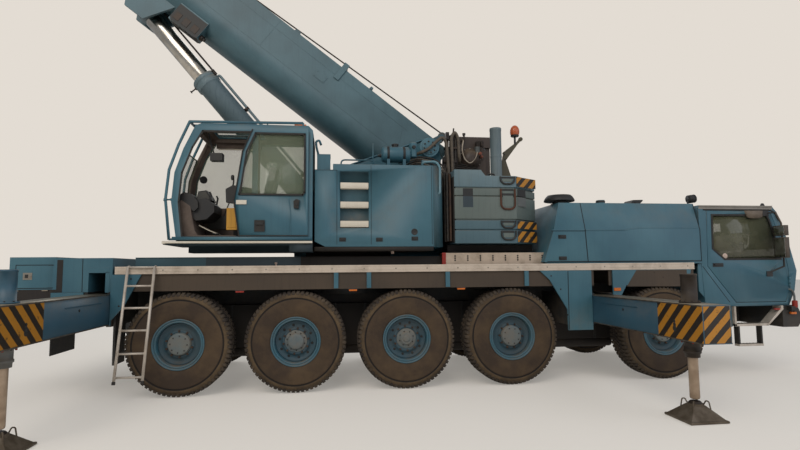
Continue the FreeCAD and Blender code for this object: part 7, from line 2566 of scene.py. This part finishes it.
def outriggerPieces(name, x, side, bottom):
    body = "outrigger_beam_" + name
    label = "".join(word.capitalize() for word in name.split("_"))
    half, height, outer = beamLook["half"], beamLook["height"], beamLook["outer"]
    top = bottom + height
    mesh = newMesh()
    # striped plates on both flanks and the end
    for way in (-1, 1):
        flank = x + way * half
        addBlock(mesh, *sortedCorners((flank - way * 0.001, side * (outer - 0.003), bottom + 0.012),
                                      (flank + way * 0.0022, side * beamLook["striped"], top - 0.012)))
    finishPiece(mesh, "beamStripes" + label, body, flankStripes[side])
    mesh = newMesh()
    addBlock(mesh, *sortedCorners((x - half + 0.012, side * (outer - 0.001), bottom + 0.012),
                                  (x + half - 0.012, side * (outer + 0.0022), top - 0.012)))
    finishPiece(mesh, "beamEndStripes" + label, body, stripesForward if x > 0 else stripesBack)
    mesh = newMesh()
    # keyhole slot for the locking pin
    # dark discs of painted shade stand for the slot's depth
    for way in (-1, 1):
        flank = x + way * (half + 0.0022)
        for rise, radius in ((0.13, 0.034), (0.175, 0.026), (0.215, 0.02)):
            addTurned(mesh, (flank - way * 0.001, side * 3.455, bottom + rise), (way, 0, 0),
                      [(0, radius), (0.0014 + radius * 0.03, radius), (0.0016 + radius * 0.03, 0.001)], 0, 24)
    finishPiece(mesh, "pinSlots" + label, body, paintedHoleShade)
    mesh = newMesh()
    # flanges along the top and bottom edges, worn bright where they slide
    for z0, z1 in ((bottom - 0.0, bottom + 0.014), (top - 0.014, top)):
        for way in (-1, 1):
            flank = x + way * half
            addBlock(mesh, *sortedCorners((flank - way * 0.002, side * (outer - 0.002), z0),
                                          (flank + way * 0.006, side * 1.52, z1)), 0)
    for way in (-1, 1):
        flank = x + way * half
        # shallow stiffening rib and the stop dog
        addBlock(mesh, *sortedCorners((flank - way * 0.001, side * 2.7, top - 0.115),
                                      (flank + way * 0.005, side * 1.75, top - 0.105)), 1)
        addTurned(mesh, (flank - way * 0.001, side * 2.35, bottom + 0.27), (way, 0, 0),
                  [(0, 0.017), (0.006, 0.017), (0.0065, 0.008)], 2, 14)
    finishPiece(mesh, "beamEdges" + label, body, [beamEdgeSteel, beamEnamel, oilySteel])
    mesh = newMesh()
    casing, y = beamLook["casing"], side * beamLook["jackY"]
    # casing tube above and below the beam, with its end rings and bolts
    addTurned(mesh, (x, y, 0), (0, 0, 1), [(top + 0.001, casing + 0.03), (top + 0.02, casing + 0.03),
                                           (top + 0.022, casing + 0.0015),
                                           (top + beamLook["above"] - 0.02, casing + 0.0015),
                                           (top + beamLook["above"] - 0.018, casing + 0.007),
                                           (top + beamLook["above"] + 0.001, casing + 0.007),
                                           (top + beamLook["above"] + 0.003, casing - 0.02),
                                           (top + beamLook["above"] + 0.003, 0.001)], 0, 40)
    low = bottom - beamLook["below"]
    addTurned(mesh, (x, y, 0), (0, 0, 1), [(bottom - 0.001, casing + 0.03), (bottom - 0.02, casing + 0.03),
                                           (bottom - 0.022, casing + 0.0015), (low + 0.03, casing + 0.0015),
                                           (low + 0.028, casing + 0.009), (low + 0.001, casing + 0.009),
                                           (low - 0.001, casing - 0.004), (low - 0.05, casing - 0.006),
                                           (low - 0.052, 0.06)], 2, 40)
    for turn in (-2.1, -1.1, 0.4, 1.6, 2.7):
        spot = (x + (casing + 0.02) * math.cos(turn), y + (casing + 0.02) * math.sin(turn), bottom - 0.02)
        addTurned(mesh, spot, (0, 0, -1), [(0, 0.012), (0.016, 0.011), (0.019, 0.006)], 3, 10)
    for i in range(8):
        turn = i * math.pi / 4 + 0.4
        spot = (x + (casing + 0.017) * math.cos(turn), y + (casing + 0.017) * math.sin(turn))
        addTurned(mesh, (*spot, top + 0.02), (0, 0, 1), [(0, 0.01), (0.009, 0.01), (0.011, 0.006)], 1, 6)
        addTurned(mesh, (*spot, bottom - 0.02), (0, 0, -1), [(0, 0.01), (0.009, 0.01), (0.011, 0.006)],
                  1, 6)
    finishPiece(mesh, "jackCasing" + label, body,
                [casingEnamel if x > 0 else beamEnamel, oilySteel, casingEnamel if x > 0 else greyEnamel,
                 redLens])
    body = "outrigger_jack_" + name
    mesh = newMesh()
    # jack rod with its foot: ball, retaining claws, and a pyramid pressed from plate
    rodTop = top + beamLook["above"] - 0.025 - 0.5 - 0.015
    addTurned(mesh, (x, y, 0), (0, 0, 1), [(0.23, 0.04), (0.235, 0.05), (0.25, 0.0558),
                                           (rodTop - 0.002, 0.0558), (rodTop, 0.05)], 0, 36)
    addTurned(mesh, (x, y, 0), (0, 0, 1), [(0.14, 0.03), (0.15, 0.055), (0.17, 0.07), (0.19, 0.072),
                                           (0.2, 0.066), (0.208, 0.0555)], 1, 32)
    reach, crown, plate, rise = 0.22, 0.072, 0.028, 0.168
    base = [(x - reach, y - reach, plate), (x + reach, y - reach, plate),
            (x + reach, y + reach, plate), (x - reach, y + reach, plate)]
    peak = [(x - crown, y - crown, rise), (x + crown, y - crown, rise),
            (x + crown, y + crown, rise), (x - crown, y + crown, rise)]
    addFaces(mesh, base + peak, [(0, 1, 2, 3), (4, 5, 6, 7), (0, 1, 5, 4), (1, 2, 6, 5), (2, 3, 7, 6),
                                 (3, 0, 4, 7)], 2)
    plateHalf = 0.24
    rings = []
    for z, size in ((0.0, plateHalf - 0.006), (0.004, plateHalf), (0.022, plateHalf),
                    (0.028, plateHalf - 0.006)):
        rings.append([Vector((x - size, y - size, z)), Vector((x + size, y - size, z)),
                      Vector((x + size, y + size, z)), Vector((x - size, y + size, z))])
    addRings(mesh, rings, 2, False, True)
    addTurned(mesh, (x, y, 0.15), (0, 0, 1), [(0.0, 0.09), (0.03, 0.092), (0.034, 0.075)], 2, 32)
    for i in range(4):
        turn = math.pi / 4 + i * math.pi / 2
        out = Vector((math.cos(turn), math.sin(turn), 0))
        start = Vector((x, y, 0.165)) + out * 0.08
        handle = [start, start + out * 0.03 + Vector((0, 0, 0.06)),
                  start + out * 0.06 + Vector((0, 0, 0.05)), start + out * 0.075 + Vector((0, 0, -0.04))]
        addTube(mesh, roundedPath(handle, 0.03, 4), 0.008, 2, 8)
    finishPiece(mesh, "jackFoot" + label, body, [jackRodSteel, oilySteel, footPlateSteel], bevel=0.002,
                replaces=["outrigger_jack_" + name])


beamEdgeSteel = castMetal("wornBeamEdge", {"colour": "#6f6a62", "second": "#51483d", "metallic": 0.5,
                                           "roughness": 0.5, "bump": 0.2})
footPlateSteel = castMetal("scrapedFootPlate", {"colour": "#6e6355", "second": "#514637", "metallic": 0.35,
                                                "roughness": 0.6, "bump": 0.3})
jackRodSteel = castMetal("dustyJackRod", {"colour": "#b09b85", "second": "#97826d", "metallic": 0.5,
                                          "roughness": 0.42, "bump": 0.06})
beamEnamel = paintedSteel("darkBlueBeamPaint", variant(
    blueLook, colour="#2c5062", faded="#355a6c", streaks=0.12, chips=0.5,
    dust=variant(roadDust, onTop=0.5, splash=0.15)))
beamTopSteel = castMetal("slidingFaceSteel", {"colour": "#a39a88", "second": "#8c806c", "metallic": 0.55,
                                             "roughness": 0.42, "bump": 0.12})
casingEnamel = paintedSteel("sootyCasingPaint", variant(
    blueLook, colour="#241c15", faded="#2f251b", streaks=0.3, streakColour="#15110e", chips=0.6,
    primer="#5c4a38", roughness=0.6, dust=variant(roadDust, onTop=0.5, splash=0.1)))


def beamFaces(top):
    # the sliding face on top is worn to bare metal
    def keep(mesh):
        for face in mesh.faces:
            if face.normal.z > 0.9 and abs(face.calc_center_median().z - top) < 0.01:
                face.material_index = 1
    return keep


for name, (x, side, bottom) in outriggers.items():
    outriggerPieces(name, x, side, bottom)
    softenedNode("outrigger_beam_" + name, "outriggerBeam" + "".join(w.capitalize() for w in name.split("_")),
                 [beamEnamel, beamTopSteel], 0.006, keep=beamFaces(bottom + beamLook["height"]), shortest=0.05)
print("stage: outriggers ready")


# turntable, winch and what stands round them

def turntableFaces(mesh):
    # the base plate and the ring are painted dark as painted shade under the cab, the cheeks are blue
    for face in mesh.faces:
        middle = face.calc_center_median()
        if middle.z < 2.24:
            face.material_index = 1 if middle.x < shiftX - 1.6 else 2


softenedNode("turntable", "turntableWeldment", [blueEnamel, deckEnamel, sootAndShadePaint], 0.008, keep=turntableFaces,
             shortest=0.08)


def turntableDetail(side):
    name = "Right" if side == right else "Left"
    mesh = newMesh()
    y = side * 0.56
    # boom pivot: bolted keeper plate over the pin
    pivot = (0.54, side * 0.668, 3.88)
    addTurned(mesh, pivot, (0, side, 0), [(-0.004, 0.168), (0.004, 0.168), (0.008, 0.13), (0.02, 0.128),
                                          (0.024, 0.11), (0.024, 0.07), (0.034, 0.066), (0.036, 0.02)],
              0, 40)
    for i in range(8):
        turn = i * math.pi / 4 + 0.2
        spot = (pivot[0] + 0.098 * math.cos(turn), pivot[1] + side * 0.022,
                pivot[2] + 0.098 * math.sin(turn))
        addTurned(mesh, spot, (0, side, 0), [(0, 0.016), (0.012, 0.016), (0.014, 0.01)], 1, 6)
    # stiffening flange along the cheek's upper edge
    edge = [(-1.7, 2.7), (-0.947, 3.535), (-0.418, 3.732), (0.35, 4.01), (0.541, 4.078)]
    for (ax, az), (bx, bz) in zip(edge, edge[1:]):
        way = Vector((bx - ax, 0, bz - az)).normalized()
        down = Vector((way.z, 0, -way.x)) * 0.02
        loop = [Vector((ax, y, az)) + down * 0.1, Vector((bx, y, bz)) + down * 0.1,
                Vector((bx, y, bz)) + down, Vector((ax, y, az)) + down]
        addPrism(mesh, loop, Vector((0, side * 0.03, 0)), 0)
    addTurned(mesh, (0.247, y, 3.96), (0, side, 0), [(-0.001, 0.035), (0.004, 0.035), (0.004, 0.02)], 1, 18)
    finishPiece(mesh, "cheekFittings" + name, "superstructure", [blueEnamel, oilySteel], bevel=0.003)
    mesh = newMesh()
    # ear plates: pin keeper at the cylinder's foot
    addTurned(mesh, (-1.05, side * 0.3, 2.4), (0, side, 0), [(-0.002, 0.12), (0.01, 0.12), (0.014, 0.09),
                                                             (0.03, 0.085), (0.033, 0.02)], 0, 30)
    # grease pipes down the cheek
    for i, drop in enumerate((0.0, 0.035, 0.07)):
        pipe = [(0.4 - drop, side * 0.575, 3.7), (0.2 - drop, side * 0.575, 3.5 - drop),
                (-0.3 - drop, side * 0.575, 3.4 - drop), (-0.6 - drop, side * 0.575, 2.6)]
        addTube(mesh, roundedPath(pipe, 0.08, 4), 0.007, 0, 8)
    finishPiece(mesh, "earFittings" + name, "superstructure", oilySteel)


onBothSides(turntableDetail)


ringLook = {"x": -0.85, "radius": 0.865, "top": 1.984, "count": 48}


def ringBolts():
    # bolts of the slewing ring, on the carrier's flange below the turntable
    bolt = newMesh()
    addTurned(bolt, (0, 0, ringLook["radius"]), (0, 1, 0), [(0, 0.014), (0.011, 0.014), (0.0125, 0.009)], 0, 6)
    ring = repeated(roundAxle, bolt, {"Count": ringLook["count"], "Start Angle": 0.0, "Finish": oilySteel})
    place = Matrix.Translation(at(ringLook["x"], 0, ringLook["top"])) @ Matrix.Rotation(math.pi / 2, 4, "X")
    placedPiece(gathered("ringBolts", [(ring, place)]), "ringBolts", "carrier")


ringBolts()


def winchPiece():
    mesh = newMesh()
    # side frames, drums wound with rope
    frameOutline = [(1.0, 2.402), (1.6, 2.402), (1.6, 3.86), (1.46, 4.0), (1.06, 4.0), (1.0, 3.94)]
    for side in (right, left):
        addPrism(mesh, sideOutline(frameOutline, side * 0.42), Vector((0, side * 0.06, 0)), 0)
    for z in (3.72, 3.05):
        for y in (-0.4, 0.375):
            addTurned(mesh, (1.3, y, z), (0, 1, 0), [(0, 0.1), (0, 0.292), (0.004, 0.2995),
                                                     (0.021, 0.2995), (0.025, 0.292), (0.025, 0.1)], 0, 56)
        turns = [(-0.37, 0.1)]
        for i in range(31):
            for share, rise in ((0.0, 0.0), (0.25, 0.0075), (0.5, 0.0105), (0.75, 0.0075)):
                turns.append((-0.37 + (i + share) * 0.024, 0.236 + rise))
        turns += [(0.374, 0.236), (0.374, 0.1)]
        addTurned(mesh, (1.3, 0, z), (0, 1, 0), turns, 1, 56)
    # side plates of the rope guard over the upper drum
    for side in (right, left):
        addBlock(mesh, *sortedCorners((1.1, side * 0.425, 3.94), (1.69, side * 0.475, 4.13)), 0)
    # drum motor on the near side, brake on the far side
    for side, depth in ((right, 0.15), (left, 0.1)):
        addTurned(mesh, (1.3, side * 0.479, 3.72), (0, side, 0),
                  [(0, 0.2), (0.02, 0.2), (0.024, 0.18), (0.05, 0.178), (0.055, 0.14), (depth - 0.03, 0.135),
                   (depth - 0.02, 0.11), (depth, 0.1), (depth + 0.004, 0.03)], 0, 40)
        for i in range(12):
            turn = i * math.pi / 6
            addTurned(mesh, (1.3 + 0.19 * math.cos(turn), side * 0.497, 3.72 + 0.19 * math.sin(turn)),
                      (0, side, 0), [(0, 0.012), (0.01, 0.012), (0.012, 0.007)], 2, 6)
    for x, z in ((1.05, 2.6), (1.05, 3.3), (1.52, 3.3), (1.52, 2.6), (1.3, 3.38)):
        addTube(mesh, [(x, -0.44, z), (x, 0.44, z)], 0.03, 0, 14)
    finishPiece(mesh, "winchFrame", "superstructure", [winchBrown, ropeSteel, brightSteel],
                replaces=["winch"])


def winchPipes():
    # steel pipes and valve blocks clamped to the near winch frame
    mesh = newMesh()
    for i in range(6):
        x, y = 0.78 + 0.034 * i, -0.6 - 0.022 * (i % 3)
        path = [(x - 0.02, -0.66, 2.5), (x - 0.02, -0.66, 3.3), (x + 0.05, y, 3.72),
                (x + 0.06, y, 4.02 + 0.018 * (i % 2)), (x + 0.09, y + 0.05, 4.12 + 0.01 * i),
                (x + 0.16, -0.5, 4.06), (x + 0.19, -0.45, 3.96)]
        addTube(mesh, roundedPath(path, 0.09, 5), 0.0165, 0, 10)
    for z, low, high in ((3.86, 0.81, 1.06), (3.62, 0.79, 1.02)):
        addBlock(mesh, (low, -0.675, z), (high, -0.56, z + 0.035), 1)
    addBlock(mesh, (0.83, -0.69, 4.02), (0.885, -0.6, 4.15), 1)
    addTube(mesh, [(0.97, -0.61, 4.1), (0.985, -0.61, 4.24)], 0.014, 1, 8)
    addTube(mesh, [(1.0, -0.6, 4.0), (1.02, -0.6, 4.16)], 0.02, 1, 8)
    addBlock(mesh, (0.93, -0.63, 3.9), (1.02, -0.48, 4.08), 1)
    for x, z in ((0.965, 3.3), (0.95, 3.15), (0.94, 2.98), (0.955, 2.7)):
        addTurned(mesh, (x - 0.1, -0.72, z), (1, 0, 0.2), [(0, 0.02), (0.03, 0.026), (0.09, 0.026),
                                                         (0.1, 0.016), (0.16, 0.016)], 1, 12)
    # more lines run along the frame's foot to the rear
    for i in range(4):
        path = [(0.8 + 0.05 * i, -0.585, 3.42 - 0.03 * i), (0.95, -0.575, 3.5 + 0.03 * i),
                (1.12, -0.56, 3.52 + 0.035 * i), (1.3 + 0.05 * i, -0.55, 3.5 + 0.01 * i), (1.5, -0.5, 3.44)]
        addTube(mesh, roundedPath(path, 0.08, 5), 0.013, 0, 8)
    # thick armoured lines that bend over the boom's heel
    bends = [[(0.93, -0.7, 2.5), (0.93, -0.7, 3.5), (0.92, -0.7, 4.06), (0.985, -0.68, 4.17),
              (1.05, -0.66, 4.06), (1.06, -0.66, 3.78), (1.09, -0.6, 3.62)],
             [(0.86, -0.72, 2.5), (0.86, -0.72, 3.4), (0.83, -0.72, 3.95), (0.76, -0.72, 4.06),
              (0.66, -0.72, 3.98), (0.5, -0.74, 3.82), (0.3, -0.72, 3.74)]]
    for path in bends:
        addTube(mesh, roundedPath(path, 0.1, 6), 0.027, 2, 14)
    for i in range(5):
        drop = 0.05 * i
        path = [(0.0, -0.62, 3.6 - drop), (0.3, -0.735, 3.7 - drop * 0.6), (0.62, -0.745, 3.66 - drop),
                (0.8, -0.735, 3.5 - drop), (0.84 - 0.02 * i, -0.72, 3.1)]
        addTube(mesh, roundedPath(path, 0.12, 5), 0.014, 2 if i % 2 else 0, 10)
    # splash shields of folded plate beside and behind the drums
    addBlock(mesh, (0.63, -0.6, 2.4), (0.995, -0.588, 3.46), 3)
    addBlock(mesh, (1.603, -0.422, 2.96), (1.688, 0.422, 4.128), 3)
    finishPiece(mesh, "winchPipes", "superstructure", [hoseRubber, oilySteel, dustyHose, winchBrown])
    mesh = newMesh()
    # pale drain pipe that bends down and up again between two unions
    pale = [(1.175, -0.5, 4.05), (1.165, -0.6, 4.06), (1.12, -0.62, 3.86), (1.17, -0.62, 3.69),
            (1.265, -0.62, 3.61), (1.36, -0.62, 3.7), (1.4, -0.62, 3.8), (1.42, -0.56, 3.86)]
    addTube(mesh, roundedPath(pale, 0.09, 6), 0.013, 0, 10)
    addTurned(mesh, (1.175, -0.47, 4.055), (0, -1, 0), [(0, 0.03), (0.04, 0.03), (0.045, 0.02)], 2, 6)
    addTurned(mesh, (1.17, -0.6, 4.02), (0, 0, 1), [(0, 0.018), (0.1, 0.018), (0.105, 0.028), (0.14, 0.028)],
              2, 10)
    addBlock(mesh, (1.38, -0.6, 3.82), (1.45, -0.479, 3.93), 3)
    addBlock(mesh, (1.4, -0.58, 3.93), (1.47, -0.5, 4.03), 2)
    addTurned(mesh, (1.45, -0.6, 3.8), (0.4, -1, 0), [(0, 0.03), (0.03, 0.03), (0.034, 0.02)], 1, 16)
    addTurned(mesh, (1.5, -0.5, 3.76), (0, -1, 0), [(-0.03, 0.024), (0.06, 0.024), (0.064, 0.014)], 1, 12)
    addTurned(mesh, (1.53, -0.47, 4.0), (0, 0, 1), [(-0.04, 0.03), (0.05, 0.03), (0.06, 0.018)], 2, 12)
    finishPiece(mesh, "winchUnions", "superstructure",
                [paleZinc, redOxide, oilySteel, greyEnamel], bevel=0.002)


winchBrown = paintedSteel("oilBrownWinchEnamel", variant(
    blueLook, colour="#3f342d", faded="#4c4038", streaks=0.3, streakColour="#251f1b", chips=0.5,
    primer="#6a5546", roughness=0.5, dust=variant(roadDust, splash=0.0)))
dustyHose = rubber("dustyArmouredHose", {"colour": "#4c443b", "dustColour": "#6f6556", "dust": 0.7,
                                         "grain": 0.004, "patch": 0.08, "roughness": 0.7, "bump": 0.3})
redOxide = paintedSteel("redOxideCaps", variant(
    blueLook, colour="#8a4a35", faded="#96604c", chips=0.3, roughness=0.5))
paleZinc = castMetal("dullZincPipe", {"colour": "#b5ab9b", "second": "#94897a", "metallic": 0.4,
                                      "roughness": 0.5, "bump": 0.1})
winchPiece()
winchPipes()


def beaconPiece():
    mesh = newMesh()
    y = -0.7
    stand = [(1.8, 3.2625), (2.01, 3.2625), (1.89, 3.64), (1.85, 3.82), (1.815, 3.64)]
    addPrism(mesh, sideOutline(stand, y - 0.015), Vector((0, 0.03, 0)), 0)
    arm = [(1.83, 3.8), (1.875, 3.65), (2.11, 3.96), (2.185, 4.035), (2.15, 4.07), (2.09, 4.0)]
    addPrism(mesh, sideOutline(arm, y - 0.012), Vector((0, 0.024, 0)), 0)
    addBlock(mesh, (1.79, y - 0.06, 3.2625), (2.02, y + 0.06, 3.275), 0)
    addTube(mesh, [(2.062, y, 3.95), (2.062, y, 4.11)], 0.018, 1, 14)
    addTurned(mesh, (2.062, y, 4.085), (0, 0, 1), [(0, 0.03), (0.008, 0.066), (0.02, 0.072),
                                                  (0.032, 0.072), (0.036, 0.066)], 1, 32)
    dome = [(0.036, 0.068), (0.05, 0.076), (0.075, 0.0815), (0.1, 0.083), (0.125, 0.0805), (0.15, 0.074),
            (0.175, 0.062), (0.197, 0.043), (0.209, 0.02), (0.211, 0.001)]
    addTurned(mesh, (2.062, y, 4.085), (0, 0, 1), dome, 2, 32)
    for x, z in ((1.86, 3.77), (1.87, 3.68)):
        addTurned(mesh, (x, y - 0.014, z), (0, -1, 0), [(0, 0.012), (0.01, 0.012), (0.012, 0.007)], 1, 6)
    addTurned(mesh, (2.165, y - 0.03, 4.05), (0, 1, 0), [(0, 0.02), (0.01, 0.036), (0.05, 0.036), (0.06, 0.02)],
              0, 18)
    finishPiece(mesh, "beacon", "superstructure", [bracketEnamel, machineBlack, orangeLens],
                bevel=0.0015, replaces=["beacon"])


bracketEnamel = paintedSteel("oliveBracketPaint", variant(
    blueLook, colour="#45412f", faded="#514b38", streaks=0.2, streakColour="#2d2a20", chips=0.4,
    primer="#6a5546", roughness=0.55))
orangeLens = lens("orangeBeaconLens", "#b4552e", "#cf7a4e")
beaconPiece()
print("stage: winch and beacon ready")


# the nodes that stay as they are get their finishes
nodeFinishes = {
    "axles": frameEnamel, "chassis": frameEnamel, "deck": skirtPaint, "side_panels": blueEnamel,
    "boom_base": boomEnamel, "boom_section_2": boomEnamel, "boom_section_3": boomEnamel,
    "boom_section_4": boomEnamel, "bumpers_flaps_intake": machineBlack, "turntable": deckEnamel,
    "carrier_glass": darkGlass, "operator_glass": tintedGlass, "winch": oilySteel,
    "engine": oilySteel, "carrier_cab_fittings": greyPlastic, "operator_seat": blackPlastic,
    "rear_boxes": blueEnamel,
}
for name in nodes:
    if not name.startswith(("wheel_", "outrigger_jack", "knuckle")):
        paintNode(name, nodeFinishes.get(name, blueEnamel))
    if name.startswith("knuckle"):
        paintNode(name, oilySteel)


# floor, light and camera

def paleFloor():
    mesh = newMesh()
    reach = 60
    addFaces(mesh, [(-reach, -reach, -0.004), (reach, -reach, -0.004), (reach, reach, -0.004),
                    (-reach, reach, -0.004)], [(0, 1, 2, 3)])
    data = bpy.data.meshes.new("paleFloor")
    mesh.to_mesh(data)
    mesh.free()
    floor = bpy.data.objects.new("paleFloor", data)
    bpy.context.scene.collection.objects.link(floor)
    material, tree, shader = newMaterial("palePaintedFloor")
    shader.inputs["Roughness"].default_value = 0.9
    rays = addNode(tree, "ShaderNodeLightPath")
    shader.inputs["Base Color"].default_value = hexToLinear("#d9d4cc")
    output = next(node for node in tree.nodes if node.type == "OUTPUT_MATERIAL")
    glow = addNode(tree, "ShaderNodeEmission", {"Color": hexToLinear("#d9d4cc"), "Strength": 0.35})
    seen = scaledBy(tree, rays.outputs["Is Camera Ray"], rays.outputs["Is Glossy Ray"], "ADD")
    both = addNode(tree, "ShaderNodeAddShader", None, {0: shader.outputs["BSDF"],
                                                       1: glow.outputs["Emission"]})
    pick = addNode(tree, "ShaderNodeMixShader", None, {0: seen, 1: shader.outputs["BSDF"],
                                                       2: both.outputs[0]})
    tree.links.new(pick.outputs[0], output.inputs["Surface"])
    data.materials.append(material)


paleFloor()

skyLook = {"seen": "#e3dcd3", "light": "#d8dade", "strength": 0.45}
world = bpy.data.worlds.new("paleSky")
bpy.context.scene.world = world
world.use_nodes = True
sky = world.node_tree
sky.nodes.clear()
rays = addNode(sky, "ShaderNodeLightPath")
lit = addNode(sky, "ShaderNodeBackground", {"Color": hexToLinear(skyLook["light"]),
                                            "Strength": skyLook["strength"]})
backdrop = addNode(sky, "ShaderNodeBackground", {"Color": hexToLinear(skyLook["seen"]),
                                                 "Strength": 1.0})
seenRay = scaledBy(sky, rays.outputs["Is Camera Ray"], rays.outputs["Is Transmission Ray"], "ADD")
chosen = addNode(sky, "ShaderNodeMixShader", None, {0: seenRay, 1: lit.outputs[0],
                                                    2: backdrop.outputs[0]})
addNode(sky, "ShaderNodeOutputWorld", None, {"Surface": chosen.outputs[0]})


def addLamp(name, lamp):
    data = bpy.data.lights.new(name, "AREA")
    data.energy = lamp["power"]
    data.size = lamp["size"]
    data.color = hexToLinear(lamp["colour"])[:3]
    obj = bpy.data.objects.new(name, data)
    bpy.context.scene.collection.objects.link(obj)
    obj.location = lamp["place"]
    aim = Vector(lamp["aim"]) - Vector(lamp["place"])
    obj.rotation_euler = aim.to_track_quat("-Z", "Y").to_euler()


addLamp("softKey", {"power": 1900, "size": 14, "colour": "#fff8f0", "place": (-6, -17, 15),
                    "aim": (0, 0, 2)})
addLamp("softFill", {"power": 850, "size": 16, "colour": "#f2f4ff", "place": (16, -14, 10),
                     "aim": (1, 0, 2)})
addLamp("softBack", {"power": 1000, "size": 16, "colour": "#ffffff", "place": (2, 18, 14),
                     "aim": (0, 0, 3)})

cameraLook = {"place": (-1.0863, -9.2301, 1.7873), "yaw": 0.12776, "pitch": 0.08586,
              "roll": -0.0086, "focalPixels": 511.99, "pictureWidth": 800}
yaw, pitch = cameraLook["yaw"], cameraLook["pitch"]
forward = Vector((math.sin(yaw) * math.cos(pitch), math.cos(yaw) * math.cos(pitch), math.sin(pitch)))
sideways = Vector((math.cos(yaw), -math.sin(yaw), 0))
upwards = sideways.cross(forward)
cosRoll, sinRoll = math.cos(cameraLook["roll"]), math.sin(cameraLook["roll"])
cameraX = sideways * cosRoll + upwards * sinRoll
cameraY = upwards * cosRoll - sideways * sinRoll
cameraData = bpy.data.cameras.new("photoCamera")
cameraData.sensor_fit = "HORIZONTAL"
cameraData.sensor_width = 36
cameraData.lens = cameraLook["focalPixels"] / cameraLook["pictureWidth"] * 36
cameraData.clip_end = 300
camera = bpy.data.objects.new("photoCamera", cameraData)
bpy.context.scene.collection.objects.link(camera)
turn = Matrix((cameraX, cameraY, -forward)).transposed().to_4x4()
camera.matrix_world = Matrix.Translation(at(*cameraLook["place"])) @ turn
bpy.context.scene.camera = camera
bpy.context.scene.view_settings.view_transform = "Standard"
